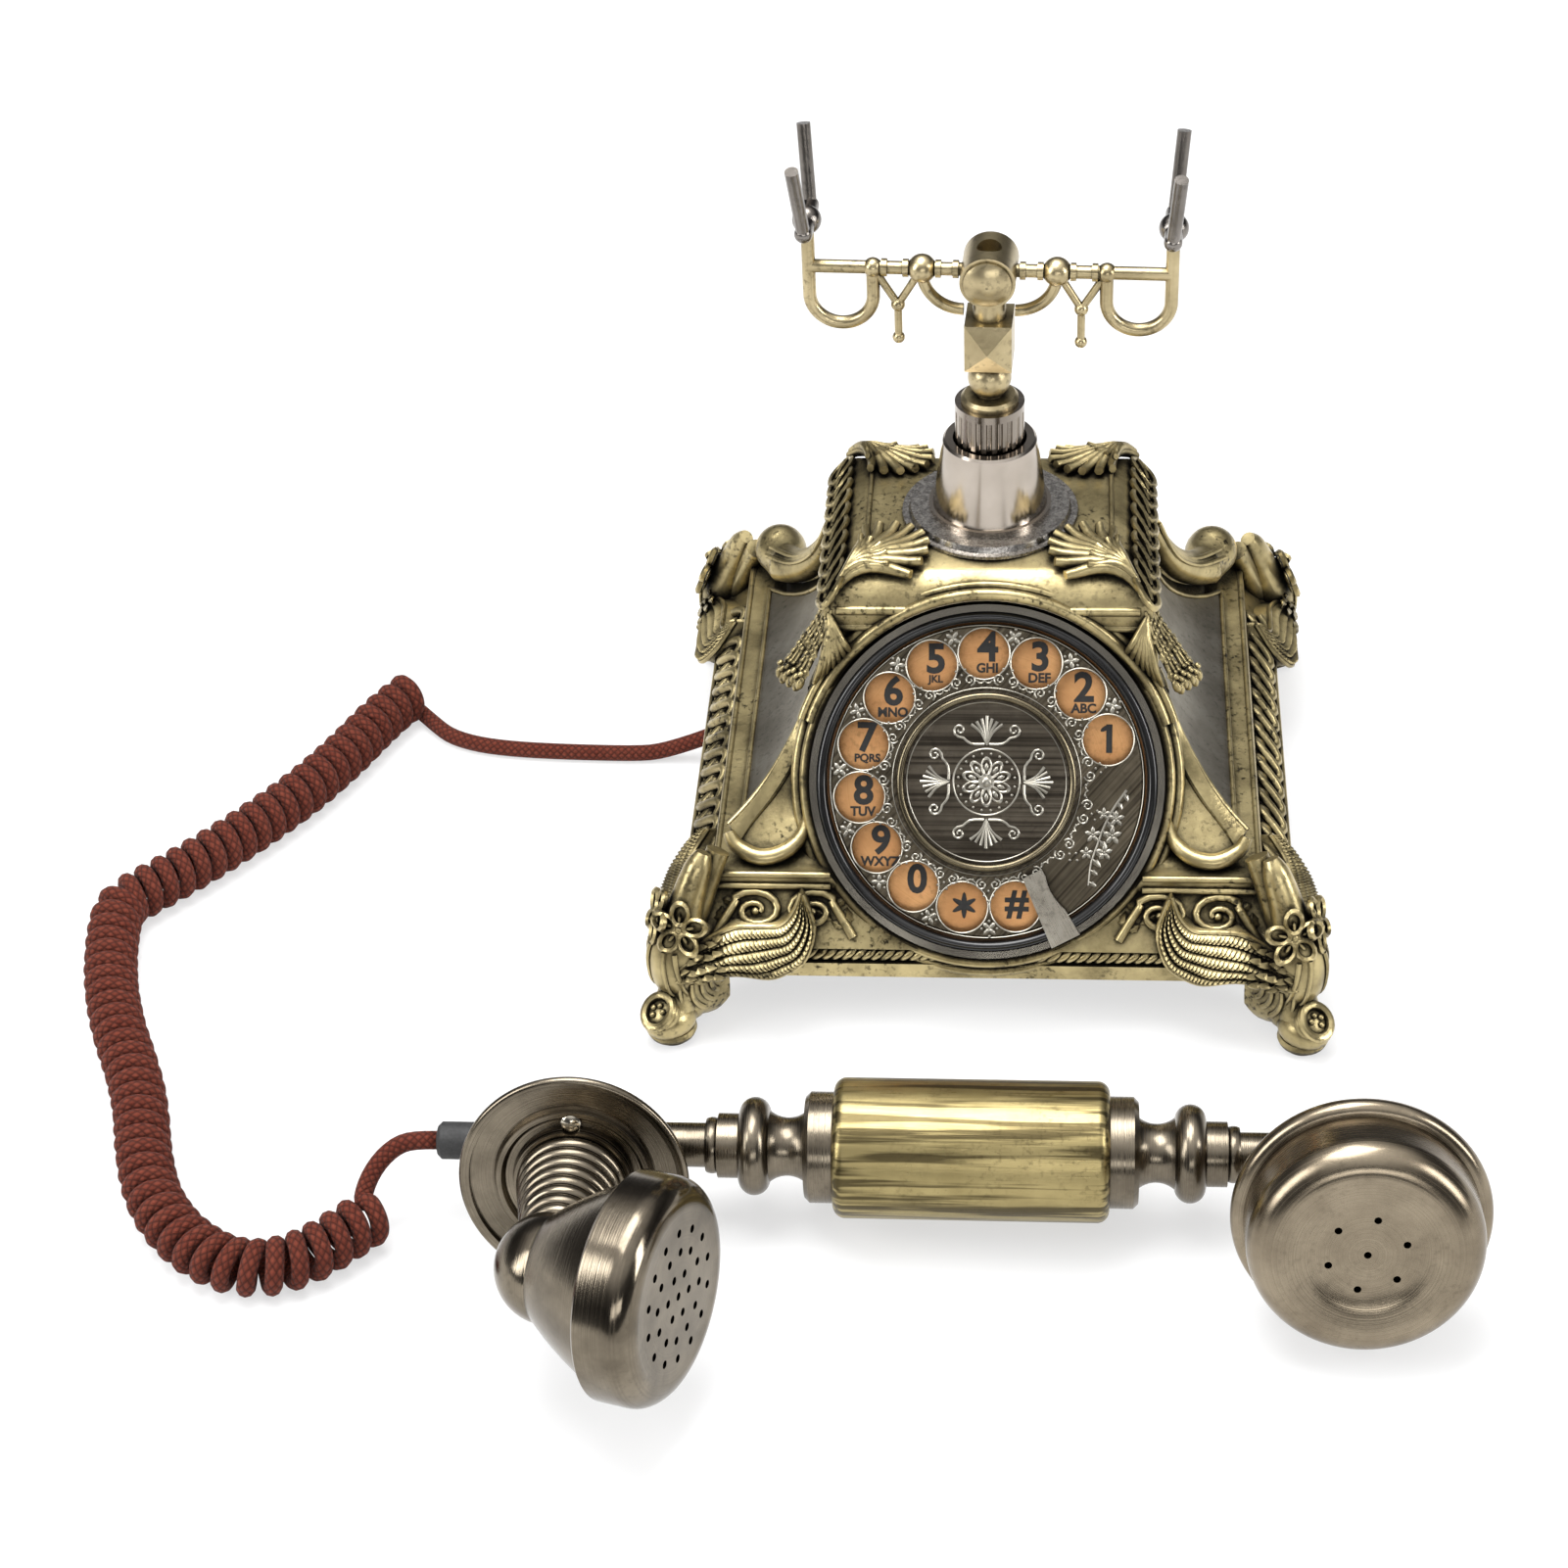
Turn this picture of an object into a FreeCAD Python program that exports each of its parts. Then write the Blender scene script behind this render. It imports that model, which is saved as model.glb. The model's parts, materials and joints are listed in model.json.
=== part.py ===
import FreeCAD, Part
import math
import os
from FreeCAD import Placement, Rotation, Vector

# Ornate desk telephone with a rotary dial, millimetres, +Z up, front towards -Y.
# The handset lies on the table in front of the base, as it does when it is off the hook.

# Places on the table
BASE_AT = Vector(6.5, 75.533, 0.0)
HANDSET_AT = Vector(4.5, -74.367, 0.0)
HANDSET_TILT = 15.5

# Base casting: half widths and heights of the plinth, ledge, concave roof and cornice
PLINTH_Z = 17.5
PLINTH_HALF = 81.0
STRIP_H = 4.5
ROPE_H = 5.0
ROPE_INSET = 1.6
FRIEZE_H = 12.4
FRIEZE_LEAN = 11.6
LEDGE_H = 4.6
LEDGE_OUT = 1.6
EAVE_INSET = 4.4
UPPER_HALF_X = 43.0
UPPER_HALF_Y = 34.5
ROOF_TOP_Z = 84.0
CORNICE_Z = 99.0
CORNICE_OUT = 2.0
CORNICE_H = 5.0
TOP_Z = 113.0
CROWN_INSET = 13.0
WALL = 4.0
BOSS_R = 4.5
BOSS_INSET = 13.0
TIP_X = 68.5
TIP_Y = 66.0
TIP_Z = 54.5
TIP_R = 6.2
RIDGE_R = 2.2

# Legs, feet and bottom plate
LEG_OUT = 1.0
LEG_AT = PLINTH_HALF + LEG_OUT
LEG_R = 8.0
WING_REACH = 36.0
WING_T = 5.0
PAD_R = 4.6
PAD_H = 2.5
PLATE_T = 2.0
PLATE_GAP = 0.15
SCREW_R = 1.5
SCREW_HEAD_R = 3.0
SCREW_HEAD_H = 1.8
SCREW_L = 12.0

# Dial
DIAL_Y = -58.0
DIAL_Z = 65.0
DIAL_TILT = 35.0
WHEEL_R = 41.0
WHEEL_T = 1.8
HOLE_COUNT = 12
HOLE_R = 6.5
HOLE_CIRCLE_R = 33.25
HOLE_FIRST = 19.6
HOLE_STEP = 24.0
MEDAL_R = 23.5
MEDAL_T = 1.2
SEAL_W = 2.6
RIM_GAP = 0.6
BEZEL_WALL = 1.8
BEZEL_FLOOR = 1.8
BEZEL_PROUD = 0.8
PLATE_DROP = 3.4
NUMBER_T = 0.8
HOUSING_OUT = 1.6
HOUSING_LIP = 9.0
SHAFT_R = 3.0
SHAFT_GAP = 0.05
SHAFT_HOLE_R = 7.5
STOP_ANGLE = 297.0
STOP_INNER_R = 26.5
STOP_W = 6.0
STOP_T = 1.2
STOP_LIFT = 1.8
FRAME_T = 1.5
FRAME_DROP = 6.0
POST_R = 2.5
POST_CIRCLE_R = 30.0
GEAR_MODULE = 0.7
GEAR_TEETH = 60
PINION_TEETH = 12
GEAR_T = 2.0
GOVERNOR_PIN_R = 1.5
GOVERNOR_DRUM_R = 7.0
GOVERNOR_DRUM_L = 6.0

# Stem, hook plunger and cradle
STEM_Y = -3.5
DISC_R = 23.0
DISC_T = 2.4
CUP_FOOT_R = 15.0
CUP_RIM_R = 12.2
CUP_H = 20.6
COLUMN_R = 9.0
COLUMN_GAP = 0.6
COLUMN_TOP_Z = 147.0
COLUMN_L = 50.0
FLUTE_COUNT = 20
FLUTE_R = 0.8
WASHER_R = 7.4
WASHER_T = 2.0
BALL_R = 5.6
BLOCK_HALF = 6.0
BLOCK_H = 13.2
PYRAMID_H = 3.4
HUB_R = 7.0
HUB_HALF = 7.0
HUB_CAP_H = 2.6
HUB_LIFT = 13.0
ROD_R = 3.0
ROD_L = 46.0
SPRING_WIRE = 1.2
SPRING_R = 5.2
SPRING_TURNS = 7
TOWER_HALF = 7.0
CRADLE_TURN = -3.0
BAR_R = 1.7
ARM_REACH = 45.5
SMALL_BALL_X = 29.3
SMALL_BALL_R = 2.5
LARGE_BALL_X = 16.9
LARGE_BALL_R = 3.7
LOOP_DROP = 8.0
STRUT_R = 1.0
FINIAL_DROP = 21.0
FORK_LIFT = 13.0
YOKE_HALF = 7.4
YOKE_R = 2.3
KNOB_R = 3.7
PRONG_R = 1.75
PRONG_LEAN_Y = 5.4
PRONG_LEAN_X = 1.6
PRONG_H = 20.0

# Handset, along its own X axis, with both mouths facing its own -Y
TUBE_R = 5.5
TUBE_BORE = 4.2
GRIP_R = 17.3
GRIP_HALF = 33.8
GRIP_ROUND = 3.0
FIT = 0.05
COLLAR_RING_R = 13.7
COLLAR_RING_W = 7.0
NECK_R = 7.8
BEAD_R = 12.1
BEAD_AT = 53.4
BEAD_W = 7.6
END_RING_R = 8.0
END_RING_W = 5.2
BEADLET_R = 1.5
EAR_X = 92.6
EAR_R = 30.8
EAR_DEPTH = 31.0
EAR_CAP_R = 27.8
EAR_CAP_H = 17.0
EAR_PLATE_R = 13.4
EAR_HOLE_R = 0.9
EAR_HOLE_CIRCLE_R = 9.4
KNUCKLE_R = 13.4
SHELL_T = 2.4
MOUTH_X = -96.0
MOUTH_R = 28.2
MOUTH_DEPTH = 20.0
MOUTH_RIM = 2.6
MOUTH_SCREW_R = 0.9
MOUTH_HEAD_R = 2.4
NECK_RINGS = 8
NECK_FOOT_R = 13.6
NECK_TIP_R = 9.2
NECK_STEP = 3.4
NECK_BORE = 5.0
HORN_OUT = 60.0
HORN_TURN = 20.0
HORN_END_R = 13.2
HORN_L = 19.0
HORN_MOUTH_R = 24.6
HORN_CAP_R = 27.0
HORN_CAP_RING = 8.0
HORN_CAP_DOME = 6.0
HORN_HOLE_R = 1.0
RELIEF_R = 4.7
RELIEF_L = 25.0
CAPSULE_H = 6.0

# Cord: one cloth covered wire, curled along the middle of its length
CORD_R = 1.75
COIL_R = 4.4
COIL_PITCH = 4.9
JACK_AT = Vector(-50.0, 34.0, 0.0)
JACK_SIZE = Vector(15.0, 13.0, 9.5)
PLUG_SIZE = Vector(12.0, 9.0, 6.0)
CORD_GAP = 0.3
LEAD_GAP = 0.1


def lathe(first, *steps):
    """Solid of revolution about Z of an (r, z) outline; a step of four numbers is an arc."""
    edges = []
    here = Vector(first[0], 0, first[1])
    for step in list(steps) + [first]:
        end = Vector(step[-2], 0, step[-1])
        if len(step) == 4:
            edges.append(Part.Arc(here, Vector(step[0], 0, step[1]), end).toShape())
        elif (end - here).Length > 1e-6:
            edges.append(Part.LineSegment(here, end).toShape())
        here = end
    return Part.Face(Part.Wire(edges)).revolve(Vector(0, 0, 0), Vector(0, 0, 1), 360)


def dome(radius, low, high):
    """Last step of a lathe outline: a round top that meets the axis square."""
    rise = high - low
    round_r = (radius ** 2 + rise ** 2) / (2 * rise)
    half = math.asin(min(radius / round_r, 1.0)) / 2
    return (round_r * math.sin(half), high - round_r * (1 - math.cos(half)), 0, high)


def cylinder(radius, start, end):
    run = end - start
    return Part.makeCylinder(radius, run.Length, start, run)


def ring(outer, inner, low, high):
    hole = Part.makeCylinder(inner, high - low + 2, Vector(0, 0, low - 1))
    return Part.makeCylinder(outer, high - low, Vector(0, 0, low)).cut(hole)


def ball(radius, at):
    return Part.makeSphere(radius, at)


def block(low, high):
    size = high - low
    return Part.makeBox(size.x, size.y, size.z, low)


def turned(shape, at, rotation):
    shape = shape.copy()
    shape.Placement = Placement(at, rotation).multiply(shape.Placement)
    return shape


def polar(radius, degrees, z=0.0):
    angle = math.radians(degrees)
    return Vector(radius * math.cos(angle), radius * math.sin(angle), z)


def fused(*shapes):
    return shapes[0].multiFuse(list(shapes[1:])).removeSplitter()


def bent_tube(radius, points):
    """Round tube along straight runs that are joined by tangent arcs as large as the runs allow."""
    edges, radii = [], []
    here = points[0]
    for before, corner, after in zip(points, points[1:], points[2:]):
        back = before - corner
        ahead = after - corner
        reach = 0.45 * min(back.Length, ahead.Length)
        back.normalize()
        ahead.normalize()
        half_turn = (math.pi - back.getAngle(ahead)) / 2
        radii.append(reach / math.tan(half_turn))
        middle = back + ahead
        middle.normalize()
        arc_start = corner + back * reach
        arc_end = corner + ahead * reach
        crown = corner + middle * radii[-1] * (1 / math.cos(half_turn) - 1)
        edges.append(Part.LineSegment(here, arc_start).toShape())
        edges.append(Part.Arc(arc_start, crown, arc_end).toShape())
        here = arc_end
    edges.append(Part.LineSegment(here, points[-1]).toShape())
    path = Part.Wire(edges)
    section = Part.Wire(Part.makeCircle(radius, points[0], points[1] - points[0]))
    tube = path.makePipeShell([section], True, False)
    return tube, path.Length, radii


def arc_from(start, heading, end):
    """Arc edge that leaves start along heading and passes through end."""
    chord = end - start
    along = Vector(chord).normalize()
    side = heading - along * heading.dot(along)
    if side.Length < 1e-7:
        return Part.LineSegment(start, end).toShape()
    bend = math.atan2(side.Length, heading.dot(along))
    side.normalize()
    crown = (start + end) * 0.5 + side * (chord.Length / 2 * math.tan(bend / 2))
    return Part.Arc(start, crown, end).toShape()


def biarc(start, leave, end, arrive):
    """Two tangent arcs from one point and heading to another."""
    span = end - start
    both = leave + arrive
    spread = 2 * (1 - leave.dot(arrive))
    reach = span.dot(span) / (2 * span.dot(both))
    if spread > 1e-9:
        reach = (math.sqrt(span.dot(both) ** 2 + spread * span.dot(span)) - span.dot(both)) / spread
    joint = (start + end + (leave - arrive) * reach) * 0.5
    second = arc_from(end, arrive * -1, joint)
    return [arc_from(start, leave, joint), second]


def wound_tube(radius, places, headings, straight):
    """One unbroken tube through quarter turn places, with a straight end at each side."""
    edges = []
    first = places[0] - headings[0] * straight
    last = places[-1] + headings[-1] * straight
    edges.append(Part.LineSegment(first, places[0]).toShape())
    for start, leave, end, arrive in zip(places, headings, places[1:], headings[1:]):
        edges.extend(biarc(start, leave, end, arrive))
    edges.append(Part.LineSegment(places[-1], last).toShape())
    path = Part.Wire(Part.__sortEdges__(edges))
    section = Part.Wire(Part.makeCircle(radius, first, headings[0]))
    return path.makePipeShell([section], True, False), path, first, last


def least_gap(path, radius, turn_length):
    """Least free space between neighbouring turns, measured on points along the path."""
    count = int(path.Length / (turn_length / 24))
    points = path.discretize(Number=count)
    skip = 12
    near = min((points[i] - points[j]).Length
               for i in range(count) for j in range(i + skip, min(i + 60, count)))
    return near - 2 * radius


def lofted(stations):
    """Smooth solid through round sections given as (place, radius), listed from low to high."""
    places = [place for place, radius in stations]
    sections = []
    for index, (place, radius) in enumerate(stations):
        before = places[max(index - 1, 0)]
        after = places[min(index + 1, len(places) - 1)]
        circle = Part.Wire(Part.makeCircle(radius))
        sections.append(turned(circle, place, Rotation(Vector(0, 0, 1), after - before)))
    return Part.makeLoft(sections, True)


def in_corner(shape, sx, sy):
    """Copy of a shape made in the rear right corner, mirrored into another corner."""
    if sx < 0:
        shape = shape.mirror(Vector(0, 0, 0), Vector(1, 0, 0))
    if sy < 0:
        shape = shape.mirror(Vector(0, 0, 0), Vector(0, 1, 0))
    return shape


def outline_edges(first, steps):
    edges = []
    here = Vector(first[0], 0, first[1])
    for step in steps:
        end = Vector(step[-2], 0, step[-1])
        if len(step) == 4:
            edges.append(Part.Arc(here, Vector(step[0], 0, step[1]), end).toShape())
        else:
            edges.append(Part.LineSegment(here, end).toShape())
        here = end
    return edges


def mirrored_prism(first, steps, reach):
    """Bar along Y whose section is an outline of (half width, height) and its mirror image."""
    edges = outline_edges(first, steps)
    edges += [edge.mirror(Vector(0, 0, 0), Vector(1, 0, 0)) for edge in edges]
    face = Part.Face(Part.Wire(Part.__sortEdges__(edges)))
    face.translate(Vector(0, -reach, 0))
    return face.extrude(Vector(0, 2 * reach, 0))


# Heights that follow from the plinth
ROPE_Z = PLINTH_Z + STRIP_H
FRIEZE_Z = ROPE_Z + ROPE_H
LEDGE_Z = FRIEZE_Z + FRIEZE_H
ROOF_Z = LEDGE_Z + LEDGE_H
FRIEZE_TOP_HALF = PLINTH_HALF - FRIEZE_LEAN
EAVE_HALF = FRIEZE_TOP_HALF + LEDGE_OUT - EAVE_INSET


def outer_steps(upper_half):
    roof_rise = ROOF_TOP_Z - ROOF_Z
    roof_run = EAVE_HALF - upper_half
    crown_half = upper_half - CROWN_INSET
    crown_rise = TOP_Z - CORNICE_Z - CORNICE_H
    return [
        (PLINTH_HALF, PLINTH_Z),
        (PLINTH_HALF, ROPE_Z),
        (PLINTH_HALF - ROPE_INSET, ROPE_Z),
        (PLINTH_HALF - ROPE_INSET, FRIEZE_Z),
        (PLINTH_HALF, FRIEZE_Z),
        (FRIEZE_TOP_HALF, LEDGE_Z),
        (FRIEZE_TOP_HALF + LEDGE_OUT, LEDGE_Z),
        (FRIEZE_TOP_HALF + LEDGE_OUT, ROOF_Z),
        (EAVE_HALF, ROOF_Z),
        (upper_half + 0.36 * roof_run, ROOF_Z + 0.30 * roof_rise, upper_half, ROOF_TOP_Z),
        (upper_half, CORNICE_Z),
        (upper_half + CORNICE_OUT, CORNICE_Z),
        (upper_half + CORNICE_OUT, CORNICE_Z + CORNICE_H),
        (upper_half - 0.3 * CROWN_INSET, TOP_Z - 0.3 * crown_rise, crown_half, TOP_Z),
        (0, TOP_Z),
    ]


def inner_steps(upper_half):
    roof_rise = ROOF_TOP_Z - ROOF_Z
    roof_run = EAVE_HALF - upper_half
    inner_half = upper_half - WALL
    return [
        (PLINTH_HALF - WALL, PLINTH_Z),
        (PLINTH_HALF - WALL, FRIEZE_Z),
        (FRIEZE_TOP_HALF - WALL, LEDGE_Z),
        (EAVE_HALF - WALL, ROOF_Z - 1),
        (inner_half + 0.36 * roof_run, ROOF_Z + 0.30 * roof_rise - 1, inner_half, ROOF_TOP_Z),
        (inner_half, CORNICE_Z),
        (inner_half - WALL, CORNICE_Z + CORNICE_H),
        (0, CORNICE_Z + CORNICE_H),
    ]


def four_sided(steps_of, first):
    """Body whose front view and side view are the two mirrored outlines."""
    along_y = mirrored_prism(first, steps_of(UPPER_HALF_X), 2 * PLINTH_HALF)
    along_x = mirrored_prism(first, steps_of(UPPER_HALF_Y), 2 * PLINTH_HALF)
    return along_y.common(turned(along_x, Vector(), Rotation(Vector(0, 0, 1), 90)))


CORNERS = [(-1, -1), (1, -1), (-1, 1), (1, 1)]
CORNER_NAMES = ["front_left", "front_right", "rear_left", "rear_right"]
BOSS_AT = PLINTH_HALF - WALL - BOSS_INSET
BOSS_LOW_Z = PLINTH_Z + PLATE_T

# The dial is made lying flat, with its face at z = 0, and then placed on the front slope
DIAL_PLACE = Rotation(Vector(1, 0, 0), 90 - DIAL_TILT)
DIAL_AT = Vector(0, DIAL_Y, DIAL_Z)
SEAL_IN_R = WHEEL_R + RIM_GAP
BEZEL_IN_R = SEAL_IN_R + SEAL_W
BEZEL_R = BEZEL_IN_R + BEZEL_WALL
NUMBER_Z = -PLATE_DROP - NUMBER_T
BEZEL_BACK_Z = NUMBER_Z - BEZEL_FLOOR
HOUSING_R = BEZEL_R + HOUSING_OUT
HOUSING_BORE_R = BEZEL_R - HOUSING_LIP


def on_dial(shape):
    return turned(shape, DIAL_AT, DIAL_PLACE)


def hip_ridge():
    """Flared rib along a hip, ending in an upturned round tip that stands clear of the ledge."""
    top = Vector(UPPER_HALF_X, UPPER_HALF_Y, ROOF_TOP_Z)
    tip = Vector(TIP_X, TIP_Y, TIP_Z)
    run = tip - top
    stations = []
    for share, fall, radius in [(1.0, 1.0, TIP_R), (0.76, 1.0, 0.95 * TIP_R),
                                (0.48, 0.86, 0.65 * TIP_R + 0.35 * RIDGE_R),
                                (0.22, 0.52, 0.35 * TIP_R + 0.65 * RIDGE_R), (0.0, 0.0, RIDGE_R)]:
        place = Vector(top.x + share * run.x, top.y + share * run.y, top.z + fall * run.z)
        stations.append((place, radius))
    return fused(lofted(stations), ball(TIP_R * 1.01, tip))


def base_casting():
    outer = four_sided(outer_steps, (0, PLINTH_Z))
    depth = 1.0 * HOUSING_R
    housing = on_dial(Part.makeCylinder(HOUSING_R, depth, Vector(0, 0, BEZEL_BACK_Z - depth)))
    above = block(Vector(-HOUSING_R, -3 * PLINTH_HALF, ROPE_Z),
                  Vector(HOUSING_R, 0, TOP_Z))
    outer = fused(outer, housing.common(above))
    for sx, sy in CORNERS:
        outer = outer.fuse(in_corner(hip_ridge(), sx, sy))
    front = on_dial(Part.makeCylinder(HOUSING_R, HOUSING_R, Vector(0, 0, BEZEL_BACK_Z)))
    outer = outer.cut(front)
    inner = four_sided(inner_steps, (0, PLINTH_Z))
    bore_l = 0.7 * HOUSING_R
    bore = on_dial(Part.makeCylinder(HOUSING_BORE_R, bore_l + 1, Vector(0, 0, BEZEL_BACK_Z - bore_l)))
    floor_cut = block(Vector(-HOUSING_R, -3 * PLINTH_HALF, FRIEZE_Z + WALL),
                      Vector(HOUSING_R, 0, TOP_Z))
    shell = outer.cut(inner).cut(bore.common(floor_cut))
    stem_hole = Part.makeCylinder(COLUMN_R + COLUMN_GAP, TOP_Z, Vector(0, STEM_Y, CORNICE_Z))
    shell = shell.cut(stem_hole)
    for sx, sy in CORNERS:
        at = Vector(sx * BOSS_AT, sy * BOSS_AT, BOSS_LOW_Z)
        boss = Part.makeCylinder(BOSS_R, TOP_Z - BOSS_LOW_Z, at).common(outer)
        hole = Part.makeCylinder(SCREW_R + FIT, SCREW_L + 1, at)
        shell = shell.fuse(boss).cut(hole)
    window = line_socket_block(PLATE_GAP, WALL)
    return outer, shell.cut(window)


LINE_SIZE = Vector(16.0, 14.0, 11.0)
LINE_X = 28.0
LINE_Z = PLINTH_Z + PLATE_T
SOCKET_W = 9.6
SOCKET_H = 6.6


def line_socket_block(grow, out):
    """Body of the rear wall socket, which stands on the bottom plate in a window of the rear wall."""
    half = LINE_SIZE.x / 2 + grow
    rear = PLINTH_HALF - ROPE_INSET + out
    low = Vector(LINE_X - half, PLINTH_HALF - ROPE_INSET - LINE_SIZE.y, LINE_Z)
    return block(low, Vector(LINE_X + half, rear, LINE_Z + LINE_SIZE.z + grow))


def leg(casting):
    """Winged scroll leg on the rear right corner: bulging chest, narrow ankle, turned-out foot."""
    at = LEG_AT
    stations = [
        (Vector(at + 1.5, at + 5, 0.02 * PLINTH_Z), 0.6 * LEG_R),
        (Vector(at + 1, at + 3.5, 0.2 * PLINTH_Z), 0.72 * LEG_R),
        (Vector(at - 1.5, at, 0.5 * PLINTH_Z), 0.7 * LEG_R),
        (Vector(at - 3, at - 2.5, PLINTH_Z - 0.5), 0.72 * LEG_R),
        (Vector(at - 0.5, at - 0.5, FRIEZE_Z + 1), 1.02 * LEG_R),
        (Vector(at - 2.5, at - 2.5, LEDGE_Z - 1), LEG_R),
        (Vector(at - 9, at - 9, ROOF_Z - 1), 0.62 * LEG_R),
    ]
    wing = wing_plate()
    rear = turned(wing, Vector(at, PLINTH_HALF - 1.4 * WING_T, 0), Rotation())
    side = turned(wing, Vector(PLINTH_HALF + WING_T, at, 0), Rotation(Vector(0, 0, 1), 90))
    solid = fused(lofted(stations), rear, side).cut(casting)
    floor = block(Vector(-3 * at, -3 * at, -PLINTH_Z), Vector(3 * at, 3 * at, PAD_H))
    solid = solid.cut(floor)
    return max(solid.Solids, key=lambda piece: piece.Volume)


def wing_plate():
    """Wing outline from the leg, at x = 0, to its tip, as a plate that stands off the plinth wall."""
    tip = -WING_REACH
    low = PLINTH_Z + 1
    high = LEDGE_Z - 3
    steps = [
        (0.45 * tip, high + 0.5, 0.8 * tip, 0.74 * high + 0.26 * low),
        (1.02 * tip, 0.57 * high + 0.43 * low, tip, 0.5 * (low + high)),
        (0.9 * tip, low + 2, 0.6 * tip, low),
        (0.3 * tip, low + 0.5, 0, low + 2),
        (0, high),
    ]
    face = Part.Face(Part.Wire(outline_edges((0, high), steps)))
    return face.extrude(Vector(0, 2.4 * WING_T, 0))


def rubber_feet():
    places = [Vector(sx * (LEG_AT + 1), sy * (LEG_AT + 3.5), 0) for sx, sy in CORNERS]
    return Part.makeCompound([Part.makeCylinder(PAD_R, PAD_H, at) for at in places])


def bottom_plate():
    half = PLINTH_HALF - WALL - PLATE_GAP
    plate = block(Vector(-half, -half, PLINTH_Z), Vector(half, half, PLINTH_Z + PLATE_T))
    for sx, sy in CORNERS:
        at = Vector(sx * BOSS_AT, sy * BOSS_AT, PLINTH_Z - 1)
        plate = plate.cut(Part.makeCylinder(SCREW_R + FIT, PLATE_T + 2, at))
    return plate


def bottom_screws():
    screws = []
    for sx, sy in CORNERS:
        at = Vector(sx * BOSS_AT, sy * BOSS_AT, PLINTH_Z)
        shank = Part.makeCylinder(SCREW_R, PLATE_T + SCREW_L, at)
        head = lathe((0, 0), (SCREW_HEAD_R, 0), (0.8 * SCREW_HEAD_R, -0.8 * SCREW_HEAD_H,
                                                0.4 * SCREW_HEAD_R, -SCREW_HEAD_H), (0, -SCREW_HEAD_H))
        head.translate(at)
        screws.append(fused(shank, head))
    return Part.makeCompound(screws)


# Dial pieces, lying flat

def dial_bezel():
    cup = ring(BEZEL_R, BEZEL_IN_R, BEZEL_BACK_Z, BEZEL_PROUD)
    floor = ring(BEZEL_R, SHAFT_HOLE_R, BEZEL_BACK_Z, NUMBER_Z)
    return fused(cup, floor)


def dial_seal():
    return lathe((SEAL_IN_R, NUMBER_Z), (BEZEL_IN_R, NUMBER_Z), (BEZEL_IN_R, 0),
                 (SEAL_IN_R + SEAL_W / 2, 0.5 * SEAL_W, SEAL_IN_R, 0))


def number_plate():
    return ring(SEAL_IN_R - 0.1, SHAFT_HOLE_R, NUMBER_Z, NUMBER_Z + NUMBER_T)


def finger_wheel():
    wheel = lathe((0, -WHEEL_T), (WHEEL_R, -WHEEL_T), (WHEEL_R, -0.4 * WHEEL_T), (WHEEL_R - 1, 0), (0, 0))
    for k in range(HOLE_COUNT):
        at = polar(HOLE_CIRCLE_R, HOLE_FIRST + k * HOLE_STEP, -WHEEL_T - 1)
        wheel = wheel.cut(Part.makeCylinder(HOLE_R, WHEEL_T + 2, at))
    return wheel


def dial_medallion():
    lip = 1.4
    return lathe((0, 0), (MEDAL_R, 0), (MEDAL_R, 0.5 * MEDAL_T), (MEDAL_R - lip / 2, MEDAL_T),
                 (MEDAL_R - lip, 0.5 * MEDAL_T), (0, 0.5 * MEDAL_T))


def finger_stop():
    """Steel blade that reaches in from the bezel over the wheel, waisted, with a foot on the bezel."""
    inner = STOP_INNER_R
    outer = BEZEL_R
    half = STOP_W / 2
    low = STOP_LIFT
    steps = [
        Vector(inner, -0.9 * half, low), Vector(outer, -1.35 * half, low),
        Vector(outer, 1.35 * half, low), Vector(inner, 0.9 * half, low), Vector(inner, -0.9 * half, low),
    ]
    blade = Part.Face(Part.makePolygon(steps)).extrude(Vector(0, 0, STOP_T))
    waist_r = 2.4 * STOP_W
    waist_at = Vector(0.45 * (inner + outer), waist_r + 0.75 * half, low - STOP_T)
    waist = Part.makeCylinder(waist_r, 3 * STOP_T, waist_at)
    blade = blade.cut(waist)
    foot = block(Vector(outer - BEZEL_WALL, -half, BEZEL_PROUD), Vector(outer, half, low))
    stop = fused(blade, foot)
    return turned(stop, Vector(), Rotation(Vector(0, 0, 1), STOP_ANGLE))


FRAME_Z = BEZEL_BACK_Z - FRAME_DROP - FRAME_T
GEAR_Z = FRAME_Z - 2.5 - GEAR_T
CAM_Z = GEAR_Z - 1.0 - GEAR_T
SHAFT_END_Z = CAM_Z - 2.0
GEAR_CENTRES = GEAR_MODULE * (GEAR_TEETH + PINION_TEETH) / 2
BUSH_R = SHAFT_R + 2.0


def dial_shaft():
    flange_z = -PLATE_DROP + 0.4
    flange = Part.makeCylinder(SHAFT_HOLE_R - 1.5, -WHEEL_T - flange_z, Vector(0, 0, flange_z))
    return fused(Part.makeCylinder(SHAFT_R, -WHEEL_T - SHAFT_END_Z, Vector(0, 0, SHAFT_END_Z)), flange)


def dial_frame():
    """Mechanism plate on three posts behind the bezel, with a fixed pin for the governor."""
    plate = ring(HOUSING_BORE_R - 1.0, BUSH_R, FRAME_Z, FRAME_Z + FRAME_T)
    posts = []
    for degrees in (90, 210, 300):
        at = polar(POST_CIRCLE_R, degrees, FRAME_Z + FRAME_T)
        posts.append(Part.makeCylinder(POST_R, FRAME_DROP, at))
    pin = Part.makeCylinder(GOVERNOR_PIN_R, FRAME_Z - SHAFT_END_Z + GOVERNOR_DRUM_L,
                            Vector(GEAR_CENTRES, 0, SHAFT_END_Z - GOVERNOR_DRUM_L))
    return fused(plate, pin, *posts)


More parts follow.
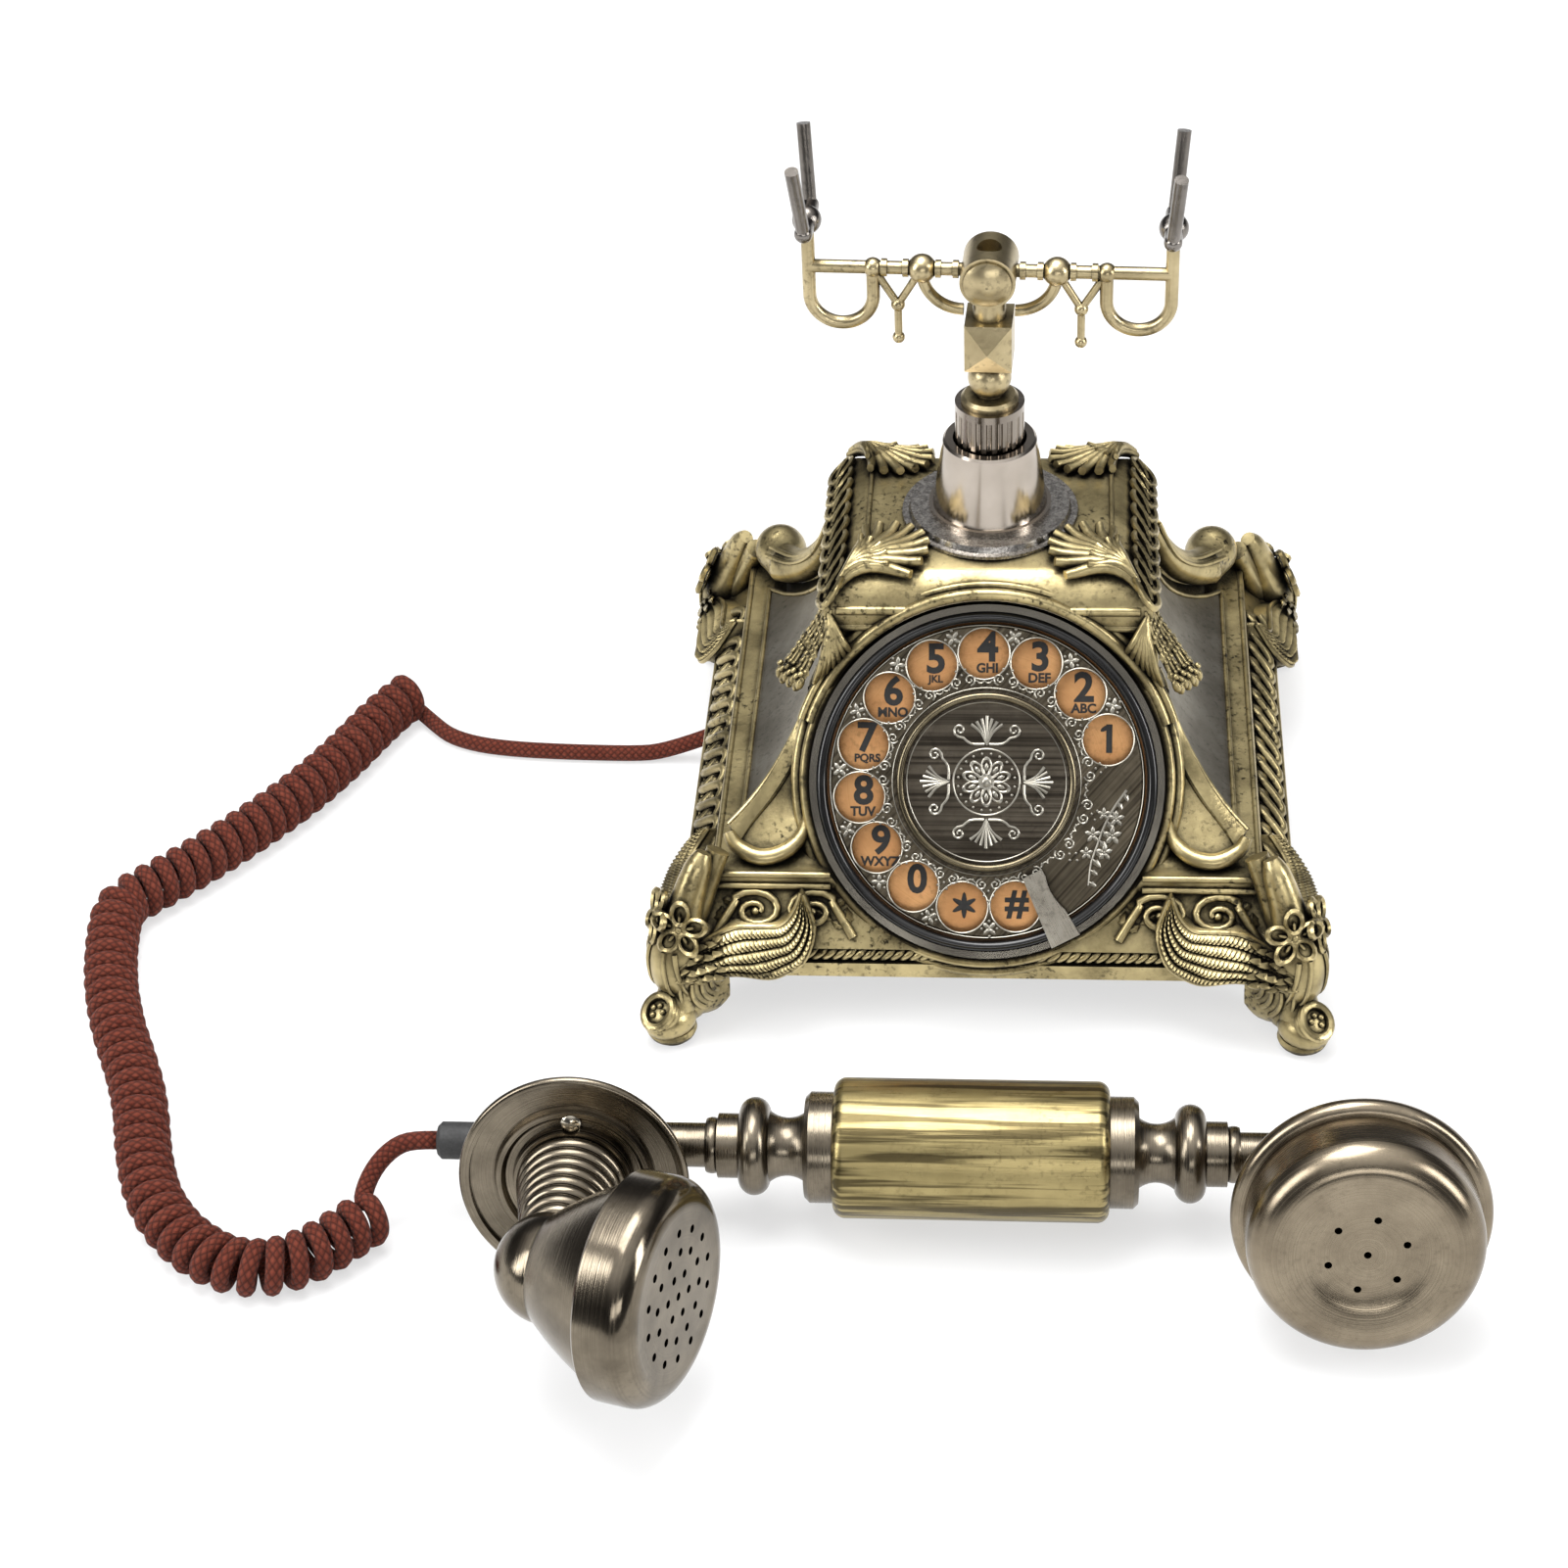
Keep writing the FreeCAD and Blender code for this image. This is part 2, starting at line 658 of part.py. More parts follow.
def dial_bush():
    return ring(BUSH_R, SHAFT_R + SHAFT_GAP, FRAME_Z - 1.5, FRAME_Z + FRAME_T + 1.5)


def spring_barrel():
    """Can on the mechanism plate that holds the flat return spring round the shaft."""
    low = FRAME_Z + FRAME_T + 1.5
    return ring(4 * SHAFT_R, SHAFT_R + 0.5, low, low + 0.5 * FRAME_DROP)


def gear(teeth, low, high, bore, first):
    """Spur gear with straight-sided teeth and running backlash."""
    pitch_r = GEAR_MODULE * teeth / 2
    tip_r = pitch_r + 0.8 * GEAR_MODULE
    root_r = pitch_r - 1.1 * GEAR_MODULE
    pitch_step = 360.0 / teeth
    points = []
    for k in range(teeth):
        middle = first + k * pitch_step
        for radius, half in [(root_r, 0.30), (tip_r, 0.11), (tip_r, -0.11), (root_r, -0.30)]:
            points.append(polar(radius, middle - half * pitch_step, low))
    points.append(points[0])
    solid = Part.Face(Part.makePolygon(points)).extrude(Vector(0, 0, high - low))
    return solid.cut(Part.makeCylinder(bore, high - low + 2, Vector(0, 0, low - 1)))


def main_gear():
    return gear(GEAR_TEETH, GEAR_Z, GEAR_Z + GEAR_T, SHAFT_R, 0.0)


def pulse_cam():
    lobes = []
    for k in range(HOLE_COUNT - 2):
        lobe = polar(2.6 * SHAFT_R, k * HOLE_STEP, CAM_Z)
        lobes.append(Part.makeCylinder(0.35 * SHAFT_R, GEAR_T, lobe))
    disc = ring(2.5 * SHAFT_R, SHAFT_R, CAM_Z, CAM_Z + GEAR_T)
    return fused(disc, *lobes)


def governor():
    """Pinion on a drum with two fly weights, free to spin on its pin."""
    bore = GOVERNOR_PIN_R + SHAFT_GAP
    pinion = gear(PINION_TEETH, GEAR_Z - 0.3, GEAR_Z + GEAR_T + 0.3, bore, 180.0 + 180.0 / PINION_TEETH)
    drum_high = GEAR_Z - 0.3
    drum = ring(GOVERNOR_DRUM_R - 2, bore, drum_high - GOVERNOR_DRUM_L, drum_high)
    weights = []
    for degrees in (0, 180):
        at = polar(GOVERNOR_DRUM_R - 2, degrees, drum_high - GOVERNOR_DRUM_L)
        weights.append(Part.makeCylinder(2, GOVERNOR_DRUM_L - 1, at))
    solid = fused(pinion, drum, *weights)
    reach = 3 * GOVERNOR_DRUM_L
    solid = solid.cut(Part.makeCylinder(bore, 2 * reach, Vector(0, 0, drum_high - reach)))
    solid.translate(Vector(GEAR_CENTRES, 0, 0))
    return solid


def pulse_contacts():
    """Contact block on a foot behind the mechanism plate, with two leaves beside the cam."""
    near = 2.6 * SHAFT_R + 0.35 * SHAFT_R + 0.6
    foot_x = GEAR_MODULE * GEAR_TEETH / 2 + 3.0
    pillar = block(Vector(-foot_x - 5, -4, CAM_Z), Vector(-foot_x, 4, FRAME_Z))
    leaf = block(Vector(-foot_x, -2, CAM_Z + 0.2), Vector(-near, 2, CAM_Z + 0.6))
    second = block(Vector(-foot_x, -2, CAM_Z + 1.2), Vector(-near, 2, CAM_Z + 1.6))
    return fused(pillar, leaf, second)


# Stem, plunger and cradle, on their own upright axis

DISC_Z = TOP_Z
CUP_Z = DISC_Z + DISC_T
COLUMN_LOW_Z = COLUMN_TOP_Z - COLUMN_L
BALL_Z = COLUMN_TOP_Z + WASHER_T + 0.9 * BALL_R
BLOCK_Z = BALL_Z + 0.85 * BALL_R
HUB_Z = BLOCK_Z + BLOCK_H + HUB_LIFT
COLUMN_BORE_R = COLUMN_R + COLUMN_GAP
TOWER_TOP_Z = COLUMN_LOW_Z - 0.72 * ROD_L


def stem_disc():
    return lathe((COLUMN_BORE_R, DISC_Z), (DISC_R, DISC_Z), (DISC_R, DISC_Z + 0.35 * DISC_T),
                 (DISC_R - 1.6, DISC_Z + 0.35 * DISC_T), (DISC_R - 2.2, CUP_Z), (COLUMN_BORE_R, CUP_Z))


def stem_cup():
    high = CUP_Z + CUP_H
    return lathe((COLUMN_BORE_R, CUP_Z), (CUP_FOOT_R + 1, CUP_Z), (CUP_FOOT_R + 1, CUP_Z + 1.2),
                 (CUP_FOOT_R, CUP_Z + 1.2), (CUP_RIM_R, high - 0.6), (CUP_RIM_R - 0.6, high),
                 (COLUMN_BORE_R, high))


def plunger_column():
    column = Part.makeCylinder(COLUMN_R, COLUMN_L, Vector(0, 0, COLUMN_LOW_Z))
    for k in range(FLUTE_COUNT):
        at = polar(COLUMN_R + 0.25 * FLUTE_R, 360.0 * k / FLUTE_COUNT, CUP_Z)
        column = column.cut(Part.makeCylinder(FLUTE_R, COLUMN_TOP_Z - CUP_Z - 2, at))
    return column


def column_washer():
    high = COLUMN_TOP_Z + WASHER_T
    return lathe((0, COLUMN_TOP_Z), (WASHER_R, COLUMN_TOP_Z), (WASHER_R, high - 0.8),
                 (WASHER_R - 0.8, high), (0, high))


def cradle_post():
    """Ball, square block with a low pyramid on its front and back, and the cross hub with its hole."""
    half = BLOCK_HALF
    base = [Vector(-half, 0, -BLOCK_H / 2), Vector(half, 0, -BLOCK_H / 2),
            Vector(half, 0, BLOCK_H / 2), Vector(-half, 0, BLOCK_H / 2)]
    apex = Vector(0, -PYRAMID_H, 0)
    faces = [Part.Face(Part.makePolygon(base + base[:1]))]
    for first, second in zip(base, base[1:] + base[:1]):
        faces.append(Part.Face(Part.makePolygon([first, second, apex, first])))
    pyramid = Part.Solid(Part.Shell(faces))
    middle = Vector(0, -half, BLOCK_Z + BLOCK_H / 2)
    front = turned(pyramid, middle, Rotation())
    rear = turned(pyramid, Vector(0, half, middle.z), Rotation(Vector(0, 0, 1), 180))
    cube = block(Vector(-half, -half, BLOCK_Z), Vector(half, half, BLOCK_Z + BLOCK_H))
    neck = Part.makeCylinder(0.7 * half, HUB_LIFT, Vector(0, 0, BLOCK_Z + BLOCK_H))
    foot = Part.makeCylinder(0.6 * BALL_R, BLOCK_Z + 1 - COLUMN_TOP_Z - WASHER_T,
                             Vector(0, 0, COLUMN_TOP_Z + WASHER_T))
    hub = cylinder(HUB_R, Vector(0, -HUB_HALF, HUB_Z), Vector(0, HUB_HALF, HUB_Z))
    post = fused(ball(BALL_R, Vector(0, 0, BALL_Z)), foot, cube, front, rear, neck, hub)
    hole = Part.makeCylinder(0.45 * HUB_R, HUB_R + 1, Vector(0, 0, HUB_Z + 0.2 * HUB_R))
    cut_low = block(Vector(-HUB_R, -HUB_R, PLINTH_Z), Vector(HUB_R, HUB_R, COLUMN_TOP_Z + WASHER_T))
    return post.cut(hole).cut(cut_low)


def hub_caps():
    edge = 0.86 * HUB_R
    cap = lathe((0, 0), (edge, 0), (edge, 0.3 * HUB_CAP_H), dome(edge, 0.3 * HUB_CAP_H, HUB_CAP_H))
    front = turned(cap, Vector(0, -HUB_HALF, HUB_Z), Rotation(Vector(1, 0, 0), 90))
    rear = turned(cap, Vector(0, HUB_HALF, HUB_Z), Rotation(Vector(1, 0, 0), -90))
    return Part.makeCompound([front, rear])


def cradle_arm(side):
    """Half crossbar with its turned balls, U loop, quarter brace and strut with a drop finial."""
    loop_r = (ARM_REACH - SMALL_BALL_X) / 2
    loop_x = (ARM_REACH + SMALL_BALL_X) / 2
    loop_z = HUB_Z - LOOP_DROP
    brace_r = LARGE_BALL_X - BLOCK_HALF - 0.5
    brace_z = HUB_Z - 1.0
    brace_mid = math.sqrt(0.5) * brace_r
    finial_x = (SMALL_BALL_X + LARGE_BALL_X) / 2
    finial_z = HUB_Z - FINIAL_DROP
    knot_z = HUB_Z - 0.5 * FINIAL_DROP
    hub_side = math.sqrt(HUB_R ** 2 - BAR_R ** 2)
    pieces = [
        cylinder(BAR_R, Vector(hub_side - 1, 0, HUB_Z), Vector(ARM_REACH, 0, HUB_Z)),
        cylinder(BAR_R, Vector(ARM_REACH, 0, loop_z), Vector(ARM_REACH, 0, HUB_Z + FORK_LIFT - YOKE_R)),
        cylinder(BAR_R, Vector(SMALL_BALL_X, 0, loop_z), Vector(SMALL_BALL_X, 0, HUB_Z)),
        ball(SMALL_BALL_R, Vector(SMALL_BALL_X, 0, HUB_Z)),
        ball(LARGE_BALL_R, Vector(LARGE_BALL_X, 0, HUB_Z)),
        cylinder(STRUT_R, Vector(SMALL_BALL_X, 0, HUB_Z), Vector(finial_x, 0, knot_z)),
        cylinder(STRUT_R, Vector(LARGE_BALL_X, 0, HUB_Z), Vector(finial_x, 0, knot_z)),
        ball(1.8 * STRUT_R, Vector(finial_x, 0, knot_z)),
        cylinder(STRUT_R, Vector(finial_x, 0, finial_z + STRUT_R), Vector(finial_x, 0, knot_z)),
        ball(1.6 * STRUT_R, Vector(finial_x, 0, finial_z + STRUT_R)),
    ]
    for collar_x in (hub_side + 1.6, LARGE_BALL_X - LARGE_BALL_R - 0.4, LARGE_BALL_X + LARGE_BALL_R + 0.4,
                     SMALL_BALL_X - SMALL_BALL_R - 0.4):
        middle = Vector(collar_x, 0, HUB_Z)
        pieces.append(cylinder(1.35 * BAR_R, middle - Vector(0.7, 0, 0), middle + Vector(0.7, 0, 0)))
    loop = Part.Wire(Part.Arc(Vector(ARM_REACH, 0, loop_z), Vector(loop_x, 0, loop_z - loop_r),
                              Vector(SMALL_BALL_X, 0, loop_z)).toShape())
    section = Part.Wire(Part.makeCircle(BAR_R, Vector(ARM_REACH, 0, loop_z), Vector(0, 0, -1)))
    pieces.append(loop.makePipeShell([section], True, False))
    brace_end = Vector(LARGE_BALL_X - brace_r, 0, brace_z - brace_r)
    centre = Vector(LARGE_BALL_X - brace_r, 0, brace_z)
    brace = Part.Wire(Part.Arc(Vector(LARGE_BALL_X, 0, brace_z),
                               centre + Vector(brace_mid, 0, -brace_mid), brace_end).toShape())
    section = Part.Wire(Part.makeCircle(0.9 * BAR_R, Vector(LARGE_BALL_X, 0, brace_z), Vector(0, 0, -1)))
    pieces.append(brace.makePipeShell([section], True, False))
    arm = fused(*pieces)
    arm = arm.cut(block(Vector(-HUB_R, -HUB_R, BLOCK_Z), Vector(BLOCK_HALF, HUB_R, BLOCK_Z + BLOCK_H)))
    arm = arm.cut(cylinder(HUB_R, Vector(0, -HUB_R, HUB_Z), Vector(0, HUB_R, HUB_Z)))
    arm = arm.cut(Part.makeCylinder(0.7 * BLOCK_HALF, HUB_LIFT, Vector(0, 0, BLOCK_Z + BLOCK_H)))
    arm = max(arm.Solids, key=lambda piece: piece.Volume)
    return arm if side > 0 else arm.mirror(Vector(0, 0, 0), Vector(1, 0, 0))


def cradle_fork(side):
    """Yoke across the upright with a knob, and two round prongs that spread front and back."""
    z = HUB_Z + FORK_LIFT
    pieces = [
        cylinder(YOKE_R, Vector(ARM_REACH, -YOKE_HALF, z), Vector(ARM_REACH, YOKE_HALF, z)),
        ball(KNOB_R, Vector(ARM_REACH, 0, z)),
        ball(YOKE_R, Vector(ARM_REACH, -YOKE_HALF, z)),
        ball(YOKE_R, Vector(ARM_REACH, YOKE_HALF, z)),
    ]
    for sy in (-1, 1):
        foot = Vector(ARM_REACH, sy * YOKE_HALF, z)
        top = foot + Vector(PRONG_LEAN_X, sy * PRONG_LEAN_Y, PRONG_H)
        pieces.append(cylinder(PRONG_R, foot, top))
    fork = fused(*pieces)
    fork = fork.cut(cylinder(BAR_R, Vector(ARM_REACH, 0, HUB_Z), Vector(ARM_REACH, 0, z - YOKE_R)))
    return fork if side > 0 else fork.mirror(Vector(0, 0, 0), Vector(1, 0, 0))


def hook_rod():
    return cylinder(ROD_R, Vector(0, 0, COLUMN_LOW_Z - ROD_L), Vector(0, 0, COLUMN_LOW_Z))


def hook_spring():
    """Open coil spring round the rod, between the tower and the column."""
    low = TOWER_TOP_Z + SPRING_WIRE / 2
    high = COLUMN_LOW_Z - SPRING_WIRE / 2
    quarter_rise = (high - low) / (4 * SPRING_TURNS)
    places, headings = [], []
    for k in range(4 * SPRING_TURNS + 1):
        places.append(polar(SPRING_R, 90.0 * k, low + k * quarter_rise))
        heading = polar(SPRING_R * math.pi / 2, 90.0 * (k + 1), quarter_rise)
        headings.append(heading.normalize())
    tube, path, first, last = wound_tube(SPRING_WIRE / 2, places, headings, SPRING_WIRE)
    flat_low = block(Vector(-20, -20, TOWER_TOP_Z - 9), Vector(20, 20, TOWER_TOP_Z))
    flat_high = block(Vector(-20, -20, COLUMN_LOW_Z), Vector(20, 20, COLUMN_LOW_Z + 9))
    print("hook spring gap", round(least_gap(path, SPRING_WIRE / 2, 2 * math.pi * SPRING_R), 2))
    return tube.cut(flat_low).cut(flat_high)


def hook_tower():
    """Pillar on the bottom plate that guides the plunger rod and carries the spring."""
    low = PLINTH_Z + PLATE_T
    pillar = block(Vector(-TOWER_HALF, -TOWER_HALF, low), Vector(TOWER_HALF, TOWER_HALF, TOWER_TOP_Z))
    bore_low = COLUMN_LOW_Z - ROD_L - 8
    bore = Part.makeCylinder(ROD_R + SHAFT_GAP, TOWER_TOP_Z - bore_low + 1, Vector(0, 0, bore_low))
    return pillar.cut(bore)


def hook_switch():
    """Switch box screwed to the side of the tower, below the end of the rod's travel."""
    high = TOWER_TOP_Z - 6
    return block(Vector(TOWER_HALF, -5, high - 20), Vector(TOWER_HALF + 10, 5, high))


# Works on the bottom plate

BOARD_Z = PLINTH_Z + PLATE_T + 6.0
BOARD_LOW = Vector(14.0, 8.0, BOARD_Z)
BOARD_INSET = 23.0
BOARD_HIGH = Vector(PLINTH_HALF - BOARD_INSET, PLINTH_HALF - BOARD_INSET, BOARD_Z + 1.6)


BALLAST_INSET = 25.0


def circuit_board():
    board = block(BOARD_LOW, BOARD_HIGH)
    legs = []
    for x in (BOARD_LOW.x + 4, BOARD_HIGH.x - 4):
        for y in (BOARD_LOW.y + 4, BOARD_HIGH.y - 4):
            legs.append(Part.makeCylinder(2.5, 6.0, Vector(x, y, PLINTH_Z + PLATE_T)))
    chip = block(Vector(28, 26, BOARD_HIGH.z), Vector(42, 34, BOARD_HIGH.z + 3))
    return fused(board, chip, *legs)


def ringer():
    low = PLINTH_Z + PLATE_T
    can = Part.makeCylinder(16, 9, Vector(-38, -6, low))
    bell = lathe((0, 0), (13, 0), dome(13, 0, 4.6))
    bell.translate(Vector(-38, -6, low + 9))
    return fused(can, bell)


def ballast():
    low = PLINTH_Z + PLATE_T
    reach = PLINTH_HALF - BALLAST_INSET
    return block(Vector(-reach, 20, low), Vector(-14, reach, low + 7))


def line_jack():
    proud = 0.4
    body = line_socket_block(0.0, proud)
    rear = PLINTH_HALF - ROPE_INSET + proud
    middle = LINE_Z + LINE_SIZE.z / 2
    slot = block(Vector(LINE_X - SOCKET_W / 2, rear - 11, middle - SOCKET_H / 2),
                 Vector(LINE_X + SOCKET_W / 2, rear + 1, middle + SOCKET_H / 2))
    return body.cut(slot)


def jack_low():
    return Vector(JACK_AT.x - JACK_SIZE.x / 2, JACK_AT.y - JACK_SIZE.y / 2, PLINTH_Z - JACK_SIZE.z)


PLUG_Z = PLINTH_Z - 0.55 * JACK_SIZE.z
PLUG_DEPTH = 9.0


def plug_box(grow):
    face_x = JACK_AT.x - JACK_SIZE.x / 2
    low = Vector(face_x - PLUG_SIZE.x + PLUG_DEPTH - grow, JACK_AT.y - PLUG_SIZE.y / 2 - grow,
                 PLUG_Z - PLUG_SIZE.z / 2 - grow)
    high = Vector(face_x + PLUG_DEPTH + grow, JACK_AT.y + PLUG_SIZE.y / 2 + grow,
                  PLUG_Z + PLUG_SIZE.z / 2 + grow)
    return block(low, high)


def handset_jack():
    """Socket block under the bottom plate, open to the left, where the handset cord plugs in."""
    return block(jack_low(), jack_low() + JACK_SIZE).cut(plug_box(PLATE_GAP))


def base_plug():
    face_x = JACK_AT.x - JACK_SIZE.x / 2 - PLUG_SIZE.x + PLUG_DEPTH
    sleeve = cylinder(1.3 * CORD_R, Vector(face_x - 4, JACK_AT.y, PLUG_Z), Vector(face_x, JACK_AT.y, PLUG_Z))
    return fused(plug_box(0), sleeve)


# Handset pieces, in the handset's own frame

ALONG_X = Rotation(Vector(0, 0, 1), Vector(1, 0, 0))
FACING = Rotation(Vector(1, 0, 0), 90)
TILT = math.radians(HANDSET_TILT)


def rest_height(rim_r, depth, rim):
    """Height of the tube's axis when a bell's rolled rim just touches the table."""
    roll = 0.453 * rim
    return (rim_r - roll) * math.cos(TILT) - (depth - 0.45 * rim) * math.sin(TILT) + roll


EAR_RIM = 6.0
HANDSET_Z = max(rest_height(EAR_R, EAR_DEPTH, EAR_RIM), rest_height(MOUTH_R, MOUTH_DEPTH, MOUTH_RIM), GRIP_R)
TUBE_LOW = MOUTH_X + 0.5 * KNUCKLE_R
TUBE_HIGH = EAR_X - 0.5 * KNUCKLE_R


def on_table(shape):
    at = HANDSET_AT + Vector(0, 0, HANDSET_Z)
    return turned(shape, at, Rotation(Vector(1, 0, 0), -HANDSET_TILT))


def handset_tube():
    tube = ring(TUBE_R, TUBE_BORE, TUBE_LOW, TUBE_HIGH)
    return turned(tube, Vector(), ALONG_X)


def grip_sleeve():
    bore = TUBE_R + FIT
    shoulder = GRIP_R - GRIP_ROUND
    bend = GRIP_R - 0.293 * GRIP_ROUND
    high = GRIP_HALF - GRIP_ROUND
    high_bend = GRIP_HALF - 0.293 * GRIP_ROUND
    sleeve = lathe((bore, -GRIP_HALF), (shoulder, -GRIP_HALF), (bend, -high_bend, GRIP_R, -high),
                   (GRIP_R, high), (bend, high_bend, shoulder, GRIP_HALF), (bore, GRIP_HALF))
    return turned(sleeve, Vector(), ALONG_X)


def collar(side):
    """Turned collar: broad ring against the grip, waisted neck, round bead, end ring and a small torus."""
    bore = TUBE_R + FIT
    ring_end = GRIP_HALF + COLLAR_RING_W
    bead_low = BEAD_AT - BEAD_W / 2
    bead_high = BEAD_AT + BEAD_W / 2
    end = bead_high + END_RING_W
    last = end + 2 * BEADLET_R
    beadlet = TUBE_R + BEADLET_R
    solid = lathe((bore, GRIP_HALF), (COLLAR_RING_R, GRIP_HALF), (COLLAR_RING_R, ring_end - 1.2),
                  (COLLAR_RING_R - 1.2, ring_end), (NECK_R + 1, ring_end),
                  (NECK_R - 0.6, (ring_end + bead_low) / 2, NECK_R + 1, bead_low),
                  (BEAD_R, BEAD_AT, NECK_R + 1, bead_high), (END_RING_R, bead_high), (END_RING_R, end),
                  (beadlet - 0.4, end), (beadlet, end + BEADLET_R, beadlet - 0.4, last), (bore, last))
    turn = ALONG_X if side > 0 else Rotation(Vector(0, 0, 1), Vector(-1, 0, 0))
    return turned(solid, Vector(), turn)


def housing(x, rim_r, depth, rim, throat_r):
    """Bell on a round knuckle that the tube enters, opening to a rolled rim, with its front hollowed."""
    neck_s = 0.55 * KNUCKLE_R
    neck_r = 0.8 * KNUCKLE_R
    hollow = depth - 0.42 * (depth - neck_s)
    outside = lathe((0, -KNUCKLE_R), (KNUCKLE_R, 0, neck_r, neck_s),
                    (0.52 * (neck_r + rim_r), 0.55 * (neck_s + depth), rim_r - 0.4 * rim, depth - 0.9 * rim),
                    (rim_r, depth - 0.45 * rim, rim_r - 0.4 * rim, depth), (throat_r, depth),
                    (throat_r, hollow), (0, hollow))
    body = turned(outside, Vector(), FACING)
    stop = TUBE_HIGH - EAR_X if x > 0 else TUBE_LOW - MOUTH_X
    bore = cylinder(TUBE_R + FIT, Vector(stop, 0, 0), Vector(math.copysign(3 * KNUCKLE_R, stop), 0, 0))
    body = body.cut(bore)
    body.translate(Vector(x, 0, 0))
    return body, hollow


EAR_THROAT_R = EAR_CAP_R - SHELL_T
MOUTH_THROAT_R = MOUTH_R - MOUTH_RIM


def ear_shell():
    return housing(EAR_X, EAR_R, EAR_DEPTH, EAR_RIM, EAR_THROAT_R)[0]


def ear_cap():
    """Deep screw cap with a rounded edge and a slightly dished face with seven sound holes."""
    face = EAR_DEPTH + EAR_CAP_H
    round_r = 0.42 * EAR_CAP_H
    inner = EAR_CAP_R - SHELL_T
    dish = 0.8
    cap = lathe((inner, EAR_DEPTH), (EAR_CAP_R, EAR_DEPTH), (EAR_CAP_R, face - round_r),
                (EAR_CAP_R - 0.293 * round_r, face - 0.293 * round_r, EAR_CAP_R - round_r, face),
                (EAR_PLATE_R + 1, face - dish), (EAR_PLATE_R, face - dish - 0.5), (0, face - dish - 0.5),
                (0, face - dish - 0.5 - SHELL_T), (inner - 0.8 * round_r, face - dish - 0.5 - SHELL_T),
                (inner, face - round_r - 1))
    holes = [Vector(0, 0, EAR_DEPTH)] + [polar(EAR_HOLE_CIRCLE_R, 18 + 60 * k, EAR_DEPTH) for k in range(6)]
    for at in holes:
        cap = cap.cut(Part.makeCylinder(EAR_HOLE_R, 2 * EAR_CAP_H, at))
    return turned(cap, Vector(EAR_X, 0, 0), FACING)


def receiver():
    """Sound capsule seated in the throat of the ear shell."""
    seat = housing(EAR_X, EAR_R, EAR_DEPTH, EAR_RIM, EAR_THROAT_R)[1]
    capsule = lathe((0, seat), (0.8 * EAR_THROAT_R, seat), (0.8 * EAR_THROAT_R, seat + CAPSULE_H),
                    (0.6 * EAR_THROAT_R, seat + 1.4 * CAPSULE_H), (0, seat + 1.4 * CAPSULE_H))
    return turned(capsule, Vector(EAR_X, 0, 0), FACING)


def mouth_shell():
    """Mouth bell, with a flat bottomed socket in its outer end for the rubber sleeve."""
    body = housing(MOUTH_X, MOUTH_R, MOUTH_DEPTH, MOUTH_RIM, MOUTH_THROAT_R)[0]
    return body.cut(cylinder(RELIEF_R + FIT, Vector(RELIEF_SEAT, 0, 0), Vector(RELIEF_END, 0, 0)))


NECK_Z = MOUTH_DEPTH + 1.0


def mouth_plate():
    """Stepped round plate in the mouth shell, with raised rings, that carries the neck."""
    seat = housing(MOUTH_X, MOUTH_R, MOUTH_DEPTH, MOUTH_RIM, MOUTH_THROAT_R)[1]
    step_r = 0.74 * MOUTH_THROAT_R
    low = MOUTH_DEPTH - 1.6
    edge = MOUTH_THROAT_R - FIT
    plate = lathe((NECK_BORE, seat), (edge, seat), (edge, low), (step_r + 0.8, low - 0.6),
                  (step_r, MOUTH_DEPTH - 0.2), (step_r - 1.2, MOUTH_DEPTH - 0.2), (step_r - 2.2, low),
                  (NECK_FOOT_R + 1.4, low), (NECK_FOOT_R + 0.8, NECK_Z), (NECK_BORE, NECK_Z))
    screw = Part.makeCylinder(MOUTH_SCREW_R, 2 * MOUTH_DEPTH, Vector(0, screw_radius(), 0))
    recess = Part.makeCylinder(MOUTH_HEAD_R + FIT, MOUTH_DEPTH, Vector(0, screw_radius(), low))
    return turned(plate.cut(screw).cut(recess), Vector(MOUTH_X, 0, 0), FACING)


def screw_radius():
    return 0.5 * (NECK_FOOT_R + 1.4 + 0.74 * MOUTH_THROAT_R - 2.2)


def mouth_screw():
    low = MOUTH_DEPTH - 1.6
    head_r = MOUTH_HEAD_R
    head = lathe((0, low), (head_r, low), (head_r, low + 1.0), dome(head_r, low + 1.0, low + 1.9))
    slot = block(Vector(-3, -0.35, low + 1.2), Vector(3, 0.35, low + 3))
    screw = fused(head.cut(slot), Part.makeCylinder(MOUTH_SCREW_R, 3.0, Vector(0, 0, low - 3.0)))
    screw.translate(Vector(0, screw_radius(), 0))
    return turned(screw, Vector(MOUTH_X, 0, 0), FACING)


def mouth_neck():
    """Ribbed neck: a stack of round ribs, narrowing towards the horn, with a bore for the wires."""
    steps = []
    foot = NECK_Z
    for k in range(NECK_RINGS):
        radius = NECK_FOOT_R + (NECK_TIP_R - NECK_FOOT_R) * k / (NECK_RINGS - 1)
        low = foot + k * NECK_STEP
        steps += [(radius - 1, low), (radius, low + NECK_STEP / 2, radius - 1, low + NECK_STEP)]
    top = foot + NECK_RINGS * NECK_STEP
    end = HORN_OUT - 0.5 * HORN_END_R
    steps += [(NECK_TIP_R - 1.5, top), (NECK_TIP_R - 1.5, end), (NECK_BORE, end)]
    neck = turned(lathe((NECK_BORE, foot), *steps), Vector(MOUTH_X, 0, 0), FACING)
    return neck.cut(horn_envelope())


HORN_AXIS = Vector(math.cos(math.radians(HORN_TURN)), -math.sin(math.radians(HORN_TURN)), 0)
ON_HORN = Rotation(Vector(0, 0, 1), HORN_AXIS)
HORN_AT = Vector(MOUTH_X, -HORN_OUT, 0)


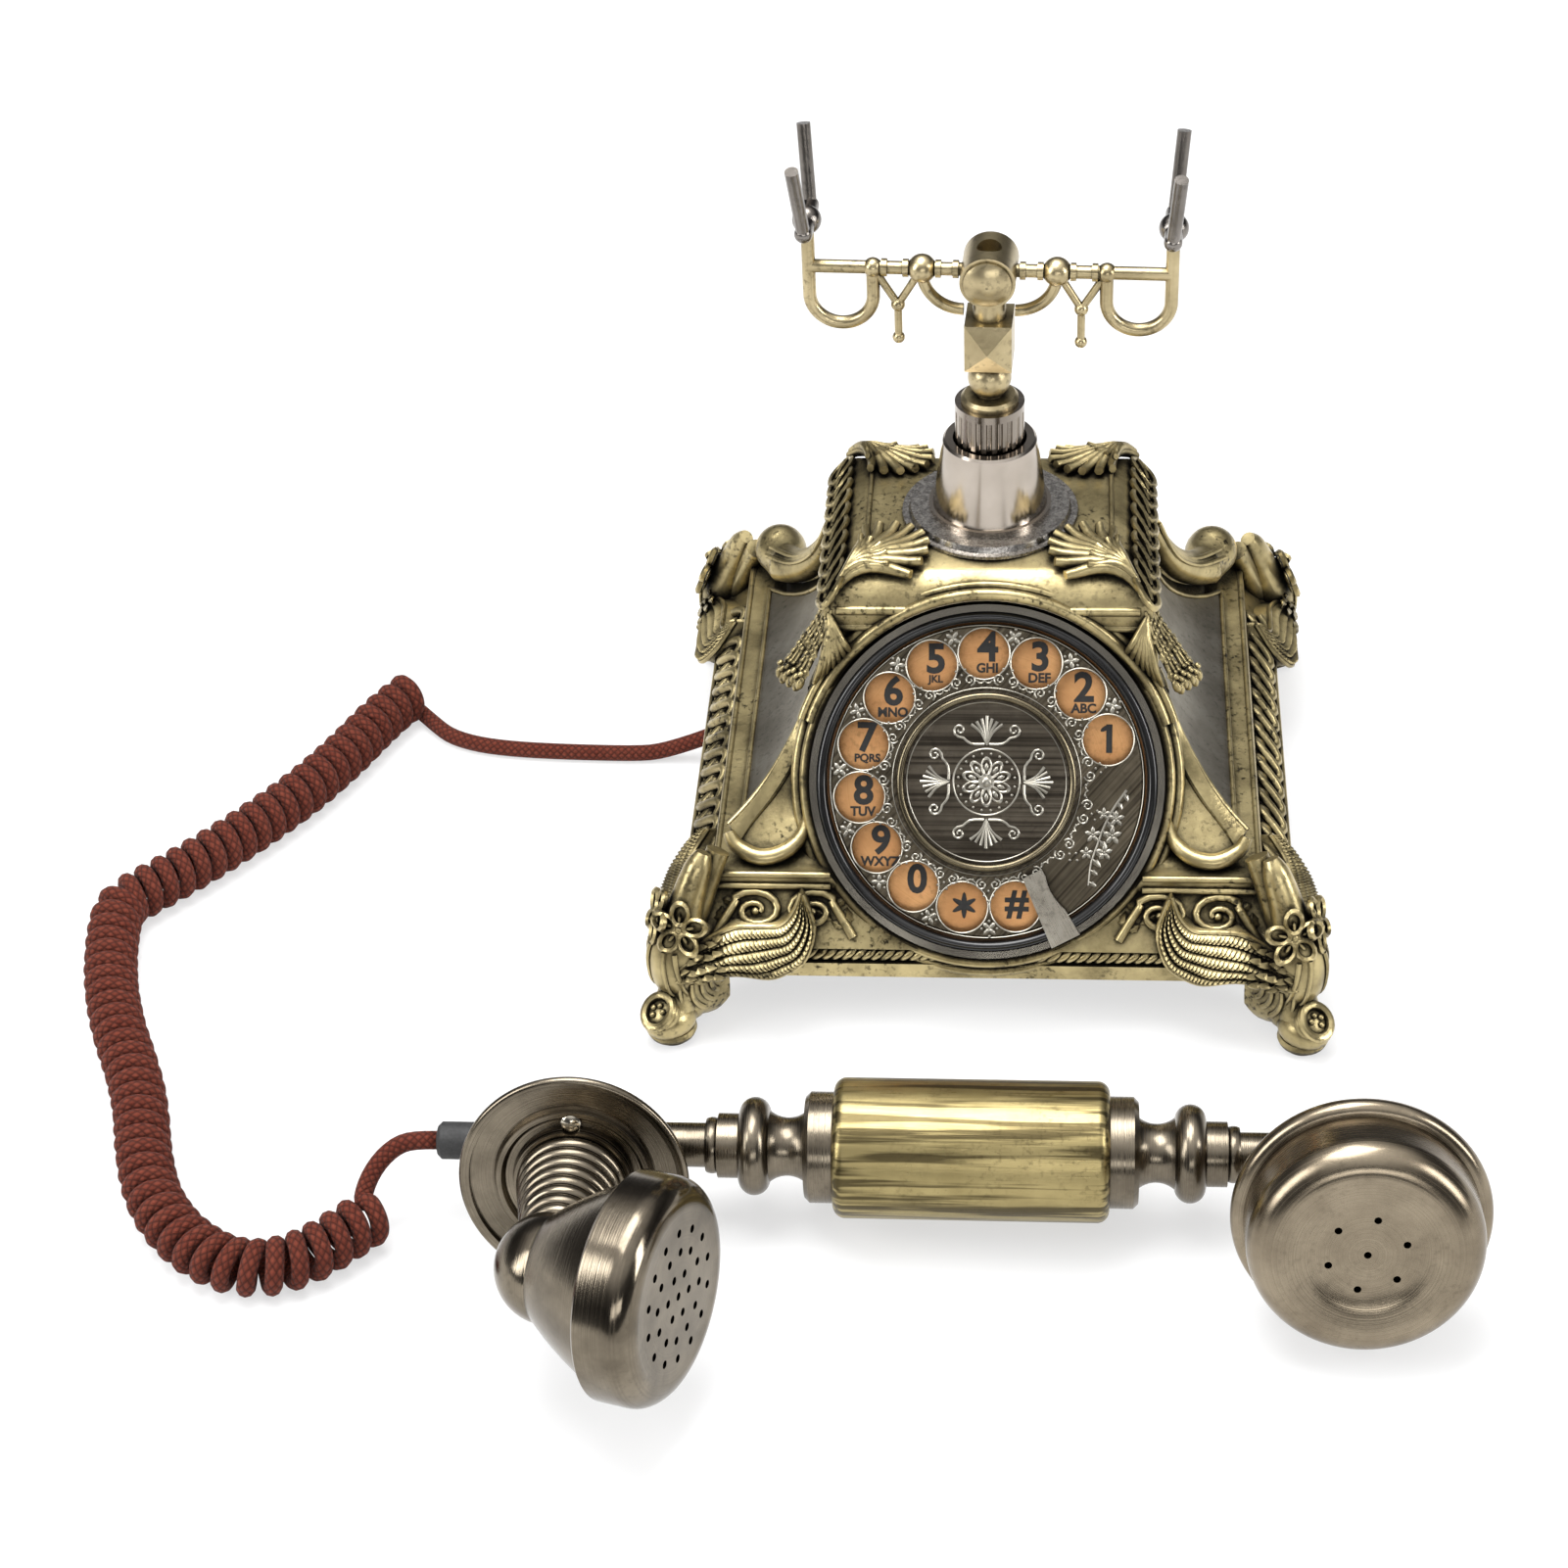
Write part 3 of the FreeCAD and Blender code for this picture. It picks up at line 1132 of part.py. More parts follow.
def horn_outside():
    return lathe((0, -HORN_END_R), (0.72 * HORN_END_R, -0.69 * HORN_END_R, 1.0 * HORN_END_R, 0),
                 (0.5 * (HORN_END_R + HORN_MOUTH_R) + 0.8, 0.5 * HORN_L, HORN_MOUTH_R, HORN_L), (0, HORN_L))


def horn_envelope():
    return turned(horn_outside(), HORN_AT, ON_HORN)


def horn():
    """Bell that turns across the neck: round closed end, swelling out to the mouth, hollow inside."""
    inner_end = HORN_END_R - SHELL_T
    inner_mouth = HORN_MOUTH_R - SHELL_T
    inside = lathe((0, -inner_end), (0.72 * inner_end, -0.69 * inner_end, inner_end, 0),
                   (0.5 * (inner_end + inner_mouth) + 0.8, 0.5 * HORN_L, inner_mouth, HORN_L),
                   (inner_mouth, HORN_L + 1), (0, HORN_L + 1))
    return turned(horn_outside().cut(inside), HORN_AT, ON_HORN)


def horn_cap():
    """Cap ring round the horn's mouth with a rounded, perforated face."""
    low = HORN_L
    shoulder = low + HORN_CAP_RING
    top = shoulder + HORN_CAP_DOME
    inner = HORN_MOUTH_R - SHELL_T
    face_r = 0.74 * HORN_CAP_R
    seat = HORN_MOUTH_R - 0.8
    cap = lathe((seat, low), (HORN_CAP_R - 0.6, low), (HORN_CAP_R, low + 0.6), (HORN_CAP_R, shoulder),
                (0.93 * HORN_CAP_R, top - 0.28 * HORN_CAP_DOME, face_r, top), (0, top),
                (0, top - SHELL_T), (face_r - 1, top - SHELL_T), (inner, shoulder - 1),
                (seat, shoulder - 2))
    for count, radius in [(1, 0.0), (6, 0.2 * HORN_CAP_R), (12, 0.4 * HORN_CAP_R), (14, 0.58 * HORN_CAP_R)]:
        for k in range(count):
            at = polar(radius, 360.0 * k / count, shoulder - 2)
            cap = cap.cut(Part.makeCylinder(HORN_HOLE_R, 2 * HORN_CAP_DOME, at))
    return turned(cap, HORN_AT, ON_HORN)


def microphone():
    """Capsule across the horn's mouth, with a flange that rests on the horn's rim under the cap."""
    inner = HORN_MOUTH_R - SHELL_T - 0.3
    flange_r = HORN_MOUTH_R - 1.0
    capsule = lathe((0, HORN_L - CAPSULE_H), (0.55 * inner, HORN_L - CAPSULE_H), (0.8 * inner, HORN_L - 0.6),
                    (0.8 * inner, HORN_L), (flange_r, HORN_L), (flange_r, HORN_L + 2), (0, HORN_L + 2))
    return turned(capsule, HORN_AT, ON_HORN)


RELIEF_SEAT = MOUTH_X - 0.8 * KNUCKLE_R
RELIEF_END = MOUTH_X - KNUCKLE_R - RELIEF_L + 2.0


def strain_relief():
    """Rubber sleeve on the end of the handset, where the cord goes in."""
    length = RELIEF_SEAT - RELIEF_END
    sleeve = lathe((0, 0), (RELIEF_R, 0), (RELIEF_R, length - 1.0), (RELIEF_R - 1.0, length), (0, length))
    return turned(sleeve, Vector(RELIEF_SEAT, 0, 0), Rotation(Vector(0, 0, 1), Vector(-1, 0, 0)))


# Cord route on the table: the curl's middle line, then the two leads, as they lie in the photograph
COIL_ROUTE = [(-144.4, -93.9), (-155.0, -99.2), (-167.5, -105.0), (-182.5, -106.0), (-196.0, -98.5),
              (-204.5, -83.5), (-209.5, -62.0), (-216.5, -38.0), (-226.5, -12.0), (-234.0, 12.0),
              (-234.5, 33.5), (-221.0, 54.0), (-203.5, 73.5), (-192.0, 92.5), (-186.0, 109.5),
              (-177.5, 122.5), (-165.5, 129.0)]
COIL_Z = COIL_R + CORD_R
HANDSET_LEAD = [(-133.2, -74.37, 1.0), (-138.1, -74.37, 0.87), (-142.7, -76.6, 0.6), (-145.8, -80.7, 0.3),
                (-146.8, -85.6, 0.05)]
BASE_LEAD = [(-154.6, 116.4), (-146.8, 112.8), (-137.5, 110.8), (-126.0, 109.7), (-112.0, 109.1),
             (-97.5, 108.9)]
PLUG_RISE = [(-33.0, 0.1), (-22.0, 0.5), (-11.0, 1.0)]


def route_points(controls, steps):
    """Points on the clamped quadratic curve through the middles of the control polygon's runs."""
    places = [Vector(x, y, COIL_Z) for x, y in controls]
    points = [places[0]]
    for k in range(1, len(places) - 1):
        start = places[0] if k == 1 else (places[k - 1] + places[k]) * 0.5
        end = places[-1] if k == len(places) - 2 else (places[k] + places[k + 1]) * 0.5
        for step in range(1, steps + 1):
            t = step / steps
            points.append(start * (1 - t) ** 2 + places[k] * (2 * t * (1 - t)) + end * t ** 2)
    return points


def heading_at(points, index):
    before = points[max(index - 1, 0)]
    after = points[min(index + 1, len(points) - 1)]
    return Vector(after - before).normalize()


def at_length(points, lengths, wanted):
    """Place and heading on a polyline at a length along it, both changing smoothly."""
    index = 0
    while index < len(points) - 2 and lengths[index + 1] < wanted:
        index += 1
    share = (wanted - lengths[index]) / (lengths[index + 1] - lengths[index])
    place = points[index] + (points[index + 1] - points[index]) * share
    heading = heading_at(points, index) * (1 - share) + heading_at(points, index + 1) * share
    return place, heading.normalize()


def curled_cord():
    """Curl of the cord: a helix on the route, from the top at the handset to the bottom at the base."""
    points = route_points(COIL_ROUTE, 60)
    lengths = [0.0]
    for before, after in zip(points, points[1:]):
        lengths.append(lengths[-1] + (after - before).Length)
    curls = int(lengths[-1] / COIL_PITCH) + 0.5
    quarters = int(4 * curls)
    up = Vector(0, 0, 1)

    def place_at(turns):
        centre, heading = at_length(points, lengths, lengths[-1] * min(max(turns / curls, 0.0), 1.0))
        left = up.cross(heading)
        angle = math.radians(90.0 - 360.0 * turns)
        return centre + left * (COIL_R * math.cos(angle)) + up * (COIL_R * math.sin(angle))

    small = 0.002
    places, headings = [], []
    for k in range(quarters + 1):
        turns = k / 4
        places.append(place_at(turns))
        step = place_at(min(turns + small, curls)) - place_at(max(turns - small, 0))
        headings.append(step.normalize())
    for index in (0, -1):
        headings[index].z = 0
        headings[index].normalize()
    tube, path, first, last = wound_tube(CORD_R, places, headings, 2 * CORD_R)
    gap = least_gap(path, CORD_R, 2 * math.pi * COIL_R)
    print("curls", curls, "wire length", round(path.Length, 1), "least gap to itself", round(gap, 2))
    return tube, first, headings[0], last, headings[-1]


def report_tube(name, tube, length, radii):
    share = tube.Volume / (math.pi * CORD_R ** 2 * length)
    print(name, "length", round(length, 1), "volume share", round(share, 4),
          "radii", [round(radius, 1) for radius in radii])


os.makedirs("parts", exist_ok=True)
nodes = {}

casting_outer, casting = base_casting()
base_nodes = {
    "base_casting": casting,
    "bottom_plate": bottom_plate(),
    "bottom_screws": bottom_screws(),
    "dial_bezel": on_dial(dial_bezel()),
    "dial_seal": on_dial(dial_seal()),
    "number_plate": on_dial(number_plate()),
    "finger_wheel": on_dial(finger_wheel()),
    "dial_medallion": on_dial(dial_medallion()),
    "finger_stop": on_dial(finger_stop()),
    "dial_shaft": on_dial(dial_shaft()),
    "dial_frame": on_dial(dial_frame()),
    "dial_bush": on_dial(dial_bush()),
    "spring_barrel": on_dial(spring_barrel()),
    "main_gear": on_dial(main_gear()),
    "pulse_cam": on_dial(pulse_cam()),
    "pulse_contacts": on_dial(pulse_contacts()),
    "governor": on_dial(governor()),
    "circuit_board": circuit_board(),
    "ringer": ringer(),
    "ballast": ballast(),
    "line_jack": line_jack(),
    "handset_jack": handset_jack(),
    "rubber_feet": rubber_feet(),
}
corner_leg = leg(casting_outer)
for (sx, sy), corner in zip(CORNERS, CORNER_NAMES):
    base_nodes["leg_" + corner] = in_corner(corner_leg, sx, sy)

stem_nodes = {
    "stem_disc": stem_disc(),
    "stem_cup": stem_cup(),
    "plunger_column": plunger_column(),
    "column_washer": column_washer(),
    "hook_rod": hook_rod(),
    "hook_spring": hook_spring(),
    "hook_tower": hook_tower(),
    "hook_switch": hook_switch(),
    "cradle_post": cradle_post(),
    "hub_caps": hub_caps(),
    "cradle_arm_left": cradle_arm(-1),
    "cradle_arm_right": cradle_arm(1),
    "fork_left": cradle_fork(-1),
    "fork_right": cradle_fork(1),
}
for name, shape in stem_nodes.items():
    turn = CRADLE_TURN if name.startswith(("cradle", "hub", "fork")) else 0.0
    base_nodes[name] = turned(shape, Vector(0, STEM_Y, 0), Rotation(Vector(0, 0, 1), turn))
for name, shape in base_nodes.items():
    nodes[name] = turned(shape, BASE_AT, Rotation())

handset_nodes = {
    "handset_tube": handset_tube(),
    "grip_sleeve": grip_sleeve(),
    "collar_left": collar(-1),
    "collar_right": collar(1),
    "ear_shell": ear_shell(),
    "ear_cap": ear_cap(),
    "receiver": receiver(),
    "mouth_shell": mouth_shell(),
    "mouth_plate": mouth_plate(),
    "mouth_screw": mouth_screw(),
    "mouth_neck": mouth_neck(),
    "horn": horn(),
    "horn_cap": horn_cap(),
    "microphone": microphone(),
    "strain_relief": strain_relief(),
}
for name, shape in handset_nodes.items():
    nodes[name] = on_table(shape)

nodes["base_plug"] = turned(base_plug(), BASE_AT, Rotation())
coil, coil_start, start_heading, coil_end, end_heading = curled_cord()
nodes["cord_coil"] = coil
relief_end = HANDSET_AT + Vector(RELIEF_END - CORD_GAP, 0, HANDSET_Z)
lead_low = coil_start.z
lead_high = HANDSET_Z - lead_low
lead_points = [relief_end]
for x, y, rise in HANDSET_LEAD:
    lead_points.append(Vector(x, y, lead_low + lead_high * rise))
lead_points.append(coil_start - start_heading * LEAD_GAP)
lead, lead_length, lead_radii = bent_tube(CORD_R, lead_points)
report_tube("handset lead", lead, lead_length, lead_radii)
nodes["cord_handset_lead"] = lead
plug_x = BASE_AT.x + JACK_AT.x - JACK_SIZE.x / 2 - PLUG_SIZE.x + PLUG_DEPTH - 4
plug_end = Vector(plug_x, BASE_AT.y + JACK_AT.y, PLUG_Z)
base_points = [coil_end + end_heading * LEAD_GAP, coil_end + end_heading * 6.5]
for x, y in BASE_LEAD:
    base_points.append(Vector(x, y, CORD_R))
for back, rise in PLUG_RISE:
    base_points.append(Vector(plug_x + back, plug_end.y, CORD_R + (PLUG_Z - CORD_R) * rise))
base_points.append(plug_end)
lead, lead_length, lead_radii = bent_tube(CORD_R, base_points)
report_tube("base lead", lead, lead_length, lead_radii)
nodes["cord_base_lead"] = lead

for name, shape in nodes.items():
    shape.exportStep(os.path.join("parts", name + ".step"))
    if not shape.isValid():
        print("not valid:", name)
    if len(shape.Solids) > 1:
        print(name, "solids:", len(shape.Solids))
cord_names = ("cord_coil", "cord_handset_lead", "cord_base_lead", "base_plug")
corners = []
for name, shape in nodes.items():
    if name not in cord_names:
        corners += shape.tessellate(0.02)[0]
low = [min(point[axis] for point in corners) for axis in range(3)]
high = [max(point[axis] for point in corners) for axis in range(3)]
print("nodes", len(nodes), "size", [round(far - near, 2) for near, far in zip(low, high)], "low", low[2])
print("middle", round((low[0] + high[0]) / 2, 3), round((low[1] + high[1]) / 2, 3))
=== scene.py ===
# %% [markdown]
# # A rotary telephone with a winged base and a curled cloth cord
# The CAD model is loaded first, as a fixed frame of named solids that already sit where the
# real pieces sit. Everything made below is laid over that frame, in the same metres.

# %% Load the imported model
import json
import math

import bmesh
import bpy
from mathutils import Matrix, Vector


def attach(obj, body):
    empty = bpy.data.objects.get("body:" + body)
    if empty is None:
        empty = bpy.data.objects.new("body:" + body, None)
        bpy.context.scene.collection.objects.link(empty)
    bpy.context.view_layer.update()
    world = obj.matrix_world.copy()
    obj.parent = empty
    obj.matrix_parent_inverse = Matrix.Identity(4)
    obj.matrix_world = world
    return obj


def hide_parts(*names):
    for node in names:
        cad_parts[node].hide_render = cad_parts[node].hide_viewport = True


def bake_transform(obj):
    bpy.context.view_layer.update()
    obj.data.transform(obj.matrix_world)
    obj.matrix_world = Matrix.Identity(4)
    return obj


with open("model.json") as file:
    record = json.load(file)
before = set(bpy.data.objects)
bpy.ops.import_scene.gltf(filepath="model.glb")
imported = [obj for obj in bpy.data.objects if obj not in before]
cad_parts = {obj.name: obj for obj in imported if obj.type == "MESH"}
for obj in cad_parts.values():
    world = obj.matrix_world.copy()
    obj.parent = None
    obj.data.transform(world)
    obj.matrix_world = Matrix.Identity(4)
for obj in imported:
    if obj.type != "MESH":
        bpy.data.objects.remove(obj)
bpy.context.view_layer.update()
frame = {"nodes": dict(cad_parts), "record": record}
MM = 0.001
scene = bpy.context.scene
scene.view_settings.view_transform = "Standard"

# %% [markdown]
# ## The camera
# The photograph looks down on the telephone from the front, a little from its right side.
# The three angles below were solved from the round dial and the table, so the camera's axes are
# built from them directly, with no target object to keep in step.

# %% Camera
PITCH, YAW, ROLL = (math.radians(angle) for angle in (38.16, -5.62, -2.91))
CAMERA_AT = Vector((21.76, -673.09, 608.96)) * MM
FOCAL_LENGTH, SENSOR_WIDTH, FAR_CLIP = 77.73, 36, 50
looking = Vector((math.sin(YAW) * math.cos(PITCH), math.cos(YAW) * math.cos(PITCH), -math.sin(PITCH)))
level = Vector((math.cos(YAW), -math.sin(YAW), 0))
upright = level.cross(looking)
camera_right = math.cos(ROLL) * level + math.sin(ROLL) * upright
camera_up = math.cos(ROLL) * upright - math.sin(ROLL) * level
lens = bpy.data.cameras.new("photo_camera")
lens.lens = FOCAL_LENGTH
lens.sensor_width = SENSOR_WIDTH
lens.clip_end = FAR_CLIP
camera = bpy.data.objects.new("photo_camera", lens)
scene.collection.objects.link(camera)
turn = Matrix((camera_right, camera_up, -looking)).transposed().to_4x4()
camera.matrix_world = Matrix.Translation(CAMERA_AT) @ turn
scene.camera = camera
print("camera at", tuple(round(c, 3) for c in camera.location))

# %% [markdown]
# ## The room
# A white table and large soft lamps. Polished metal shows what stands round it, so the world is
# a grey band that brightens towards the ceiling: a plain white room would make every metal look
# like paper. The table is partly self-lit for the camera and for reflections only, which keeps it
# white in the picture without throwing more light on the object.

# %% Table
TABLE_HALF = 6
TABLE_GLOW = 0.62


def make_material(name):
    material = bpy.data.materials.new(name)
    material.use_nodes = True
    tree = material.node_tree
    return material, tree, tree.nodes["Principled BSDF"]


def add_node(tree, kind, **settings):
    node = tree.nodes.new(kind)
    for key, value in settings.items():
        setattr(node, key, value)
    return node


def table_finish():
    material, tree, paint = make_material("white_table")
    paint.inputs["Base Color"].default_value = (0.9, 0.9, 0.9, 1)
    paint.inputs["Roughness"].default_value = 0.9
    paint.inputs["Specular IOR Level"].default_value = 0.0
    glow = add_node(tree, "ShaderNodeEmission")
    seen = add_node(tree, "ShaderNodeLightPath")
    either = add_node(tree, "ShaderNodeMath", operation="MAXIMUM")
    share = add_node(tree, "ShaderNodeMath", operation="MULTIPLY")
    mix = add_node(tree, "ShaderNodeMixShader")
    share.inputs[1].default_value = TABLE_GLOW
    tree.links.new(seen.outputs["Is Camera Ray"], either.inputs[0])
    tree.links.new(seen.outputs["Is Glossy Ray"], either.inputs[1])
    tree.links.new(either.outputs[0], share.inputs[0])
    tree.links.new(share.outputs[0], mix.inputs[0])
    tree.links.new(paint.outputs[0], mix.inputs[1])
    tree.links.new(glow.outputs[0], mix.inputs[2])
    tree.links.new(mix.outputs[0], tree.nodes["Material Output"].inputs[0])
    return material


table = bmesh.new()
bmesh.ops.create_grid(table, x_segments=1, y_segments=1, size=TABLE_HALF)
table_mesh = bpy.data.meshes.new("table_top")
table.to_mesh(table_mesh)
table.free()
table_mesh.materials.append(table_finish())
table_top = bpy.data.objects.new("table_top", table_mesh)
scene.collection.objects.link(table_top)
print("table faces", len(table_mesh.polygons))

# %% Lamps and world
def soft_lamp(name, place, target, size, watts):
    lamp = bpy.data.lights.new(name, "AREA")
    lamp.shape = "RECTANGLE"
    lamp.size, lamp.size_y = size
    lamp.energy = watts
    lit = bpy.data.objects.new(name, lamp)
    scene.collection.objects.link(lit)
    aim = (Vector(target) - Vector(place)).to_track_quat("-Z", "Y")
    lit.matrix_world = Matrix.Translation(place) @ aim.to_matrix().to_4x4()


soft_lamp("lamp_ceiling", (-0.15, 0.1, 1.3), (0, 0, 0.05), (0.9, 0.7), 17)
soft_lamp("lamp_left", (-1.1, -0.5, 0.75), (0, 0, 0.06), (0.45, 1.0), 11)
soft_lamp("lamp_right", (1.15, -0.35, 0.6), (0, 0, 0.06), (0.3, 0.8), 8)
soft_lamp("lamp_front", (0.2, -1.3, 0.5), (0, 0, 0.05), (0.9, 0.25), 3)

world = bpy.data.worlds.new("studio")
world.use_nodes = True
scene.world = world
sky = world.node_tree
spot = add_node(sky, "ShaderNodeTexCoord")
split = add_node(sky, "ShaderNodeSeparateXYZ")
band = add_node(sky, "ShaderNodeValToRGB")
band.color_ramp.elements[0].position = 0.0
band.color_ramp.elements[0].color = (0.16, 0.16, 0.165, 1)
band.color_ramp.elements[1].position = 0.9
band.color_ramp.elements[1].color = (1.4, 1.4, 1.41, 1)
dip = band.color_ramp.elements.new(0.3)
dip.color = (0.05, 0.05, 0.053, 1)
rise = band.color_ramp.elements.new(0.55)
rise.color = (0.14, 0.14, 0.145, 1)
sky.links.new(spot.outputs["Generated"], split.inputs[0])
sky.links.new(split.outputs["Z"], band.inputs[0])
sky.links.new(band.outputs[0], sky.nodes["Background"].inputs["Color"])
sky.nodes["Background"].inputs["Strength"].default_value = 1.0

# %% [markdown]
# ## The curled cord
# The cord is one length of cloth braided wire: out of the handset's rubber sleeve, a few
# centimetres of plain lead, 57 close curls that wander round the left side of the table, and a
# plain lead to the plug under the base. A spring shaped curve could be a Screw modifier, but that
# only makes straight springs. Here a smooth line is laid through the route first, and the curls
# are wound round points read back from that line. The wound points become one long spline, and
# a tube with its own braid coordinates is drawn round it.

# %% Routes of the cord
CORD_R = 2.35 * MM
COIL_CENTRE_Z = 7.35 * MM
COIL_R = COIL_CENTRE_Z - CORD_R
COIL_TURNS = 57.5
POINTS_PER_TURN = 16
COIL_ROUTE = [(-144.6, -86.5), (-151.8, -94.6), (-159.9, -102.0), (-169.8, -105.6), (-180.2, -103.4),
              (-191.6, -95.0), (-201.0, -82.4), (-207.2, -65.5), (-211.0, -49.9), (-216.4, -35.6),
              (-224.0, -19.3), (-229.9, -2.4), (-233.6, 15.1), (-235.2, 31.0), (-229.3, 37.2),
              (-219.4, 47.5), (-209.6, 59.0), (-200.0, 71.6), (-190.6, 85.6), (-181.6, 103.2),
              (-174.0, 121.5), (-167.5, 131.0)]
HANDSET_LEAD = [(-128.2, -74.367, 22.2), (-133.2, -74.37, 22.2), (-138.1, -74.37, 20.7),
                (-142.7, -76.6, 17.5), (-145.8, -80.7, 14.0), (-146.8, -85.6, 11.1)]
BASE_LEAD = [(-159.6, 121.6, 2.45), (-154.6, 116.4, 2.45), (-146.8, 112.8, 2.45),
             (-137.5, 110.8, 2.45), (-126.0, 109.7, 2.45), (-112.0, 109.1, 2.45),
             (-97.5, 108.9, 2.45), (-91.0, 109.533, 2.8), (-80.0, 109.533, 7.0),
             (-69.0, 109.533, 12.275), (-58.0, 109.533, 12.275)]


def spline_points(name, places, resolution):
    """Points of a smooth NURBS line that has these places as its control points."""
    line = bpy.data.curves.new(name, "CURVE")
    line.dimensions = "3D"
    spline = line.splines.new("NURBS")
    spline.points.add(len(places) - 1)
    for point, place in zip(spline.points, places):
        point.co = (*place, 1)
    spline.order_u = 3
    spline.use_endpoint_u = True
    spline.resolution_u = resolution
    carrier = bpy.data.objects.new(name, line)
    scene.collection.objects.link(carrier)
    bpy.context.view_layer.update()
    mesh = bpy.data.meshes.new_from_object(carrier.evaluated_get(bpy.context.evaluated_depsgraph_get()))
    points = [mesh.vertices[0].co.copy()]
    for vertex in mesh.vertices:
        if (vertex.co - points[-1]).length > 1e-5:
            points.append(vertex.co.copy())
    bpy.data.objects.remove(carrier)
    bpy.data.meshes.remove(mesh)
    return points


def lengths_along(points):
    """Distance from the first point to each point."""
    far = [0.0]
    for first, second in zip(points, points[1:]):
        far.append(far[-1] + (second - first).length)
    return far


def at_length(points, far, length):
    """Place and heading at a distance along the points."""
    index = 1
    while index < len(far) - 1 and far[index] < length:
        index += 1
    span = points[index] - points[index - 1]
    share = (length - far[index - 1]) / max(far[index] - far[index - 1], 1e-9)
    before = points[max(index - 2, 0)]
    after = points[min(index + 1, len(points) - 1)]
    return points[index - 1] + share * span, (after - before).normalized()


print("points of the coil's route", len(COIL_ROUTE))

# %% Curls wound round the route
coil_line = spline_points("coil_line", [(x * MM, y * MM, COIL_CENTRE_Z) for x, y in COIL_ROUTE], 24)
coil_far = lengths_along(coil_line)
up = Vector((0, 0, 1))
widen = 1 / math.cos(math.pi / POINTS_PER_TURN)
curls = []
for step in range(int(COIL_TURNS * POINTS_PER_TURN) + 1):
    turns = step / POINTS_PER_TURN
    centre, heading = at_length(coil_line, coil_far, coil_far[-1] * turns / COIL_TURNS)
    left = up.cross(heading).normalized()
    angle = math.radians(90) - 2 * math.pi * turns
    curls.append(centre + widen * COIL_R * (math.cos(angle) * left + math.sin(angle) * up))
cord_places = [Vector(p) * MM for p in HANDSET_LEAD] + curls + [Vector(p) * MM for p in BASE_LEAD]
cord_path = spline_points("cord_line", cord_places, 3)

# %% [markdown]
# ## The cord's braid
# Cotton braid is two sets of strands that pass over and under each other on a slant. The tube
# carries its own coordinates: the distance along it, counted in girths, and the share of the way
# round. Two slanted counts over those coordinates give the diamonds, and which of the two is odd
# says which strand lies on top.

# %% Braid group
def new_group(name, inputs, outputs):
    """Empty shader node group with named sockets, as (group, input node, output node)."""
    group = bpy.data.node_groups.new(name, "ShaderNodeTree")
    for label, kind, value in inputs:
        socket = group.interface.new_socket(label, in_out="INPUT", socket_type=kind)
        if value is not None:
            socket.default_value = value
    for label, kind in outputs:
        group.interface.new_socket(label, in_out="OUTPUT", socket_type=kind)
    return group, group.nodes.new("NodeGroupInput"), group.nodes.new("NodeGroupOutput")


def math_node(tree, operation, first, second=None):
    node = add_node(tree, "ShaderNodeMath", operation=operation)
    for socket, value in zip(node.inputs, (first, second)):
        if value is None:
            continue
        if isinstance(value, (int, float)):
            socket.default_value = value
        else:
            tree.links.new(value, socket)
    return node.outputs[0]


def mix_colours(tree, share, first, second):
    node = add_node(tree, "ShaderNodeMix", data_type="RGBA")
    for socket, value in zip((node.inputs[0], node.inputs[6], node.inputs[7]), (share, first, second)):
        if isinstance(value, (int, float)):
            socket.default_value = value
        elif isinstance(value, tuple):
            socket.default_value = (*value, 1)
        else:
            tree.links.new(value, socket)
    return node.outputs[2]


THREADS_PER_STRAND = 4


def braid_group():
    group, given, out = new_group(
        "cloth_braid",
        [("Along", "NodeSocketFloat", 0), ("Round", "NodeSocketFloat", 0),
         ("Strands", "NodeSocketFloat", 7)],
        [("Height", "NodeSocketFloat"), ("Over", "NodeSocketFloat"), ("Thread", "NodeSocketFloat")])
    total = math_node(group, "ADD", given.outputs["Along"], given.outputs["Round"])
    apart = math_node(group, "SUBTRACT", given.outputs["Along"], given.outputs["Round"])
    one = math_node(group, "MULTIPLY", total, given.outputs["Strands"])
    two = math_node(group, "MULTIPLY", apart, given.outputs["Strands"])
    odd = math_node(group, "ADD", math_node(group, "FLOOR", one), math_node(group, "FLOOR", two))
    over = math_node(group, "PINGPONG", odd, 1.0)
    rounds = []
    for count in (one, two):
        share = math_node(group, "FRACT", count)
        rounds.append(math_node(group, "SINE", math_node(group, "MULTIPLY", share, math.pi)))
    height = math_node(group, "MULTIPLY", rounds[0], rounds[1])
    chosen = add_node(group, "ShaderNodeMix", data_type="FLOAT")
    group.links.new(over, chosen.inputs[0])
    for socket, count in ((chosen.inputs[2], one), (chosen.inputs[3], two)):
        turns = math_node(group, "MULTIPLY", count, THREADS_PER_STRAND * 2 * math.pi)
        group.links.new(math_node(group, "SINE", turns), socket)
    group.links.new(height, out.inputs["Height"])
    group.links.new(over, out.inputs["Over"])
    group.links.new(chosen.outputs[0], out.inputs["Thread"])
    return group


CLOTH_BRAID = braid_group()
print("braid group nodes", len(CLOTH_BRAID.nodes))

# %% Cloth finish
STRAND_UNDER, STRAND_OVER = (0.094, 0.017, 0.010), (0.145, 0.030, 0.018)
STRAND_FADED, STRAND_GAP_SHADE = (0.20, 0.058, 0.036), (0.022, 0.009, 0.007)


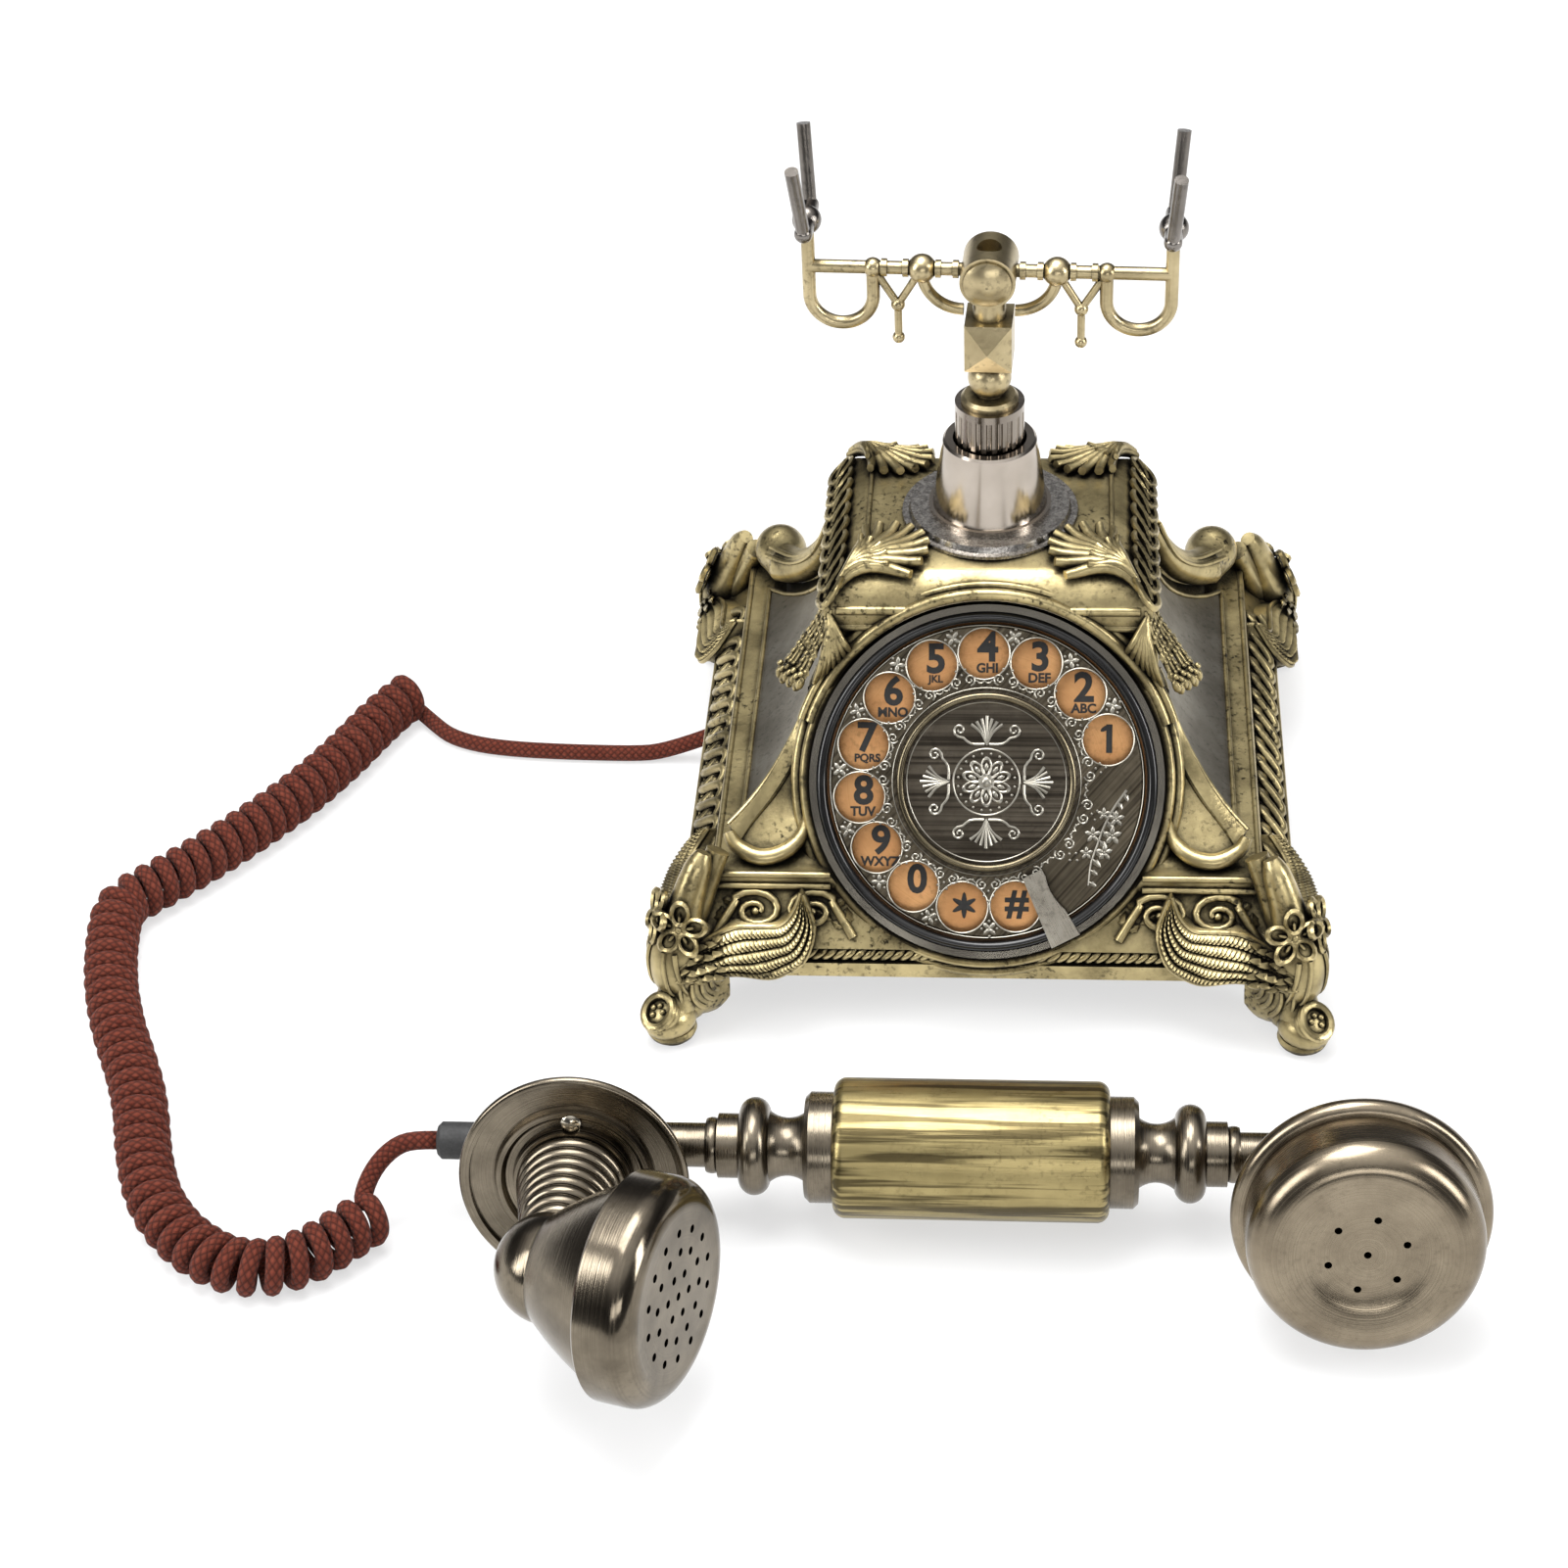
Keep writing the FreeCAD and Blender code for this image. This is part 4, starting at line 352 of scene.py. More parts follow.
def cloth_finish():
    material, tree, cloth = make_material("cloth")
    place = add_node(tree, "ShaderNodeUVMap", uv_map="braid")
    split = add_node(tree, "ShaderNodeSeparateXYZ")
    braid = add_node(tree, "ShaderNodeGroup", node_tree=CLOTH_BRAID)
    tree.links.new(place.outputs[0], split.inputs[0])
    tree.links.new(split.outputs["X"], braid.inputs["Along"])
    tree.links.new(split.outputs["Y"], braid.inputs["Round"])
    strand = mix_colours(tree, braid.outputs["Over"], STRAND_UNDER, STRAND_OVER)
    patchy = add_node(tree, "ShaderNodeTexNoise")
    patchy.inputs["Scale"].default_value = 160
    patchy.inputs["Detail"].default_value = 4
    where = add_node(tree, "ShaderNodeTexCoord")
    tree.links.new(where.outputs["Object"], patchy.inputs["Vector"])
    faded = math_node(tree, "MULTIPLY", patchy.outputs[0], 0.55)
    strand = mix_colours(tree, faded, strand, STRAND_FADED)
    # Painted shade: where the braid lies low between strands, the colour is pulled towards a near black gap
    # colour.
    deep = math_node(tree, "SUBTRACT", 1.0, math_node(tree, "POWER", braid.outputs["Height"], 0.55))
    colour = mix_colours(tree, math_node(tree, "MULTIPLY", deep, 0.85), strand, STRAND_GAP_SHADE)
    tree.links.new(colour, cloth.inputs["Base Color"])
    cloth.inputs["Roughness"].default_value = 0.82
    cloth.inputs["Specular IOR Level"].default_value = 0.1
    cloth.inputs["Sheen Weight"].default_value = 0.04
    cloth.inputs["Sheen Roughness"].default_value = 0.4
    bump = add_node(tree, "ShaderNodeBump")
    bump.inputs["Strength"].default_value = 0.8
    bump.inputs["Distance"].default_value = 0.0004
    raised = math_node(tree, "ADD", braid.outputs["Height"],
                       math_node(tree, "MULTIPLY", braid.outputs["Thread"], 0.12))
    tree.links.new(raised, bump.inputs["Height"])
    tree.links.new(bump.outputs[0], cloth.inputs["Normal"])
    return material


CLOTH = cloth_finish()
print("finish", CLOTH.name)

# %% Tube of the cord
CORD_SIDES = 10


def cord_tube():
    """Tube round the cord's path, with a braid map: girths along it, and the share round it."""
    bm = bmesh.new()
    braid_map = bm.loops.layers.uv.new("braid")
    far = lengths_along(cord_path)
    girth = 2 * math.pi * CORD_R
    side = Vector((0, 0, 1))
    rings = []
    for index, place in enumerate(cord_path):
        after = cord_path[min(index + 1, len(cord_path) - 1)]
        along = (after - cord_path[max(index - 1, 0)]).normalized()
        side = (side - along * side.dot(along)).normalized()
        other = along.cross(side)
        ring = []
        for k in range(CORD_SIDES):
            angle = 2 * math.pi * k / CORD_SIDES
            ring.append(bm.verts.new(place + CORD_R * (math.cos(angle) * side + math.sin(angle) * other)))
        rings.append(ring)
    for index, (low, high) in enumerate(zip(rings, rings[1:])):
        for k in range(CORD_SIDES):
            after = (k + 1) % CORD_SIDES
            face = bm.faces.new((low[k], low[after], high[after], high[k]))
            marks = ((index, k), (index, k + 1), (index + 1, k + 1), (index + 1, k))
            for loop, (ring_at, step) in zip(face.loops, marks):
                loop[braid_map].uv = (far[ring_at] / girth, step / CORD_SIDES)
    bm.faces.new(reversed(rings[0]))
    bm.faces.new(rings[-1])
    return bm


def shaded(bm, limit=35):
    """Smooth shading, with edges sharper than the limit kept crisp."""
    for face in bm.faces:
        face.smooth = True
    for edge in bm.edges:
        if len(edge.link_faces) == 2:
            edge.smooth = edge.calc_face_angle(0.0) < math.radians(limit)


def as_object(name, bm, finish):
    mesh = bpy.data.meshes.new(name)
    bm.to_mesh(mesh)
    bm.free()
    mesh.materials.append(finish)
    made = bpy.data.objects.new(name, mesh)
    scene.collection.objects.link(made)
    return made


cord_bm = cord_tube()
shaded(cord_bm, 80)
cord = as_object("cloth_cord", cord_bm, CLOTH)
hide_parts("cord_coil", "cord_handset_lead", "cord_base_lead")
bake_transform(cord)
print("cord faces", len(cord.data.polygons))

# %% [markdown]
# ## Finishes: antique wash with painted shade, brushed grain and turned grain
# The base is cast resin under gold leaf paint, with a black wash rubbed in and wiped off, so the
# hollows stay dark and the crests shine. An ambient occlusion value finds the hollows and paints
# them dark: this dark stands for that wash, and it is also painted shade where the hollows lie in
# shadow. A cloudy noise breaks up its edge. The metal pieces were brushed or turned: a noise
# stretched along the brush, or one that only reads the distance from the axis, gives both their streaks.

# %% Antique wash and painted shade in hollows
def noise(tree, vector, scale, detail=3.0, rough=0.6):
    node = add_node(tree, "ShaderNodeTexNoise")
    node.inputs["Scale"].default_value = scale
    node.inputs["Detail"].default_value = detail
    node.inputs["Roughness"].default_value = rough
    tree.links.new(vector, node.inputs["Vector"])
    return node.outputs[0]


def spread(tree, value, low, high, to_low=0.0, to_high=1.0):
    """Maps low..high to to_low..to_high and holds the ends."""
    node = add_node(tree, "ShaderNodeMapRange")
    tree.links.new(value, node.inputs["Value"])
    for label, number in zip(("From Min", "From Max", "To Min", "To Max"), (low, high, to_low, to_high)):
        node.inputs[label].default_value = number
    return node.outputs[0]


def wash_and_shade_group():
    group, given, out = new_group(
        "antique_wash_and_shade",
        [("Vector", "NodeSocketVector", None), ("Recess", "NodeSocketFloat", 1.0),
         ("Bright", "NodeSocketColor", (0.5, 0.4, 0.15, 1)),
         ("Dull", "NodeSocketColor", (0.3, 0.25, 0.1, 1)),
         ("Dark", "NodeSocketColor", (0.02, 0.015, 0.01, 1)), ("Reach", "NodeSocketFloat", 0.75)],
        [("Colour", "NodeSocketColor"), ("Roughness", "NodeSocketFloat"), ("Height", "NodeSocketFloat")])
    vector, reach, dark = (given.outputs[label] for label in ("Vector", "Reach", "Dark"))
    cloud = noise(group, vector, 70, 4)
    fine = noise(group, vector, 900, 3, 0.7)
    patches = spread(group, noise(group, vector, 45, 2, 0.5), 0.42, 0.62)
    specks = spread(group, noise(group, vector, 620, 3, 0.6), 0.53, 0.66)
    specks = math_node(group, "MULTIPLY", specks, patches)
    specks = math_node(group, "MULTIPLY", specks, math_node(group, "POWER", reach, 3.0))
    edge = given.outputs["Recess"]
    for wander, weight in ((cloud, 0.55), (fine, 0.3)):
        off = math_node(group, "SUBTRACT", wander, 0.5)
        edge = math_node(group, "ADD", edge, math_node(group, "MULTIPLY", off, weight))
    # Where the occlusion finds a hollow, the dark colour is painted in: the black wash, and painted shade
    # with it.
    unwashed_unshaded = spread(group, math_node(group, "DIVIDE", edge, reach), 0.5, 0.98)
    worn = spread(group, cloud, 0.35, 0.65)
    worn = mix_colours(group, worn, given.outputs["Dull"], given.outputs["Bright"])
    colour = mix_colours(group, unwashed_unshaded, dark, mix_colours(group, specks, worn, dark))
    height = math_node(group, "ADD", math_node(group, "MULTIPLY", cloud, 0.6), fine)
    group.links.new(colour, out.inputs["Colour"])
    group.links.new(spread(group, unwashed_unshaded, 0.0, 1.0, 0.62, 0.30), out.inputs["Roughness"])
    group.links.new(height, out.inputs["Height"])
    return group


WASH_AND_SHADE = wash_and_shade_group()
print("group", WASH_AND_SHADE.name, "nodes", len(WASH_AND_SHADE.nodes))


# %% Brushed and turned grain
def brushed_group():
    group, given, out = new_group(
        "brushed_grain", [("Vector", "NodeSocketVector", None), ("Stretch", "NodeSocketVector", (1, 1, 1))],
        [("Grain", "NodeSocketFloat"), ("Streaks", "NodeSocketFloat")])
    pull = add_node(group, "ShaderNodeVectorMath", operation="MULTIPLY")
    group.links.new(given.outputs["Vector"], pull.inputs[0])
    group.links.new(given.outputs["Stretch"], pull.inputs[1])
    group.links.new(noise(group, pull.outputs[0], 1.0, 3, 0.7), out.inputs["Grain"])
    group.links.new(noise(group, pull.outputs[0], 0.17, 2, 0.5), out.inputs["Streaks"])
    return group


def turned_group():
    group, given, out = new_group(
        "turned_grain", [("Vector", "NodeSocketVector", None), ("Fineness", "NodeSocketFloat", 2500.0)],
        [("Grain", "NodeSocketFloat")])
    parts = add_node(group, "ShaderNodeSeparateXYZ")
    group.links.new(given.outputs["Vector"], parts.inputs[0])
    flat = add_node(group, "ShaderNodeCombineXYZ")
    group.links.new(parts.outputs["X"], flat.inputs["X"])
    group.links.new(parts.outputs["Y"], flat.inputs["Y"])
    away = add_node(group, "ShaderNodeVectorMath", operation="LENGTH")
    group.links.new(flat.outputs[0], away.inputs[0])
    count = math_node(group, "ADD", away.outputs["Value"], parts.outputs["Z"])
    count = math_node(group, "MULTIPLY", count, given.outputs["Fineness"])
    rings = add_node(group, "ShaderNodeTexNoise", noise_dimensions="1D")
    rings.inputs["Scale"].default_value = 1.0
    rings.inputs["Detail"].default_value = 3.0
    group.links.new(count, rings.inputs["W"])
    group.links.new(rings.outputs[0], out.inputs["Grain"])
    return group


BRUSHED = brushed_group()
TURNED = turned_group()
print("groups", BRUSHED.name, TURNED.name)

# %% [markdown]
# ## Finishes: the metals and the resin
# Each finish places the shared effects with its own colours. The occlusion node, which paints the
# wash and the shade in hollows dark, stays in the material. Its distance is about as deep as the
# relief that it has to find: a few millimetres.

# %% Parts that the finishes share
GRAIN_DEPTH, WASH_DEPTH = 0.0002, 0.0004


def placed_vector(tree, at=(0, 0, 0), rotation=(0, 0, 0)):
    """Object coordinates with a point as their origin, turned so that Z runs along an axis."""
    where = add_node(tree, "ShaderNodeTexCoord")
    move = add_node(tree, "ShaderNodeMapping", vector_type="TEXTURE")
    move.inputs["Location"].default_value = at
    move.inputs["Rotation"].default_value = rotation
    tree.links.new(where.outputs["Object"], move.inputs["Vector"])
    return move.outputs[0]


# Occlusion of the hollows: the mask by which the wash and the painted shade are laid dark.
def hollows(tree, depth):
    found = add_node(tree, "ShaderNodeAmbientOcclusion", samples=6)
    found.inputs["Distance"].default_value = depth
    return found.outputs["AO"]


def add_bump(tree, shader, height, strength, distance):
    bump = add_node(tree, "ShaderNodeBump")
    bump.inputs["Strength"].default_value = strength
    bump.inputs["Distance"].default_value = distance
    tree.links.new(height, bump.inputs["Height"])
    tree.links.new(bump.outputs[0], shader.inputs["Normal"])


def lay_wash_and_shade(tree, vector, colours, depth, reach):
    """Antique wash of a bright, a dull and a dark colour. The dark one is painted into hollows of that
    depth: the real wash, with painted shade.
    """
    wash_and_shade = add_node(tree, "ShaderNodeGroup", node_tree=WASH_AND_SHADE)
    tree.links.new(vector, wash_and_shade.inputs["Vector"])
    tree.links.new(hollows(tree, depth), wash_and_shade.inputs["Recess"])
    for label, colour in zip(("Bright", "Dull", "Dark"), colours):
        wash_and_shade.inputs[label].default_value = (*colour, 1)
    wash_and_shade.inputs["Reach"].default_value = reach
    return wash_and_shade


def lay_grain(tree, vector, group, setting, value):
    """Brushed or turned grain, with its one setting."""
    grain = add_node(tree, "ShaderNodeGroup", node_tree=group)
    tree.links.new(vector, grain.inputs["Vector"])
    grain.inputs[setting].default_value = value
    return grain


def grained_metal(tree, shader, grain, rough, bump):
    """Bare metal whose shine and surface are broken up by its grain."""
    tree.links.new(spread(tree, grain, 0.25, 0.75, *rough), shader.inputs["Roughness"])
    shader.inputs["Metallic"].default_value = 1.0
    add_bump(tree, shader, grain, bump, GRAIN_DEPTH)


print("bump depths", GRAIN_DEPTH, WASH_DEPTH)

# %% Washed and shaded, brushed, turned and plain finishes
ORIGIN = UNTURNED = (0, 0, 0)


def washed_and_shaded_finish(name, bright, dull, dark, reach=0.8, depth=0.005, metallic=0.9, bump=0.18):
    """Painted resin or plate with a dark colour in its hollows: a real black wash, and painted shade."""
    material, tree, shader = make_material(name)
    wash_and_shade = lay_wash_and_shade(tree, placed_vector(tree), (bright, dull, dark), depth, reach)
    tree.links.new(wash_and_shade.outputs["Colour"], shader.inputs["Base Color"])
    tree.links.new(wash_and_shade.outputs["Roughness"], shader.inputs["Roughness"])
    shader.inputs["Metallic"].default_value = metallic
    add_bump(tree, shader, wash_and_shade.outputs["Height"], bump, WASH_DEPTH)
    return material


def brushed_finish(name, stretch, bright, dull, dark, rough=(0.24, 0.42), dark_share=(0.62, 0.78),
                   at=ORIGIN, rotation=UNTURNED, depth=0.004, reach=0.7, bump=0.25):
    """Metal with streaks along one direction, and a dark colour in its corners: some wash and painted
    shade.
    """
    material, tree, shader = make_material(name)
    vector = placed_vector(tree, at, rotation)
    grain = lay_grain(tree, vector, BRUSHED, "Stretch", stretch)
    wash_and_shade = lay_wash_and_shade(tree, vector, (bright, dull, dark), depth, reach)
    strokes = spread(tree, grain.outputs["Streaks"], *dark_share)
    strokes = math_node(tree, "MULTIPLY", strokes, 0.8)
    colour = mix_colours(tree, strokes, wash_and_shade.outputs["Colour"], dark)
    tree.links.new(colour, shader.inputs["Base Color"])
    grained_metal(tree, shader, grain.outputs["Grain"], rough, bump)
    return material


def turned_finish(name, bright, dull, dark, at=ORIGIN, rotation=UNTURNED, rough=(0.16, 0.34),
                  fineness=2600.0, depth=0.004, reach=0.62, bump=0.12):
    """Metal turned on a lathe: fine rings round its axis, and a dark colour in its grooves: some wash and
    painted shade.
    """
    material, tree, shader = make_material(name)
    vector = placed_vector(tree, at, rotation)
    grain = lay_grain(tree, vector, TURNED, "Fineness", fineness)
    wash_and_shade = lay_wash_and_shade(tree, vector, (bright, dull, dark), depth, reach)
    rings = spread(tree, grain.outputs["Grain"], 0.3, 0.7, 0.0, 0.35)
    ringed = mix_colours(tree, rings, wash_and_shade.outputs["Colour"], dull)
    tree.links.new(ringed, shader.inputs["Base Color"])
    grained_metal(tree, shader, grain.outputs["Grain"], rough, bump)
    return material


def plain_finish(name, colour, other, rough, metallic=0.0, scale=400.0, bump=0.1):
    """Moulded or plated stuff: two close colours in a fine mottle, with a light orange-peel bump."""
    material, tree, shader = make_material(name)
    vector = placed_vector(tree)
    mottle = noise(tree, vector, scale, 4)
    mottled = mix_colours(tree, spread(tree, mottle, 0.35, 0.65), colour, other)
    shine = spread(tree, noise(tree, vector, 0.3 * scale, 3), 0.3, 0.7, *rough)
    tree.links.new(mottled, shader.inputs["Base Color"])
    tree.links.new(shine, shader.inputs["Roughness"])
    shader.inputs["Metallic"].default_value = metallic
    add_bump(tree, shader, mottle, bump, GRAIN_DEPTH)
    return material


finishes = {}


def add_finish(maker, name, *looks, **more):
    finishes[name] = maker(name, *looks, **more)


print("finishes made so far", len(finishes))

# %% Where the brushed and turned pieces lie
HANDSET_AT = Vector((4.5, -74.367, 22.2)) * MM
HANDSET_TILT = math.radians(-15.5)
DIAL_AT = Vector((6.5, 17.533, 65.0)) * MM
DIAL_TILT = math.radians(55)
STEM_AT = Vector((6.5, 72.033, 0)) * MM
BASE_AT = Vector((6.5, 75.533, 0)) * MM
BELL_TURN = HANDSET_TILT + math.radians(90)
HORN_SWING = math.radians(20)
WHEEL_BRUSHING, STOP_ANGLE = 0.85, math.radians(297)
EAR_AT = HANDSET_AT + Vector((92.6, 0, 0)) * MM
MOUTH_AT = HANDSET_AT + Vector((-96.0, 0, 0)) * MM
HORN_AT = MOUTH_AT + Matrix.Rotation(HANDSET_TILT, 3, "X") @ Vector((0, -60, 0)) * MM
BELL_FACING = (BELL_TURN, 0, 0)
DIAL_FACING = (DIAL_TILT, 0, 0)
horn_axis = Vector((math.cos(HORN_SWING), -math.sin(HORN_SWING), 0))
dial_turn, stop_turn = ((Matrix.Rotation(DIAL_TILT, 3, "X") @ Matrix.Rotation(angle, 3, "Z")).to_euler()
                        for angle in (WHEEL_BRUSHING, STOP_ANGLE))
horn_turn = (Matrix.Rotation(HANDSET_TILT, 3, "X") @ horn_axis).to_track_quat("Z", "Y").to_euler()
tube_turn = Vector((1, 0, 0)).to_track_quat("Z", "Y").to_euler()
print("dial at", tuple(DIAL_AT), "handset at", tuple(HANDSET_AT))

# %% Gold, brass and bronze
GOLD = (0.56, 0.46, 0.235)
GOLD_DULL = (0.29, 0.235, 0.115)
GOLD_DARK = (0.012, 0.010, 0.007)
BRONZE_DARK = (0.014, 0.012, 0.010)
BRONZE = ((0.235, 0.20, 0.15), (0.125, 0.105, 0.078), BRONZE_DARK)
add_finish(washed_and_shaded_finish, "gold_resin", GOLD, GOLD_DULL, GOLD_DARK, reach=0.98)
add_finish(washed_and_shaded_finish, "brass", (0.56, 0.465, 0.275), (0.38, 0.31, 0.175), (0.03, 0.024, 0.015),
           depth=0.004, metallic=1.0, bump=0.1)
add_finish(brushed_finish, "grip_gold", (120, 2900, 2900), (0.40, 0.325, 0.150), (0.31, 0.25, 0.112),
           (0.030, 0.022, 0.011), dark_share=(0.47, 0.58), at=HANDSET_AT, rotation=(HANDSET_TILT, 0, 0))
add_finish(turned_finish, "antique_bronze", *BRONZE, at=HANDSET_AT, rotation=tube_turn)
# Painted sheen: the ear's bronze is a lighter copy of the handset's bronze, standing in for the shine on
# its turned face.
add_finish(turned_finish, "ear_bronze", (0.30, 0.25, 0.18), (0.19, 0.155, 0.11), BRONZE_DARK,
           at=EAR_AT, rotation=BELL_FACING)
add_finish(turned_finish, "mouth_bronze", *BRONZE, at=MOUTH_AT, rotation=BELL_FACING)
add_finish(turned_finish, "horn_bronze", *BRONZE, at=HORN_AT, rotation=horn_turn, rough=(0.10, 0.24))
print("finishes", len(finishes))

# %% Nickel, steel and the dial's finishes
add_finish(brushed_finish, "nickel_bronze", (230, 230, 9), (0.44, 0.39, 0.335), (0.42, 0.37, 0.315),
           (0.10, 0.084, 0.07), rough=(0.10, 0.24), dark_share=(0.40, 0.72), at=STEM_AT, reach=0.35)
add_finish(plain_finish, "stippled_nickel", (0.54, 0.515, 0.48), (0.19, 0.175, 0.16), (0.2, 0.36),
           metallic=1.0, scale=1700, bump=0.12)
add_finish(plain_finish, "cup_nickel", (0.50, 0.445, 0.385), (0.42, 0.37, 0.315), (0.14, 0.22),
           metallic=1.0, scale=60, bump=0.0)
add_finish(brushed_finish, "prong_steel", (4000, 4000, 60), (0.24, 0.22, 0.20), (0.15, 0.135, 0.12),
           (0.02, 0.018, 0.016), rough=(0.10, 0.22), dark_share=(0.6, 0.85), at=STEM_AT)
add_finish(brushed_finish, "dial_bronze", (45, 6000, 6000), (0.135, 0.113, 0.080), (0.08, 0.067, 0.047),
           (0.018, 0.015, 0.011), rough=(0.30, 0.5), dark_share=(0.42, 0.66), at=DIAL_AT,
           rotation=dial_turn)
add_finish(brushed_finish, "medal_bronze", (45, 6000, 6000), (0.115, 0.098, 0.075), (0.07, 0.059, 0.045),
           (0.016, 0.013, 0.010), rough=(0.30, 0.5), dark_share=(0.42, 0.66), at=DIAL_AT,
           rotation=DIAL_FACING)
add_finish(turned_finish, "medal_gold", (0.22, 0.185, 0.12), (0.15, 0.125, 0.08), GOLD_DARK,
           at=DIAL_AT, rotation=DIAL_FACING)
add_finish(washed_and_shaded_finish, "relief_silver", (0.36, 0.34, 0.29), (0.25, 0.235, 0.20), (0.04, 0.036, 0.03),
           reach=0.6, depth=0.0008, bump=0.1)
add_finish(turned_finish, "copper_print", (0.74, 0.41, 0.18), (0.56, 0.285, 0.118), (0.12, 0.05, 0.02),
           at=DIAL_AT, rotation=DIAL_FACING, rough=(0.34, 0.5), fineness=3000.0, reach=0.75)
add_finish(plain_finish, "print_black", (0.006, 0.006, 0.006), (0.012, 0.011, 0.010), (0.4, 0.55),
           scale=900)
add_finish(plain_finish, "steel", (0.50, 0.46, 0.38), (0.46, 0.42, 0.345), (0.12, 0.2),
           metallic=1.0, scale=150, bump=0.0)
add_finish(brushed_finish, "stop_steel", (45, 5000, 5000), (0.40, 0.37, 0.31), (0.28, 0.255, 0.21),
           (0.08, 0.07, 0.06), rough=(0.22, 0.4), dark_share=(0.66, 0.9), at=DIAL_AT, rotation=stop_turn)
print("finishes", len(finishes))

# %% Finishes of the works, the rubber and the panels
add_finish(plain_finish, "bare_steel", (0.42, 0.42, 0.41), (0.30, 0.30, 0.30), (0.25, 0.45), metallic=1.0)
add_finish(plain_finish, "gear_brass", (0.62, 0.46, 0.17), (0.50, 0.36, 0.12), (0.25, 0.4), metallic=1.0)
add_finish(plain_finish, "black_gloss", (0.005, 0.005, 0.005), (0.009, 0.009, 0.009), (0.12, 0.2),
           scale=150, bump=0.0)
add_finish(plain_finish, "black_plastic", (0.014, 0.014, 0.014), (0.024, 0.024, 0.024), (0.35, 0.5),
           scale=900)
add_finish(plain_finish, "black_rubber", (0.016, 0.016, 0.016), (0.03, 0.03, 0.03), (0.55, 0.75),
           scale=1200, bump=0.2)
add_finish(plain_finish, "board", (0.03, 0.11, 0.05), (0.05, 0.15, 0.07), (0.4, 0.55))
add_finish(plain_finish, "iron", (0.08, 0.08, 0.085), (0.12, 0.115, 0.11), (0.5, 0.7), metallic=0.8)
add_finish(brushed_finish, "panel_pewter", (4200, 4200, 60), (0.33, 0.305, 0.25), (0.21, 0.19, 0.15),
           (0.035, 0.03, 0.022), rough=(0.3, 0.5), dark_share=(0.6, 0.85))
print("finishes", len(finishes))

# %% [markdown]
# ## The casting's copy is drawn in
# The crown of the real base stands nearer to the stem than the solid's does, and its hip tips lie
# nearer to the middle. A node's own mesh stays as it is, but a copy may be reshaped, so the copy's
# points are moved by formulas that fade out around each form: the crown's sides and back are drawn
# in, the rear tips move in and grow, and the front hips sink under the spoons.

# %% How the casting's copy is drawn in
CROWN_FOOT_Z, CROWN_FADE = 84.0, 14.0
CROWN_KEPT_X, CROWN_DRAW_X = 30.0, 0.18
CROWN_KEPT_Y, CROWN_DRAW_Y = 8.0, 0.21
HIP_TIP = Vector((68.5, 66.0, 54.5))
HIP_AXIS = [Vector(place) for place in ((44.6, 35.2, 82), (49.0, 41.0, 68.0), (55.2, 49.0, 58.5),
                                        (62.4, 58.0, 54.5), HIP_TIP)]
TIP_FOOT_Z, TIP_REACH, TIP_FADE = 45.5, 14.0, 8.0
REAR_TIP_SHIFT, REAR_TIP_GROWTH = Vector((-6.4, -0.8, -1.0)), 0.18
FRONT_TIP_SHIFT, FRONT_TIP_SHRINK = Vector((-3.5, -3.5, -3.5)), 0.6
FRONT_HIP_SINK, HIP_REACH, HIP_FADE = Vector((-4.2, -4.8, -4.2)), 9.0, 3.0
HIP_TOP_Z, HIP_TOP_FADE, HIP_FOOT_Z, HIP_FOOT_FADE = 80.0, 12.0, 45.0, 3.0


def held(share):
    return min(max(share, 0.0), 1.0)


def drawn_in(spot):
    """Draws the crown's sides and back in towards the stem: base-centred millimetres."""
    share = held((spot.z - CROWN_FOOT_Z) / CROWN_FADE)
    x, y = abs(spot.x), spot.y
    x -= CROWN_DRAW_X * share * max(0.0, x - CROWN_KEPT_X)
    y -= CROWN_DRAW_Y * share * max(0.0, y - CROWN_KEPT_Y)
    return Vector((x if spot.x > 0 else -x, y, spot.z))


def tip_shift(spot, front):
    """Shift of a point near a hip: rear tips draw in, front hips sink under the spoons."""
    away = spot - HIP_TIP
    share = held((TIP_REACH - away.length) / TIP_FADE) if spot.z > TIP_FOOT_Z else 0.0
    if not front:
        return share * (REAR_TIP_SHIFT + REAR_TIP_GROWTH * away)
    sink = 0.0
    for first, second in zip(HIP_AXIS, HIP_AXIS[1:]):
        along = held((spot - first).dot(second - first) / (second - first).length_squared)
        sink = max(sink, held((HIP_REACH - (spot - first.lerp(second, along)).length) / HIP_FADE))
    low = held((HIP_TOP_Z - spot.z) / HIP_TOP_FADE) * held((spot.z - HIP_FOOT_Z) / HIP_FOOT_FADE)
    return share * (FRONT_TIP_SHIFT - FRONT_TIP_SHRINK * away) + sink * low * FRONT_HIP_SINK


def reshape_casting(bm):
    for vert in bm.verts:
        spot = (vert.co - BASE_AT) / MM
        folded = Vector((abs(spot.x), abs(spot.y), spot.z))
        shift = tip_shift(folded, spot.y < 0)
        shift.x = shift.x if spot.x > 0 else -shift.x
        shift.y = shift.y if spot.y > 0 else -shift.y
        vert.co = BASE_AT + MM * drawn_in(spot + shift)


print("a rear tip moves by", tuple(round(c, 2) for c in tip_shift(HIP_TIP, False)), "mm")

# %% [markdown]
# ## Smooth copies of the CAD pieces
# The frame's meshes are loose triangles. Their shapes are right, apart from the casting's, so each is
# copied, its doubles are merged, and edges flatter than a limit are shaded smooth. The copy stands
# for its node. The hook's spring has one end on the base and one on the cradle, so its copy is
# fixed to neither body and keeps its place in the world.

